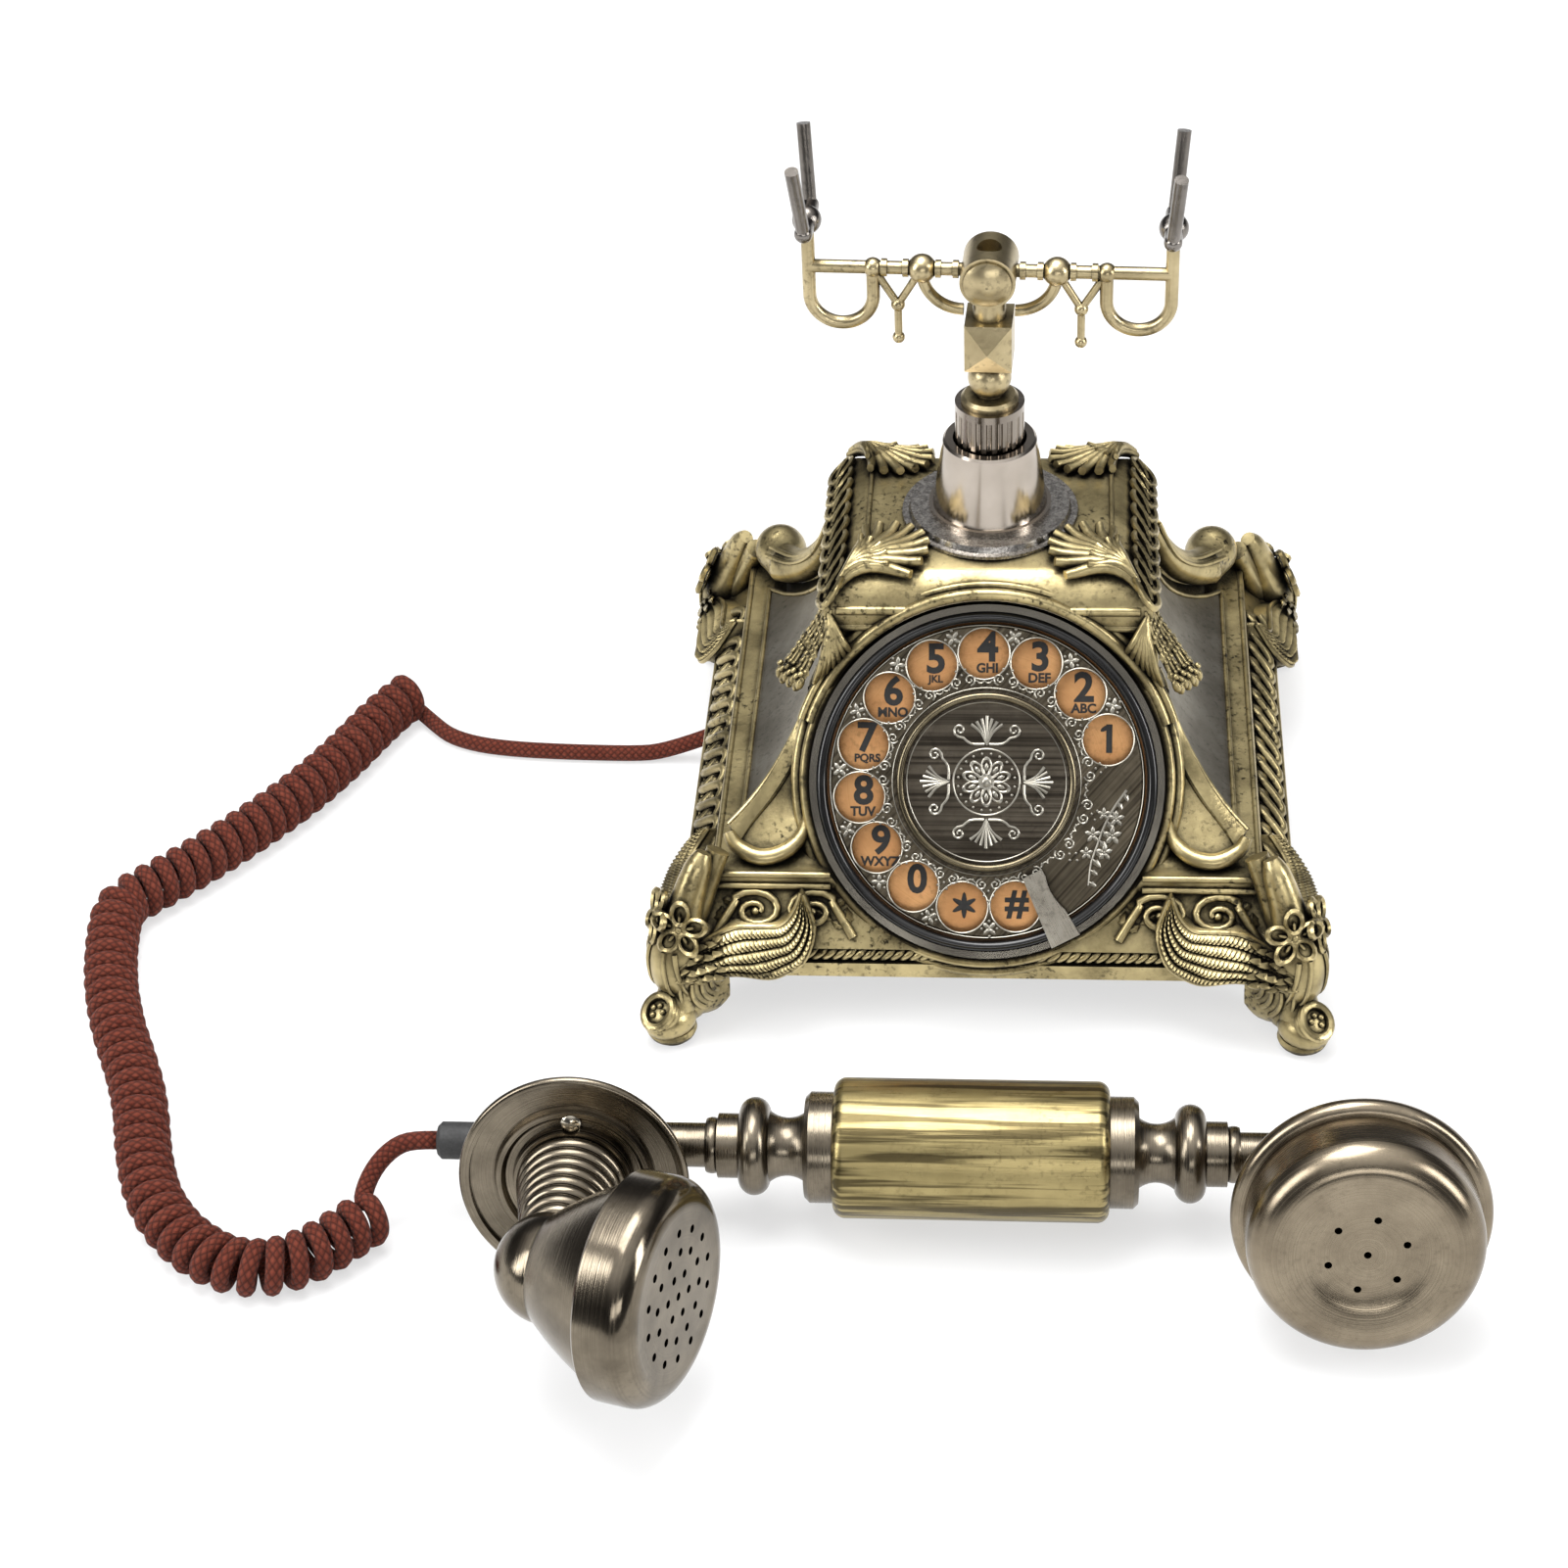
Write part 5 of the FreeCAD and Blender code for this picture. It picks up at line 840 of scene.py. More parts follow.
# %% Copies with smooth shading
node_slots = {part["node"]: part["material_slot"] for part in frame["record"]["subparts"]}
node_bodies = {node: body for body, nodes in frame["record"]["behaviour"]["bodies"].items()
               for node in nodes}


def smooth_copy(node, finish=None, limit=32):
    bm = bmesh.new()
    bm.from_mesh(frame["nodes"][node].data)
    bmesh.ops.remove_doubles(bm, verts=bm.verts, dist=2e-6)
    if node == "base_casting":
        reshape_casting(bm)
    shaded(bm, limit)
    low, high = (pick(vert.co.z for vert in bm.verts) for pick in (min, max))
    copy = as_object(node + "_finished", bm, finishes[finish or node_slots[node]])
    if node == "hook_spring":
        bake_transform(copy)
    else:
        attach(copy, node_bodies[node])
    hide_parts(node)
    return copy


own_finish = {"ear_shell": "ear_bronze", "ear_cap": "ear_bronze", "mouth_shell": "mouth_bronze",
              "mouth_plate": "mouth_bronze", "mouth_neck": "mouth_bronze", "horn": "horn_bronze",
              "horn_cap": "horn_bronze", "dial_medallion": "medal_bronze", "finger_stop": "stop_steel",
              "stem_disc": "stippled_nickel", "stem_cup": "cup_nickel", "fork_left": "prong_steel",
              "fork_right": "prong_steel"}
copies = {name: smooth_copy(name, own_finish.get(name)) for name in node_slots
          if not name.startswith(("cord_", "leg_"))}
print("copies", len(copies))

# %% [markdown]
# ## Tools for cast relief
# Cast ornament is built like pastry: a few small shapes are made once, then pressed on many times.
# `sweep` carries a ring along a path by extruding it, which gives scrolls, cords and feathers.
# `leaf_shape` pulls a grid into a lobed, ribbed leaf and gives it thickness. `stamp` presses a
# finished shape somewhere. Everything is modelled in millimetres in the piece's own flat place, and
# one matrix at the end carries it to its place on the telephone.

# %% Working places and the sweep
BASE_PLACE = Matrix.Translation(BASE_AT) @ Matrix.Scale(MM, 4)
DIAL_PLACE = Matrix.Translation(DIAL_AT) @ Matrix.Rotation(DIAL_TILT, 4, "X") @ Matrix.Scale(MM, 4)


def spun(degrees):
    return Matrix.Rotation(math.radians(degrees), 4, "Z")


def face_place(origin, up, out):
    """Matrix of a working place on a surface: Y runs up it and Z points out of it."""
    out = Vector(out).normalized()
    up = Vector(up)
    up = (up - out * up.dot(out)).normalized()
    return Matrix.Translation(origin) @ Matrix((up.cross(out), up, out)).transposed().to_4x4()


def sweep(bm, path, widths, across=(0, 0, 1), flat=1.0, sides=8):
    """Closed bar along a path: a ring is extruded from point to point and both ends are filled."""
    last = len(path) - 1
    places = []
    for index, place in enumerate(path):
        along = (path[min(index + 1, last)] - path[max(index - 1, 0)]).normalized()
        tall = Vector(across)
        tall = (tall - along * tall.dot(along)).normalized()
        turn = Matrix((tall.cross(along), tall, along)).transposed().to_4x4()
        width = widths[index] if isinstance(widths, list) else widths
        places.append(Matrix.Translation(place) @ turn @ Matrix.Diagonal((width, flat * width, 1, 1)))
    ring = bmesh.ops.create_circle(bm, segments=sides, radius=1, matrix=places[0])["verts"]
    edges = list({edge for vert in ring for edge in vert.link_edges})
    bmesh.ops.contextual_create(bm, geom=edges)
    for before, after in zip(places, places[1:]):
        grown = bmesh.ops.extrude_edge_only(bm, edges=edges)["geom"]
        ring = [part for part in grown if isinstance(part, bmesh.types.BMVert)]
        edges = [part for part in grown if isinstance(part, bmesh.types.BMEdge)
                 and part.verts[0] in ring and part.verts[1] in ring]
        bmesh.ops.transform(bm, matrix=after @ before.inverted(), verts=ring)
    bmesh.ops.contextual_create(bm, geom=edges)


def smooth_path(places, steps):
    """Points of a soft line through the places, with the same number of steps between each two."""
    places = [Vector(place) for place in places]
    points = [places[0]]
    for index in range(len(places) - 1):
        before = places[max(index - 1, 0)]
        first, second = places[index], places[index + 1]
        after = places[min(index + 2, len(places) - 1)]
        for step in range(1, steps + 1):
            t = step / steps
            leave, arrive = first + (second - before) / 6, second - (after - first) / 6
            points.append((1 - t) ** 3 * first + 3 * t * (1 - t) ** 2 * leave
                          + 3 * t * t * (1 - t) * arrive + t ** 3 * second)
    return points


def taper(count, thick, thin):
    """Widths that go from thick to thin along a path of that many points."""
    return [thick + (thin - thick) * (k / (count - 1)) for k in range(count)]


def spiral(radius, turns, start=0.0, hand=1, core=0.18, steps=14):
    """Points of a flat scroll that winds in from its radius to its core."""
    count = int(steps * turns)
    points = []
    for k in range(count + 1):
        share = k / count
        angle = start + hand * 2 * math.pi * turns * share
        reach = radius * (1 - (1 - core) * share)
        points.append(Vector((reach * math.cos(angle), reach * math.sin(angle), 0)))
    return points


print("a scroll of one turn has", len(spiral(1.0, 1.0)), "points")

# %% Shapes that are pressed on
def finished_shape(bm):
    bmesh.ops.recalc_face_normals(bm, faces=bm.faces)
    shape = bpy.data.meshes.new("shape")
    bm.to_mesh(shape)
    bm.free()
    return shape


def stamp(bm, shape, place=Matrix.Identity(4)):
    copy = shape.copy()
    copy.transform(place)
    if place.determinant() < 0:
        copy.flip_normals()
    bm.from_mesh(copy)
    bpy.data.meshes.remove(copy)


def bead_shape(wide, tall, high, turns=8, rings=5):
    bm = bmesh.new()
    bmesh.ops.create_uvsphere(bm, u_segments=turns, v_segments=rings, radius=1,
                              matrix=Matrix.Diagonal((wide, tall, high, 1)))
    return finished_shape(bm)


def leaf_shape(length, width, lobes=3, crown=1.6, curl=0.0, thick=0.8, grid=(6, 9)):
    """Leaf along +Y with its stem at the origin: a lobed outline, a raised rib and a curling tip."""
    bm = bmesh.new()
    bmesh.ops.create_grid(bm, x_segments=grid[0], y_segments=grid[1], size=0.5)
    for vert in bm.verts:
        side, along = 2 * vert.co.x, vert.co.y + 0.5
        outline = math.sin(math.pi * min(along, 0.999) ** 0.75) ** 0.8 + 0.25 * (1 - along)
        outline *= 0.84 + 0.16 * math.cos(2 * math.pi * lobes * along)
        fold = abs(math.sin(math.pi * lobes * along + 1.4 * abs(side)))
        rise = crown * (1 - side * side) * (0.45 + 0.3 * fold) + 0.35 * crown * max(0.0, 1 - 4 * abs(side))
        sweep_back = 0.18 * length * side * side * (1 - along)
        vert.co = (0.5 * width * outline * side, length * along + sweep_back,
                   rise * math.sin(math.pi * (0.1 + 0.85 * along)) + curl * along * along)
    bmesh.ops.recalc_face_normals(bm, faces=bm.faces)
    bmesh.ops.solidify(bm, geom=bm.faces[:], thickness=thick)
    return finished_shape(bm)


def ring_shape(radius, tube, around=28, sides=6):
    """Round ring in the flat place: a small circle is spun about Z and its seam merged."""
    bm = bmesh.new()
    stand = Matrix.Translation((radius, 0, 0)) @ Matrix.Rotation(math.pi / 2, 4, "X")
    made = bmesh.ops.create_circle(bm, segments=sides, radius=tube, matrix=stand)["verts"]
    edges = list({edge for vert in made for edge in vert.link_edges})
    bmesh.ops.spin(bm, geom=made + edges, cent=(0, 0, 0), axis=(0, 0, 1), angle=2 * math.pi,
                   steps=around, use_merge=True)
    bmesh.ops.remove_doubles(bm, verts=bm.verts, dist=1e-4)
    return finished_shape(bm)


def swept_shape(path, widths, across=(0, 0, 1), sides=7):
    bm = bmesh.new()
    sweep(bm, path, widths, across, sides=sides)
    return finished_shape(bm)


def quarter(turns):
    return Matrix.Rotation(turns * math.pi / 2, 4, "Z")


def mirrored(sx, sy=1):
    return Matrix.Diagonal((sx, sy, 1, 1))


SMALL_BEAD = bead_shape(0.9, 0.9, 0.8, 8, 5)
LEAF = leaf_shape(9, 6, 3, 1.8, 0.6)
print("leaf faces", len(LEAF.polygons), "bead faces", len(SMALL_BEAD.polygons))


# %% Carrying a piece to its place
def finish_piece(name, bm, place, finish, body, limit=40, replaced=()):
    """Carries a modelled piece to its place, shades it, colours it and fixes it to its body."""
    if place == BASE_PLACE:
        for vert in bm.verts:
            vert.co = drawn_in(vert.co)
    bmesh.ops.transform(bm, matrix=place, verts=bm.verts)
    shaded(bm, limit)
    made = as_object(name, bm, finishes[finish])
    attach(made, body)
    if replaced:
        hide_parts(*replaced)
    print(name, "faces", len(made.data.polygons))
    return made


def finish_cast(name, bm, limit=60, replaced=()):
    """A piece of the gold casting, modelled round the middle of the base."""
    return finish_piece(name, bm, BASE_PLACE, "gold_resin", "base", limit, replaced)


# %% [markdown]
# ## Rope moulding round the plinth
# A rope is cast as a row of slanted grains between two fillets. One grain is pressed on about
# 170 times, so it has only forty faces. Grains stop where the wings and the line socket sit.

# %% Rope moulding
PLINTH_HALF = 81.0
ROPE_MID_Z = 24.5
ROPE_STEP, ROPE_GRAINS = 2.55, 22
SOCKET_FROM, SOCKET_TO = -38, -18
rope = bmesh.new()
grain = bead_shape(3.3, 1.15, 1.7)
rope_front = face_place((0, -PLINTH_HALF + 1.5, ROPE_MID_Z), (0, 0, 1), (0, -1, 0))
for side in range(4):
    for step in range(-ROPE_GRAINS, ROPE_GRAINS + 1):
        spot = ROPE_STEP * step
        if side == 2 and SOCKET_FROM < spot < SOCKET_TO:
            continue
        stamp(rope, grain, quarter(side) @ rope_front @ Matrix.Translation((spot, 0, 0)) @ spun(42))
finish_cast("rope_moulding", rope, 80)

# %% [markdown]
# ## Scrolled frieze on the front and the back
# The sloping band carries running scrolls with leaves in their hollows. Each scroll is a bar that
# thins as it winds in, like a rolled strip of wax. The front only shows the ends of the band beside
# the dial, and the back has the whole run with a round boss in the middle.

# %% Frieze
FRIEZE_OUT = (0, -12.4, 11.6)
FRIEZE_UP = (0, 11.6, 12.4)
frieze_front = face_place((0, -75.2, 33.2), FRIEZE_UP, FRIEZE_OUT)
scroll_path = smooth_path([(-10, -6, 0.5), (-7, -1, 0.9), (-3.8, 4.2, 1.1)], 4)[:-1]
scroll_path += [Vector((1.25 * point.x + 0.8, 0.92 * point.y + 0.8, 1.1))
                for point in spiral(5.9, 1.45, math.radians(140), -1)]
SCROLL = swept_shape(scroll_path, taper(len(scroll_path), 1.35, 0.75), sides=7)
EYE = bead_shape(1.25, 1.25, 1.3)
frieze = bmesh.new()


def press_scroll(place, turn):
    place = place @ turn
    stamp(frieze, SCROLL, place)
    stamp(frieze, EYE, place @ Matrix.Translation((0.8, 0.6, 0.6)))
    stamp(frieze, LEAF, place @ Matrix.Translation((-4.5, -1.5, 0)) @ spun(-60) @ Matrix.Scale(0.62, 4))
    stamp(frieze, LEAF, place @ Matrix.Translation((-8.2, -3.6, 0)) @ Matrix.Scale(0.6, 4))
    for angle in (-20, 25, 70, 115):
        leaf = spun(angle) @ Matrix.Translation((0, 5.6, 0.3)) @ Matrix.Scale(0.42, 4)
        stamp(frieze, LEAF, place @ Matrix.Translation((0.8, 0.6, 0)) @ leaf)


for hand in (-1, 1):
    flip = mirrored(-hand)
    for spot, turn in ((61, flip), (44.5, mirrored(hand))):
        press_scroll(frieze_front @ Matrix.Translation((hand * spot, 0.5, 0)), turn)
    rear = quarter(2) @ frieze_front
    for spot, turn in ((61, flip), (46, mirrored(hand)), (14.5, flip)):
        press_scroll(rear @ Matrix.Translation((hand * spot, 0.5, 0)), turn)
    if hand > 0:
        press_scroll(rear @ Matrix.Translation((30, 0.5, 0)), mirrored(hand))
boss = quarter(2) @ frieze_front @ Matrix.Translation((0, 0.3, 0.4))
stamp(frieze, ring_shape(4.6, 0.8, 24, 6), boss)
stamp(frieze, EYE, boss)
for k in range(8):
    petal = Matrix.Rotation(k * math.pi / 4, 4, "Z") @ Matrix.Scale(0.42, 4)
    stamp(frieze, LEAF, boss @ petal)
finish_cast("scrolled_frieze", frieze)

# %% [markdown]
# ## Interlaced bands on the two sides
# The side slopes carry a plaited band: two waves that pass over and under each other, with a bead
# in each eye and a fillet along both edges. A wave that also rises and falls is all that the
# crossing needs.

# %% Side bands
WAVE, WAVE_HALF, WAVE_STEP = 15.0, 60, 1.25
BAND_EDGE = 7.6
bands = bmesh.new()
for side in (1, 3):
    slope = quarter(side) @ frieze_front
    for hand in (-1, 1):
        wave = []
        for k in range(int(2 * WAVE_HALF / WAVE_STEP) + 1):
            along = -WAVE_HALF + WAVE_STEP * k
            angle = 2 * math.pi * along / WAVE
            wave.append(Vector((along, hand * 4.7 * math.sin(angle), 1.1 + 0.8 * hand * math.cos(angle))))
        ribbon = bmesh.new()
        sweep(ribbon, wave, 1.4, (0, 0, 1), 0.8, 7)
        stamp(bands, finished_shape(ribbon), slope)
        edge = [Vector((end * (WAVE_HALF + 2), hand * BAND_EDGE, 0.2)) for end in (-1, 1)]
        stamp(bands, swept_shape(edge, 0.8, sides=8), slope)
    for k in range(-7, 9):
        eye = slope @ Matrix.Translation((WAVE / 2 * (k - 0.5), 0, 0.3))
        stamp(bands, EYE, eye)
        for hand in (-1, 1):
            stamp(bands, SMALL_BEAD, slope @ Matrix.Translation((WAVE / 2 * k, hand * 5.6, 0.3)))
            for lean in (-40, 40):
                sprig = Matrix.Translation((WAVE / 2 * (k - 0.5), hand * 3.2, 0.3))
                sprig = sprig @ spun(lean + 90 - 90 * hand)
                stamp(bands, LEAF, slope @ sprig @ Matrix.Scale(0.38, 4))
finish_cast("plaited_bands", bands)

# %% [markdown]
# ## Brushed panels on the side roofs
# Each side roof is a hollow curve. A pewter coloured sheet lies in it, with a raised gold line round
# it. The sheet starts as a flat grid whose points are then bent onto the same arc that the casting
# has: one through the eave, a low middle point and the top.

# %% Side panels
ROOF_LOW_Z, ROOF_TOP_Z = 44.0, 84.0
EAVE_HALF = 66.6
TOP_HALF_X, TOP_HALF_Y = 43.0, 34.5


def arc_half(height, top_half):
    """Half width of the hollow roof at a height, on the circle through its three points."""
    run = EAVE_HALF - top_half
    first = Vector((EAVE_HALF, ROOF_LOW_Z))
    middle = Vector((top_half + 0.36 * run, ROOF_LOW_Z + 12.0))
    last = Vector((top_half, ROOF_TOP_Z))
    a, b = middle - first, last - first
    cross = 2 * (a.x * b.y - a.y * b.x)
    centre = first + Vector(((b.y * a.length_squared - a.y * b.length_squared) / cross,
                             (a.x * b.length_squared - b.x * a.length_squared) / cross))
    reach = (first - centre).length
    return centre.x - math.sqrt(max(reach ** 2 - (height - centre.y) ** 2, 0))


def roof_point(share_y, share_z, proud, margin):
    """Point on the right side roof: shares run from -1 to 1 along it and 0 to 1 up it."""
    height = ROOF_LOW_Z + 1.2 + (ROOF_TOP_Z - ROOF_LOW_Z + 10) * share_z
    on_arc = min(height, ROOF_TOP_Z)
    half = arc_half(on_arc, TOP_HALF_Y) - margin
    return Vector((arc_half(on_arc, TOP_HALF_X) + proud, share_y * half, height))


panels = bmesh.new()
lines = bmesh.new()
for hand in (-1, 1):
    sheet = bmesh.new()
    bmesh.ops.create_grid(sheet, x_segments=10, y_segments=18, size=1)
    for vert in sheet.verts:
        vert.co = roof_point(vert.co.x, 0.5 + 0.5 * vert.co.y, 0.9, 6.5)
    bmesh.ops.recalc_face_normals(sheet, faces=sheet.faces)
    bmesh.ops.solidify(sheet, geom=sheet.faces[:], thickness=0.9)
    stamp(panels, finished_shape(sheet), mirrored(hand))
    for share in (-1, 1):
        edge = [roof_point(share, k / 16, 0.8, 6.0) for k in range(17)]
        stamp(lines, swept_shape(edge, 0.8, (1, 0, 0)), mirrored(hand))
    low = [roof_point(k / 5 - 1, 0, 0.8, 6.0) for k in range(11)]
    stamp(lines, swept_shape(low, 0.8), mirrored(hand))
finish_piece("side_panels", panels, BASE_PLACE, "panel_pewter", "base")
finish_cast("panel_lines", lines)

# %% [markdown]
# ## Husk chains, drop leaves and acanthus on the crown
# Along both upper edges runs a chain of husks, each tucked under the next like fish scales, with a
# row of pearls beside it. Its front ends hang down over the corners as drapes: six strands with
# beads and small leaves, a dark slot between them, and round lobes at their ends. Sprays of acanthus
# lie on the corners of the crown. A lobed outline would be lost at this size, so a spray is a fan of
# thick strokes with curled tips.

# %% Husk chains
HUSKS, HUSK_STEP = 10, 6.6
PEARLS, PEARL_STEP = 29, 2.4


def husk_shape():
    """Tear-drop loop with a rib, on a thin sheet: one husk of the chain, along +Y."""
    bm = bmesh.new()
    loop = smooth_path([(0, 0, 0.2), (3.2, 3.4, 0.7), (2.7, 8.0, 1.2), (0, 10.4, 0.9), (-2.7, 8.0, 1.2),
                        (-3.2, 3.4, 0.7), (0, 0, 0.2)], 3)
    sweep(bm, loop, 0.8, sides=6)
    rib = smooth_path([(0, 1.5, 0.6), (0, 5, 1.2), (0, 8.6, 1.3)], 2)
    sweep(bm, rib, taper(len(rib), 0.9, 0.5), sides=6)
    sheet = Matrix.Translation((0, 5.2, 0.1)) @ Matrix.Diagonal((2.9, 4.8, 0.6, 1))
    bmesh.ops.create_uvsphere(bm, u_segments=8, v_segments=5, radius=1, matrix=sheet)
    return finished_shape(bm)


HUSK = husk_shape()
crown = bmesh.new()
for hand in (-1, 1):
    flip = mirrored(hand)
    for k in range(HUSKS):
        place = face_place((40.4, 31.5 - HUSK_STEP * k, 109.4), (0.34, -0.90, -0.24), (0.70, 0, 0.71))
        stamp(crown, HUSK, flip @ place @ Matrix.Diagonal((1.45, 1.15, 1.3, 1)))
    for k in range(PEARLS):
        stamp(crown, SMALL_BEAD, flip @ Matrix.Translation((45.9, 34.0 - PEARL_STEP * k, 102.6)))
    ridge = [Vector((32.2, 24, 113.0)), Vector((32.2, -22, 113.0))]
    stamp(crown, swept_shape(ridge, 0.8, sides=8), flip)
print("husk chains, faces", len(crown.faces))

# %% Sprays on the corners
CROWN_X, CROWN_Y, CROWN_Z = 45.0, 36.5, 104.0
TOP_INSET, TOP_RISE = 13.0, 9.0
SPRAY_MIDDLE = math.radians(38)


def crown_height(x, y):
    """Height of the crown's skin: a quarter-round edge up to a flat top."""
    inset = min(CROWN_X - abs(x), CROWN_Y - abs(y), TOP_INSET)
    return CROWN_Z + TOP_RISE * math.sqrt(max(1 - (1 - max(inset, 0.0) / TOP_INSET) ** 2, 0.0))


def plume(start, heading, length, bend, wide, proud):
    """Bar that lies on the crown, swells in the middle, turns by the bend and lifts its tip."""
    places, angle = [], heading
    spot = Vector(start)
    for k in range(9):
        lift = proud + 1.5 * math.sin(math.pi * k / 8) + (0.7 * max(0, k - 6)) ** 2
        places.append(Vector((spot.x, spot.y, crown_height(spot.x, spot.y) + lift)))
        spot += length / 8 * Vector((-math.cos(angle), -math.sin(angle), 0))
        angle += bend / 8
    widths = [wide * (0.55 + 0.75 * math.sin(math.pi * (0.1 + 0.78 * k / 8))) for k in range(9)]
    return swept_shape(places, widths, sides=7)


for hand in (-1, 1):
    for end in (-1, 1):
        corner = mirrored(hand, end)
        for k in range(9):
            heading = math.radians(-4 + 10.5 * k)
            length = 21 + 8.5 * math.sin(math.pi * (k + 0.6) / 9.2)
            bend = 1.7 * (heading - SPRAY_MIDDLE)
            stamp(crown, plume((41.0, 34.4, 0), math.radians(36), length, bend, 1.5, 0.3), corner)
        for k in range(5):
            heading = math.radians(6 + 16 * k)
            bend = 1.9 * (heading - SPRAY_MIDDLE)
            stamp(crown, plume((40.4, 33.8, 0), SPRAY_MIDDLE, 16, bend, 1.1, 1.5), corner)
print("chains and sprays, faces", len(crown.faces))

# %% Drapes and the rolls under the crown's edge
LOBE = bead_shape(1.5, 2.6, 1.6, 8, 6)
DRAPE_LEFT = smooth_path([(43.2, 31.5, 105), (47.2, 31.0, 98), (50.8, 31.5, 90), (54.2, 34.0, 82.5)], 4)
DRAPE_RIGHT = smooth_path([(42.6, 36.2, 104), (45.0, 37.8, 97), (46.8, 38.9, 90), (48.6, 40.4, 83.5)], 4)
for hand in (-1, 1):
    corner = mirrored(hand, -1)
    for share in (0.0, 0.17, 0.34, 0.62, 0.8, 1.0):
        strand = [left.lerp(right, share) for left, right in zip(DRAPE_LEFT, DRAPE_RIGHT)]
        stamp(crown, swept_shape(strand, taper(len(strand), 0.6, 0.85), sides=7), corner)
        for k in range(2, len(strand), 1 if share in (0.0, 0.62) else 2):
            stamp(crown, SMALL_BEAD, corner @ Matrix.Translation(strand[k] + Vector((0.3, 0.3, 0.2))))
        for k in range(3, len(strand) - 1, 3):
            leaf = face_place(strand[k], strand[k + 1] - strand[k - 1], (0.75, 0.55, 0.35))
            stamp(crown, LEAF, corner @ leaf @ Matrix.Scale(0.5, 4))
    for k in range(7):
        spot = DRAPE_LEFT[-1].lerp(DRAPE_RIGHT[-1], k / 6) + Vector((0.3, 0.4, -1.0 if k % 2 else 0.2))
        lobe = face_place(spot, (0.3, 0.2, -1), (0.75, 0.6, 0.3))
        stamp(crown, LOBE, corner @ lobe @ Matrix.Scale(0.8, 4))
        stamp(crown, SMALL_BEAD, corner @ Matrix.Translation(spot + Vector((0.5, 0.6, 3.4))))
    for k in range(7):
        tip = Vector((36.4, 39.0, 93.0)).lerp(Vector((45.2, 40.4, 83.5)), k / 6)
        middle = Vector((42.6, 37.8, 101.5)).lerp(tip, 0.55) + Vector((0, 2.0, 0.6))
        stroke = smooth_path([(43.4, 36.4, 103.0), middle, tip], 4)
        widths = [0.85 * (0.5 + 0.75 * math.sin(math.pi * (0.1 + 0.75 * q / 8))) for q in range(9)]
        stamp(crown, swept_shape(stroke, widths, (0, 1, 0.3), sides=7), corner)
    for height, radius, inner in ((103.6, 1.3, 21.0), (98.4, 1.2, 29.0)):
        for end, start in ((-1, inner), (1, 0.0)):
            roll = [Vector((x, CROWN_Y - 0.6, height)) for x in (start, 41)]
            stamp(crown, swept_shape(roll, radius, sides=10), mirrored(hand, end))
finish_cast("crown_ornament", crown)

# %% [markdown]
# ## Hips, spoons and ledge lines
# The four hips flare into upturned tips, like the corners of a pagoda. Double lines follow the two
# rear hips. Beside the dial each front hip opens into a spoon: a domed tongue inside a smooth rolled
# rim, with a thin flared sheet on its outer side. Two fillets run along the ledge, and stop where the
# dial's round housing stands in front of it.

# %% Hips and ledge
HIP = [(44.6, 35.2, 84), (49.0, 41.0, 70.0), (55.2, 49.0, 61.5), (62.4, 58.0, 58.5)]
HIP_LINES = (((2.2, -2.4, 2.45), 0.8), ((4.0, -3.6, -0.2), 0.7))
LEDGE_LINES, LEDGE_LINE_R = ((40.2, 71.3), (43.6, 70.8)), 0.95
DIAL_GAP = 40.6
hips = bmesh.new()
for hand in (-1, 1):
    for end in (-1, 1):
        corner = mirrored(hand, end)
        for shift, radius in HIP_LINES if end > 0 else ():
            edge = [Vector(place) + (0.35 + 0.16 * k) * Vector(shift) for k, place in enumerate(HIP)]
            stamp(hips, swept_shape(smooth_path(edge, 5), radius, sides=7), corner)
        for height, half in LEDGE_LINES:
            for far in [(DIAL_GAP, half)] if end < 0 else [(half, -half), (-half, half)]:
                line = [Vector((half, half, height)), Vector((*far, height))]
                stamp(hips, swept_shape(line, LEDGE_LINE_R, sides=8), corner)
print("hip and ledge lines, faces", len(hips.faces))

# %% Spoons beside the dial
SPOON_OUTER = smooth_path([(65.5, 63.4, 48.0), (61.7, 59.0, 52.0), (55.6, 52.8, 57.0), (49.6, 46.0, 65.0),
                           (45.0, 40.2, 77.5)], 4)
SPOON_INNER = smooth_path([(48.0, 61.6, 49.6), (46.4, 56.4, 54.2), (45.7, 49.0, 61.0), (44.6, 43.2, 70.0),
                           (43.6, 39.6, 81.0)], 4)
SPOON_OUT = Vector((0.15, 0.82, 0.55))
FLARE = smooth_path([(67.6, 61.8, 53.0), (61.8, 55.6, 56.4), (55.6, 48.0, 62.0), (49.8, 41.2, 70.5),
                     (45.4, 37.4, 81.0)], 4)
lip_line = smooth_path([(67.4, 63.0, 51.5), (65.3, 65.0, 48.6), (59.4, 67.2, 46.6), (53.2, 66.0, 47.2),
                        (48.4, 62.2, 49.8), (46.4, 56.8, 54.6)], 4)


def spoon_point(side, share):
    """Point of the dished spoon between its two edges: side and share run from 0 to 1."""
    last = len(SPOON_OUTER) - 1
    index = min(int(share * last), last - 1)
    rest = share * last - index
    outer = SPOON_OUTER[index].lerp(SPOON_OUTER[index + 1], rest)
    inner = SPOON_INNER[index].lerp(SPOON_INNER[index + 1], rest)
    hang = 4 * side * (1 - side) * max(0.0, 1 - share / 0.4) ** 2
    dish = 4 * side * (1 - side) * (1.6 * share - 1.5 * (1 - share))
    return outer.lerp(inner, side) + hang * Vector((0, 4.4, -2.4)) + dish * SPOON_OUT


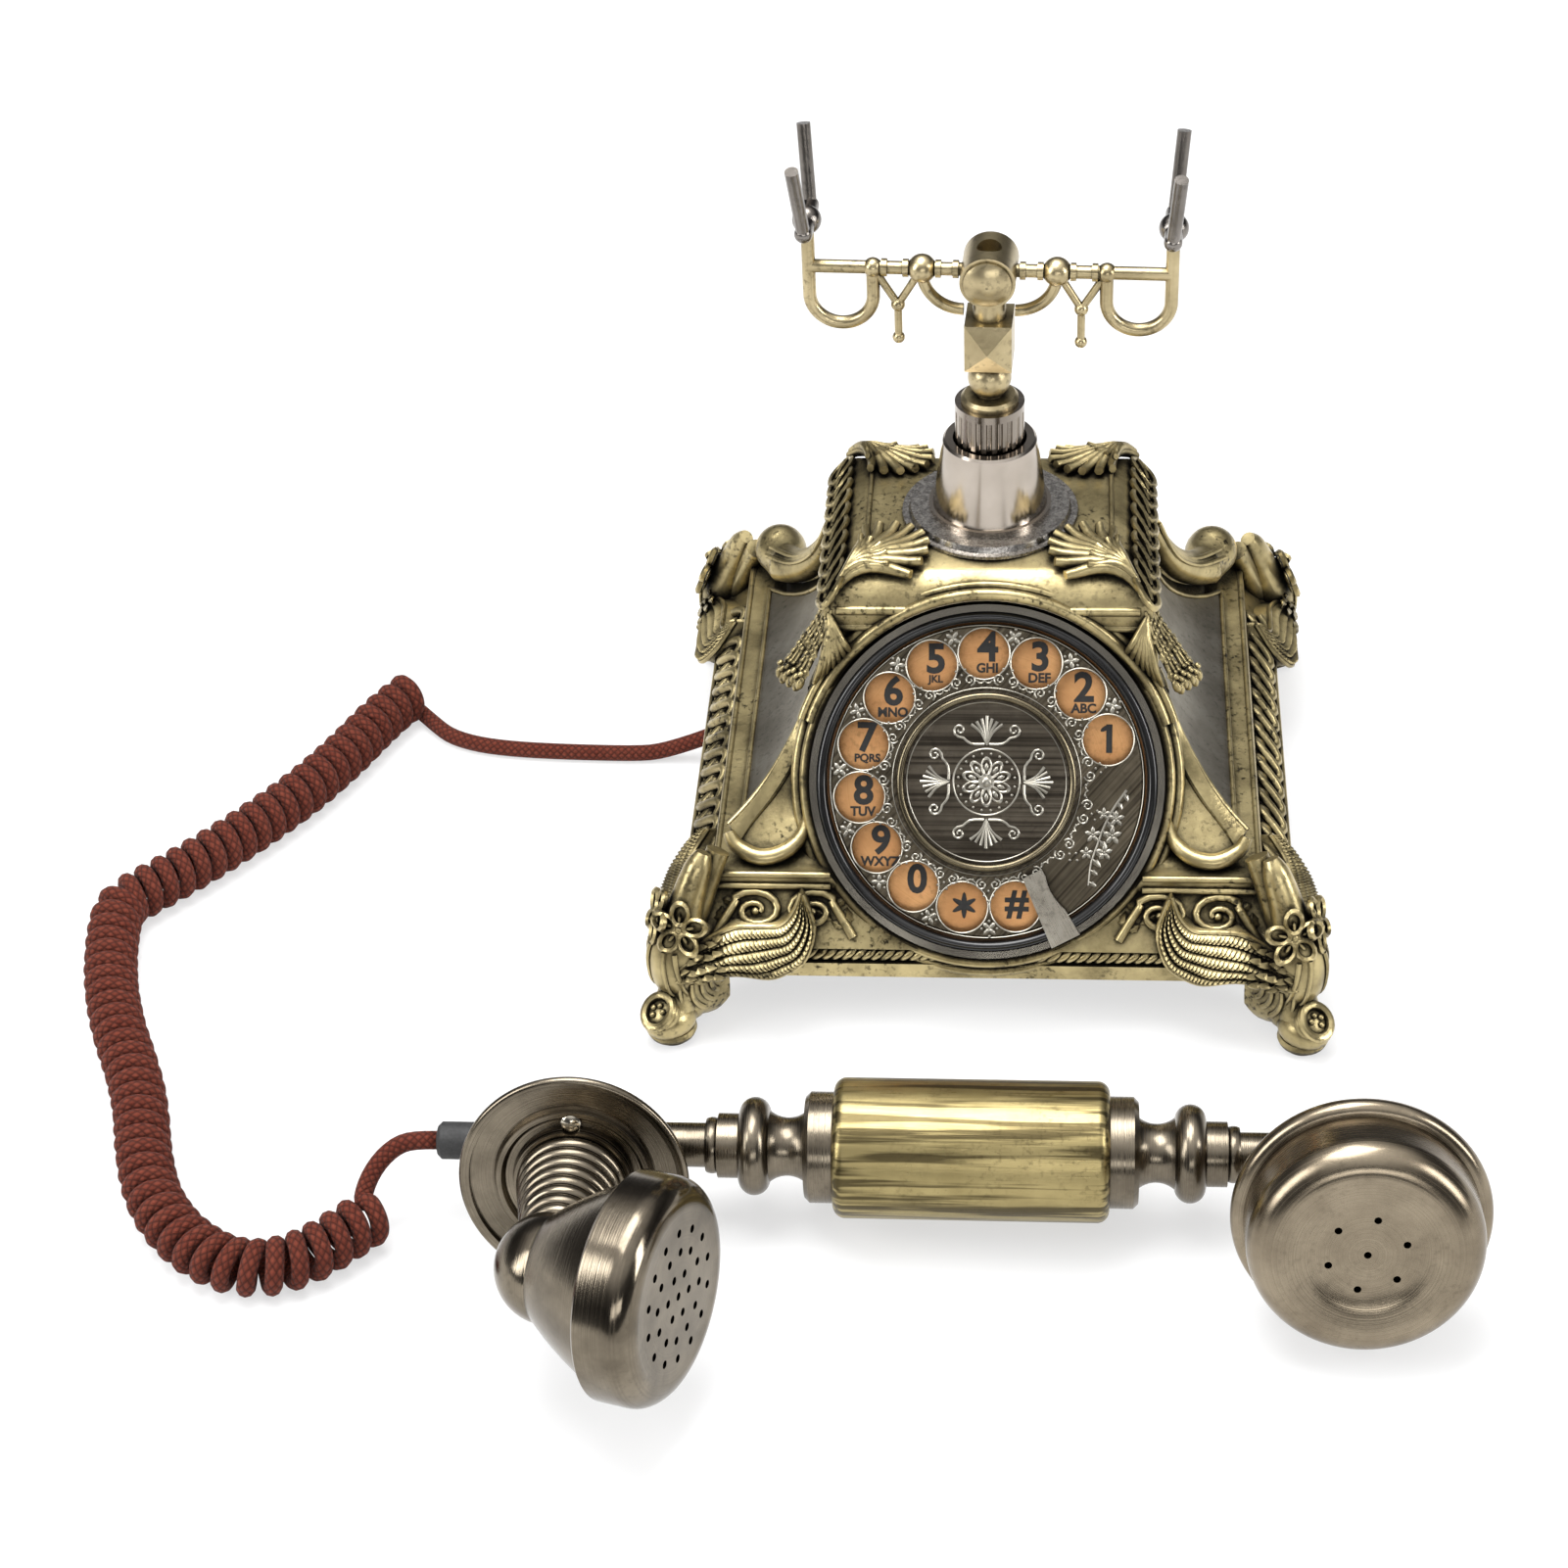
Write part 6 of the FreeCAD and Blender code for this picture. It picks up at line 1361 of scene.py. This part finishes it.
bowl = bmesh.new()
bmesh.ops.create_grid(bowl, x_segments=12, y_segments=18, size=1)
for vert in bowl.verts:
    vert.co = spoon_point(0.5 + 0.5 * vert.co.x, 0.5 + 0.5 * vert.co.y)
bmesh.ops.recalc_face_normals(bowl, faces=bowl.faces)
bmesh.ops.solidify(bowl, geom=bowl.faces[:], thickness=3.5)
flare = bmesh.new()
bmesh.ops.create_grid(flare, x_segments=4, y_segments=len(FLARE) - 1, size=1)
for vert in flare.verts:
    row = round((0.5 + 0.5 * vert.co.y) * (len(FLARE) - 1))
    vert.co = SPOON_OUTER[row].lerp(FLARE[row], 0.5 + 0.5 * vert.co.x)
bmesh.ops.recalc_face_normals(flare, faces=flare.faces)
bmesh.ops.solidify(flare, geom=flare.faces[:], thickness=1.2)
lip_widths = [1.1 + 1.2 * math.sin(math.pi * (0.12 + 0.85 * k / 20)) for k in range(21)]
SPOON_PIECES = (finished_shape(bowl), finished_shape(flare), swept_shape(FLARE, 0.75, sides=8),
                swept_shape(lip_line, lip_widths, SPOON_OUT, sides=10),
                swept_shape(SPOON_OUTER, 0.85, SPOON_OUT, sides=8),
                swept_shape(SPOON_INNER, 0.75, SPOON_OUT, sides=8))
for hand in (-1, 1):
    for shape in SPOON_PIECES:
        stamp(hips, shape, mirrored(hand, -1))
finish_cast("hips_and_ledge", hips, 50)

# %% [markdown]
# ## Winged scroll legs
# Each corner stands on a leg like a winged beast's: a smooth shoulder that rises past the ledge, a
# swelling chest with a flower on each flank, a narrow ankle with a round ribbed heel behind it, and a
# foot with a cupped toe. One limb is swept along the diagonal of the corner. The wings lie on both
# walls beside it, as grids whose rows become feathers: five rounded rows that run up to the tip, with
# short barbs across them. They lean back where the wall does.

# %% Limb and flowers
LEG_STATIONS = [(73.0, 73.0, 52.6, 2.2), (74.4, 74.4, 49.4, 3.7), (76.2, 76.2, 44.4, 4.4),
                (77.9, 77.9, 39.2, 4.9), (79.6, 79.6, 33.4, 6.0), (81.0, 81.0, 27, 7.5),
                (81.2, 81.6, 20, 7.2), (80.8, 81.6, 14.5, 5.8), (82.2, 83.8, 9.0, 6.0),
                (84.2, 86.8, 7.2, 6.1), (86.0, 89.4, 7.4, 5.0)]
limb_path = smooth_path([station[:3] for station in LEG_STATIONS], 4)
limb_widths = [point.x for point in smooth_path([(station[3], 0, 0) for station in LEG_STATIONS], 4)]
SIDEWAYS = Vector((1, -1, 0)).normalized()
LIMB_FLAT = 0.92


def limb_point(index, turn, proud):
    """Point on the limb's skin: turn 0 faces out along the corner's diagonal."""
    along = (limb_path[index + 1] - limb_path[index - 1]).normalized()
    out = SIDEWAYS.cross(along)
    if out.x < 0:
        out.negate()
    reach = limb_widths[index] + proud
    return limb_path[index] + reach * (math.cos(turn) * out + LIMB_FLAT * math.sin(turn) * SIDEWAYS)


def flower_shape():
    """Five looped petals round a bead, each with a small drop inside."""
    bm = bmesh.new()
    loop = ring_shape(1.0, 0.27, 14, 5)
    drop = bead_shape(0.5, 1.5, 0.5, 6, 4)
    pad = bead_shape(1.9, 2.6, 0.5, 10, 5)
    for k in range(5):
        petal = Matrix.Rotation(k * 2 * math.pi / 5, 4, "Z") @ Matrix.Translation((0, 3.9, 0.2))
        stamp(bm, loop, petal @ Matrix.Translation((0, 0.2, 0.6)) @ Matrix.Diagonal((2.15, 3.0, 3.2, 1)))
        stamp(bm, pad, petal @ Matrix.Translation((0, 0, -0.5)))
        stamp(bm, drop, petal @ Matrix.Translation((0, -0.8, 0.5)))
    stamp(bm, bead_shape(1.4, 1.4, 1.1, 8, 5), Matrix.Translation((0, 0, 0.5)))
    return finished_shape(bm)


leg = bmesh.new()
sweep(leg, limb_path, limb_widths, SIDEWAYS, LIMB_FLAT, 18)
web_path = [point - Vector((3.6, 3.6, 1.5)) for point in limb_path[1:18]]
sweep(leg, web_path, 3.2, SIDEWAYS, 1.0, 12)
FLOWER = flower_shape()
for flank in (-1, 1):
    facing = (0.22, 0.92, 0.34) if flank < 0 else (0.92, 0.22, 0.34)
    chest = face_place(limb_point(15, math.radians(46 * flank), 0.5), (0, 0, 1), facing)
    stamp(leg, FLOWER, chest @ Matrix.Scale(1.05, 4))
for turn_deg in (-62, -30, 30, 62):
    crease = [limb_point(k, math.radians(turn_deg * (0.75 + 0.05 * (k - 19))), 0.15) for k in range(19, 29)]
    stamp(leg, swept_shape(crease, taper(len(crease), 0.75, 0.45), (1, 1, 0.2), sides=6))
print("limb and flowers, faces", len(leg.faces))

# %% Heel, foot and toe
HEEL_AT = Vector((73.4, 74.4, 16.6))
HEEL_R, HEEL_T = 15.4, 6.3


def cut_off(bm, at, out):
    """Cuts away what lies past a plane and closes the cut."""
    bmesh.ops.bisect_plane(bm, geom=bm.verts[:] + bm.edges[:] + bm.faces[:], plane_co=at, plane_no=out,
                           clear_outer=True)
    bmesh.ops.holes_fill(bm, edges=[edge for edge in bm.edges if edge.is_boundary], sides=0)


heel = bmesh.new()
bmesh.ops.create_uvsphere(heel, u_segments=40, v_segments=24, radius=1)
for vert in heel.verts:
    reach = min(math.hypot(vert.co.x, vert.co.y), 1.0)
    thick = math.copysign(HEEL_T * (1 - reach ** 5) ** 0.5, vert.co.z)
    vert.co = (HEEL_R * vert.co.x, HEEL_R * vert.co.y, thick)
cut_off(heel, (1.5, 0, 0), (1, 0, 0))
cut_off(heel, (0.5, -10.6, 0), (0.69, -0.73, 0))
stamp(leg, finished_shape(heel), face_place(HEEL_AT, (0, 0, 1), SIDEWAYS) @ mirrored(-1))
for flank in (-1, 1):
    plane = face_place(HEEL_AT, (0, 0, 1), flank * SIDEWAYS)
    for reach in (5.0, 8.0, 11.0, 13.8):
        height = HEEL_T * (1 - min(reach / HEEL_R, 0.98) ** 5) ** 0.5
        angles = [math.radians(degrees) for degrees in range(-66 + int(1.6 * reach), 12, 6)]
        bow = [Vector((flank * reach * math.cos(a), reach * math.sin(a), height)) for a in angles]
        stamp(leg, swept_shape(bow, 0.85, sides=7), plane)
for spot, sizes in (((83.4, 85.8, 6.5), (6.6, 7.6, 5.6)), ((79.0, 80.0, 9.2), (5.6, 6.6, 7.6))):
    stamp(leg, bead_shape(*sizes, 18, 12), face_place(spot, (0.7, 0.7, 0), (0, 0, 1)))
TOE_OUT = Vector((0.42, 0.52, 0.74)).normalized()
toe_place = face_place((84.8, 88.0, 9.6), (-0.6, -0.6, 0.9), TOE_OUT)
stamp(leg, bead_shape(4.9, 5.2, 3.0, 20, 12), toe_place)
toe_rim = toe_place @ Matrix.Translation((0, 0, 2.7)) @ Matrix.Diagonal((1.0, 1.1, 1, 1))
stamp(leg, ring_shape(4.1, 1.15, 28, 8), toe_rim)
stamp(leg, ring_shape(5.0, 1.75, 28, 8), face_place((83.2, 85.4, 2.75), (0.7, 0.7, 0), (0, 0, 1)))
for k in range(4):
    seed = toe_place @ Matrix.Rotation(1.3 * k, 4, "Z")
    stamp(leg, SMALL_BEAD, seed @ Matrix.Translation((1.5, 0.6, 3.1)))
print("leg without wings, faces", len(leg.faces))

# %% Wings
WING_LOW = smooth_path([(0, 18.6, 0), (9, 21.3, 0), (17, 22.6, 0), (25.6, 21.6, 0), (30.6, 23.5, 0),
                        (35.2, 26.6, 0), (37.3, 33.2, 0), (34.4, 40.0, 0)], 12)
WING_HIGH = smooth_path([(0, 24.5, 0), (4.5, 27.0, 0), (9.5, 30.2, 0), (16.0, 32.8, 0), (22.8, 33.1, 0),
                         (28.1, 33.4, 0), (31.8, 36.2, 0), (33.8, 40.4, 0)], 12)
FEATHERS, BARBS = 5, 40
WING_ROOT = 9.5


def wing_height(share, row, height):
    """How far the wing stands off the wall: it leans back, swells, and rolls over each feather."""
    edge = (row * FEATHERS) % 1.0
    shown = min(max((share - 0.12) / 0.15, 0.0), 1.0)
    rolled = abs(math.sin(math.pi * edge)) ** 0.6
    barb = (0.5 + 0.5 * math.cos(2 * math.pi * BARBS * (share + 0.02 * edge))) * rolled * shown
    return 5.4 - 0.1 * (height - 20) + 1.1 * math.sin(math.pi * row) + shown * rolled * 1.15 + 0.75 * barb


def leant(spot):
    """Leans a wing point back on the sloping frieze."""
    return spot - Vector((0, 0, 0.62 * max(0.0, spot.y - 24.0)))


def wing_shape():
    """Wing on a wall: X runs along the wall from the leg, Y up, Z out of the wall."""
    bm = bmesh.new()
    bmesh.ops.create_grid(bm, x_segments=160, y_segments=30, size=1)
    last = len(WING_LOW) - 1
    for vert in bm.verts:
        share, row = 0.5 + 0.5 * vert.co.x, 0.5 + 0.5 * vert.co.y
        index = min(int(share * last), last - 1)
        rest = share * last - index
        low = WING_LOW[index].lerp(WING_LOW[index + 1], rest)
        high = WING_HIGH[index].lerp(WING_HIGH[index + 1], rest)
        place = low.lerp(high, row)
        vert.co = leant(Vector((place.x, place.y, wing_height(share, row, place.y))))
    edges = [edge for edge in bm.edges if edge.is_boundary]
    grown = bmesh.ops.extrude_edge_only(bm, edges=edges)["geom"]
    root = [part for part in grown if isinstance(part, bmesh.types.BMVert)]
    bmesh.ops.translate(bm, vec=(0, 0, -WING_ROOT), verts=root)
    bmesh.ops.holes_fill(bm, edges=[edge for edge in bm.edges if edge.is_boundary], sides=0)
    for edge, reach in ((WING_HIGH, 1.0), (WING_LOW, 0.0)):
        rim = [leant(Vector((p.x, p.y, wing_height(1.0, reach, p.y) + 0.3))) for p in edge[6::3]]
        sweep(bm, rim, taper(len(rim), 0.9, 0.6), sides=7)
    scale = leaf_shape(4.4, 3.0, 1, 1.1, 0.5, 0.5, (4, 4))
    for column in range(5):
        for k in range(4):
            across = 0.4 + 2.4 * column + 0.7 * (k % 2)
            height = 20.9 + 2.1 * k + 0.16 * column * k + 0.3 * column
            spot = Vector((across, height, 6.9 - 0.15 * k))
            tilt = -86 + 9 * k + 14 * math.sin(2.3 * column + 1.7 * k)
            stamp(bm, scale, Matrix.Translation(leant(spot)) @ spun(tilt))
    return finished_shape(bm)


WING = wing_shape()
LEG_AT = 82.0
LEG_FOOT_Z = 0.9
CORNERS = {"front_left": (-1, -1), "front_right": (1, -1), "rear_left": (-1, 1), "rear_right": (1, 1)}
wall = Matrix.Translation((LEG_AT, PLINTH_HALF, 0)) @ Matrix(((-1, 0, 0), (0, 0, 1), (0, 1, 0))).to_4x4()
swap = Matrix(((0, 1, 0), (1, 0, 0), (0, 0, 1))).to_4x4()
for place in (wall, swap @ wall):
    stamp(leg, WING, place)
cut_off(leg, (0, 0, LEG_FOOT_Z), (0, 0, -1))
LEG = finished_shape(leg)
for name, (hand, end) in CORNERS.items():
    corner_leg = bmesh.new()
    stamp(corner_leg, LEG, mirrored(hand, end))
    finish_cast("winged_leg_" + name, corner_leg, 42, ("leg_" + name,))

# %% [markdown]
# ## Numbers under the finger holes
# The fixed copper plate is printed with black numbers, and small letters under them. Text is a font
# curve in Blender: it is made a mesh first, centred on its own outline, and then carried to its hole.
# A small outward offset makes the strokes as bold as the print.

# %% Numbers and letters
HOLE_FIRST, HOLE_STEP, HOLE_CIRCLE_R, HOLE_R = 19.6, 24.0, 33.25, 6.5
PRINT_Z = -3.36
PRINT = [("1", ""), ("2", "ABC"), ("3", "DEF"), ("4", "GHI"), ("5", "JKL"), ("6", "MNO"), ("7", "PQRS"),
         ("8", "TUV"), ("9", "WXYZ"), ("0", ""), ("*", ""), ("#", "")]


def text_shape(words, tall, heavy):
    """Flat raised text of a given height, centred on the origin."""
    line = bpy.data.curves.new("print", "FONT")
    line.body, line.size, line.offset, line.extrude = words, 10, heavy, 0.4
    line.resolution_u = 4
    carrier = bpy.data.objects.new("print", line)
    scene.collection.objects.link(carrier)
    bpy.context.view_layer.update()
    mesh = bpy.data.meshes.new_from_object(carrier.evaluated_get(bpy.context.evaluated_depsgraph_get()))
    bpy.data.objects.remove(carrier)
    xs, ys = ([vert.co[axis] for vert in mesh.vertices] for axis in (0, 1))
    middle = Vector((0.5 * (min(xs) + max(xs)), 0.5 * (min(ys) + max(ys)), 0))
    scale = tall / (max(ys) - min(ys))
    mesh.transform(Matrix.Diagonal((scale, scale, 0.1, 1)) @ Matrix.Translation(-middle))
    return mesh


def on_circle(radius, degrees, height=0.0):
    angle = math.radians(degrees)
    return Vector((radius * math.cos(angle), radius * math.sin(angle), height))


digits = bmesh.new()
for k, (digit, letters) in enumerate(PRINT):
    hole = on_circle(HOLE_CIRCLE_R, HOLE_FIRST + HOLE_STEP * k, PRINT_Z)
    shift, tall = (Vector((0.9, 1.8, 0)), 7.9) if letters or digit == "0" else (Vector((0.3, 0.2, 0)), 7.4)
    if digit == "*":
        middle = Matrix.Translation(hole + Vector((0.4, 0.2, 0.05)))
        for turn in range(0, 180, 60):
            bar = spun(turn + 90) @ Matrix.Diagonal((3.5, 0.75, 0.1, 1))
            stamp(digits, bead_shape(1, 1, 1, 12, 6), middle @ bar)
    else:
        stamp(digits, text_shape(digit, tall, 0.3), Matrix.Translation(hole + shift))
    if letters:
        stamp(digits, text_shape(letters, 2.55, 0.34), Matrix.Translation(hole + Vector((0.8, -3.75, 0))))
    if digit == "1":
        flag = Matrix.Translation(hole + Vector((-0.7, 2.9, 0.02))) @ Matrix.Rotation(0.55, 4, "Z")
        stamp(digits, bead_shape(1.5, 0.62, 0.05, 10, 6), flag)
finish_piece("dial_print", digits, DIAL_PLACE, "print_black", "base", 30)

# %% [markdown]
# ## Relief on the turning wheel
# The wheel is dark and brushed, and carries pale rubbed relief: thin rims round the holes, four-petal
# flowers between them, a band of small scrolls round the middle, and a flowering twig on the blank
# sector. The middle is a plain rosette with fans and scrolls. All of it turns with the wheel.

# %% Rims, small flowers and scroll band
relief = bmesh.new()
HOLE_RIM = ring_shape(HOLE_R + 0.2, 0.2, 44, 6)
PETAL = bead_shape(0.62, 1.15, 0.4, 6, 4)
DOT = bead_shape(0.42, 0.42, 0.36, 6, 4)
curl_path = [Vector((p.x, p.y, 0.08)) for p in spiral(1.55, 1.4, math.radians(-90), 1, 0.2, 10)]
CURL = swept_shape(curl_path, taper(len(curl_path), 0.26, 0.18), sides=5)
for k in range(len(PRINT)):
    stamp(relief, HOLE_RIM, Matrix.Translation(on_circle(HOLE_CIRCLE_R, HOLE_FIRST + HOLE_STEP * k, 0.0)))
for k in range(round(360 / HOLE_STEP)):
    angle = HOLE_FIRST + HOLE_STEP * (k + 0.5)
    spin = spun(angle - 90)
    if k < len(PRINT) - 1:
        bloom = spin @ Matrix.Translation((0, 38.2, 0.05))
        for q in range(4):
            stamp(relief, PETAL, bloom @ spun(45 + 90 * q) @ Matrix.Translation((0, 1.05, 0)))
            stamp(relief, DOT, bloom @ spun(90 * q) @ Matrix.Translation((0, 2.0, 0)))
        stamp(relief, DOT, bloom)
    for hand in (-1, 1):
        stamp(relief, CURL, spin @ Matrix.Translation((hand * 1.75, 26.7, 0)) @ mirrored(hand))
        stamp(relief, DOT, spin @ Matrix.Translation((hand * 1.2, 29.6, 0)))
        stamp(relief, DOT, spin @ Matrix.Translation((hand * 4.0, 25.4, 0)))
        arch = [Vector((hand * (3.4 + 0.55 * q), 26.1 - 0.9 * math.sin(q * 0.7), 0.05)) for q in range(5)]
        stamp(relief, swept_shape(arch, 0.22, sides=5), spin)
    for height in (28.4, 31.0):
        stamp(relief, DOT, spin @ Matrix.Translation((0, height, 0)))
print("rims, flowers and scrolls, faces", len(relief.faces))

# %% Rosette
FLOOR = 0.62
for radius, tube, height in ((20.7, 0.17, FLOOR), (24.4, 0.15, 0.02), (40.6, 0.15, -0.05)):
    stamp(relief, ring_shape(radius, tube, 96, 6), Matrix.Translation((0, 0, height)))
LOOP = ring_shape(1.0, 0.2, 14, 5)
for k in range(10):
    spoke = Matrix.Rotation(2 * math.pi * k / 10, 4, "Z")
    stamp(relief, LOOP, spoke @ Matrix.Translation((0, 3.9, FLOOR)) @ Matrix.Diagonal((1.25, 2.3, 1.2, 1)))
    stamp(relief, PETAL, spoke @ Matrix.Translation((0, 3.9, FLOOR)))
    for q in (-0.25, 0.25):
        seed = Matrix.Rotation(2 * math.pi * (k + q) / 10, 4, "Z") @ Matrix.Translation((0, 7.4, FLOOR))
        stamp(relief, DOT, seed)
stamp(relief, bead_shape(1.5, 1.5, 0.7, 10, 6), Matrix.Translation((0, 0, FLOOR)))
stamp(relief, ring_shape(8.6, 0.24, 48, 5), Matrix.Translation((0, 0, FLOOR)))
for k in range(4):
    arm = Matrix.Rotation(math.pi / 2 * k, 4, "Z") @ Matrix.Translation((0, 9.6, FLOOR))
    for q in range(-3, 4):
        blade = smooth_path([(0, 0, 0), (0.5 * q, 3.2, 0.25), (1.35 * q, 7.6 - 0.75 * abs(q), 0.1)], 3)
        stamp(relief, swept_shape(blade, taper(len(blade), 0.22, 0.42), sides=5), arm)
    for hand in (-1, 1):
        vine = smooth_path([(0.6 * hand, 0.2, 0), (4.2 * hand, 0.4, 0.15), (6.6 * hand, 2.4, 0.15)], 3)[:-1]
        vine += [Vector((hand * (7.0 + p.x), 3.8 + p.y, 0.12))
                 for p in spiral(1.7, 1.3, math.radians(-75), 1, 0.2, 10)]
        stamp(relief, swept_shape(vine, taper(len(vine), 0.36, 0.24), sides=5), arm)
print("relief with its rosette, faces", len(relief.faces))

# %% Flowering twig
TWIG_LEAN = 60
TWIG_BLOOMS = ((33.6, -9.2, 1.0), (30.4, -8.0, 0.8), (32.6, -13.6, 1.15), (27.6, -13.4, 1.0),
               (30.6, -18.0, 1.0), (26.0, -18.2, 0.8))
twig = smooth_path([(36.2, -1.8, 0.1), (33.2, -6.0, 0.1), (30.6, -11.0, 0.1), (28.8, -16.0, 0.1),
                    (27.2, -21.0, 0.1), (26.6, -26.6, 0.1)], 4)
stamp(relief, swept_shape(twig, taper(len(twig), 0.34, 0.22), sides=5))
TWIG_LEAF = leaf_shape(3.4, 2.0, 1, 0.5, 0.1, 0.25, (4, 4))
for k in range(1, len(twig) - 1, 2):
    heading = math.degrees(math.atan2(twig[k + 1].y - twig[k].y, twig[k + 1].x - twig[k].x))
    size = 0.9 if 4 < k < 16 else 0.7
    leaf = Matrix.Translation(twig[k]) @ spun(heading - 90 + TWIG_LEAN) @ Matrix.Scale(size, 4)
    stamp(relief, TWIG_LEAF, leaf)
for x, y, size in TWIG_BLOOMS:
    bloom = Matrix.Translation((x, y, 0.15)) @ Matrix.Scale(size, 4)
    for q in range(5):
        petal_turn = Matrix.Rotation(2 * math.pi * q / 5, 4, "Z")
        stamp(relief, PETAL, bloom @ petal_turn @ Matrix.Translation((0, 1.1, 0)))
    stamp(relief, DOT, bloom @ Matrix.Translation((0, 0, 0.2)))
finish_piece("dial_relief", relief, DIAL_PLACE, "relief_silver", "dial", 50)

# %% Ring mouldings round the dial
RING_Z, OUTER_RING_Z = -4.7, -7.3
dial_rings = bmesh.new()
for radius, tube, height in ((47.6, 1.35, RING_Z), (49.9, 1.5, OUTER_RING_Z)):
    stamp(dial_rings, ring_shape(radius, tube, 120, 12), Matrix.Translation((0, 0, height)))
for radius, tube, rise in ((48.6, 1.7, 10.6), (51.0, 1.2, 9.4)):
    arch = []
    for degrees in range(18, 165, 3):
        lift = rise * max(0.0, (math.sin(math.radians(degrees)) - 0.5) / 0.5)
        arch.append(on_circle(radius, degrees, RING_Z + lift))
    stamp(dial_rings, swept_shape(arch, tube, sides=12))
finish_piece("dial_mouldings", dial_rings, DIAL_PLACE, "gold_resin", "base", 50)
medal_ring = bmesh.new()
stamp(medal_ring, ring_shape(22.4, 0.95, 120, 10), Matrix.Translation((0, 0, 1.0)))
finish_piece("medal_ring", medal_ring, DIAL_PLACE, "medal_gold", "dial", 50)
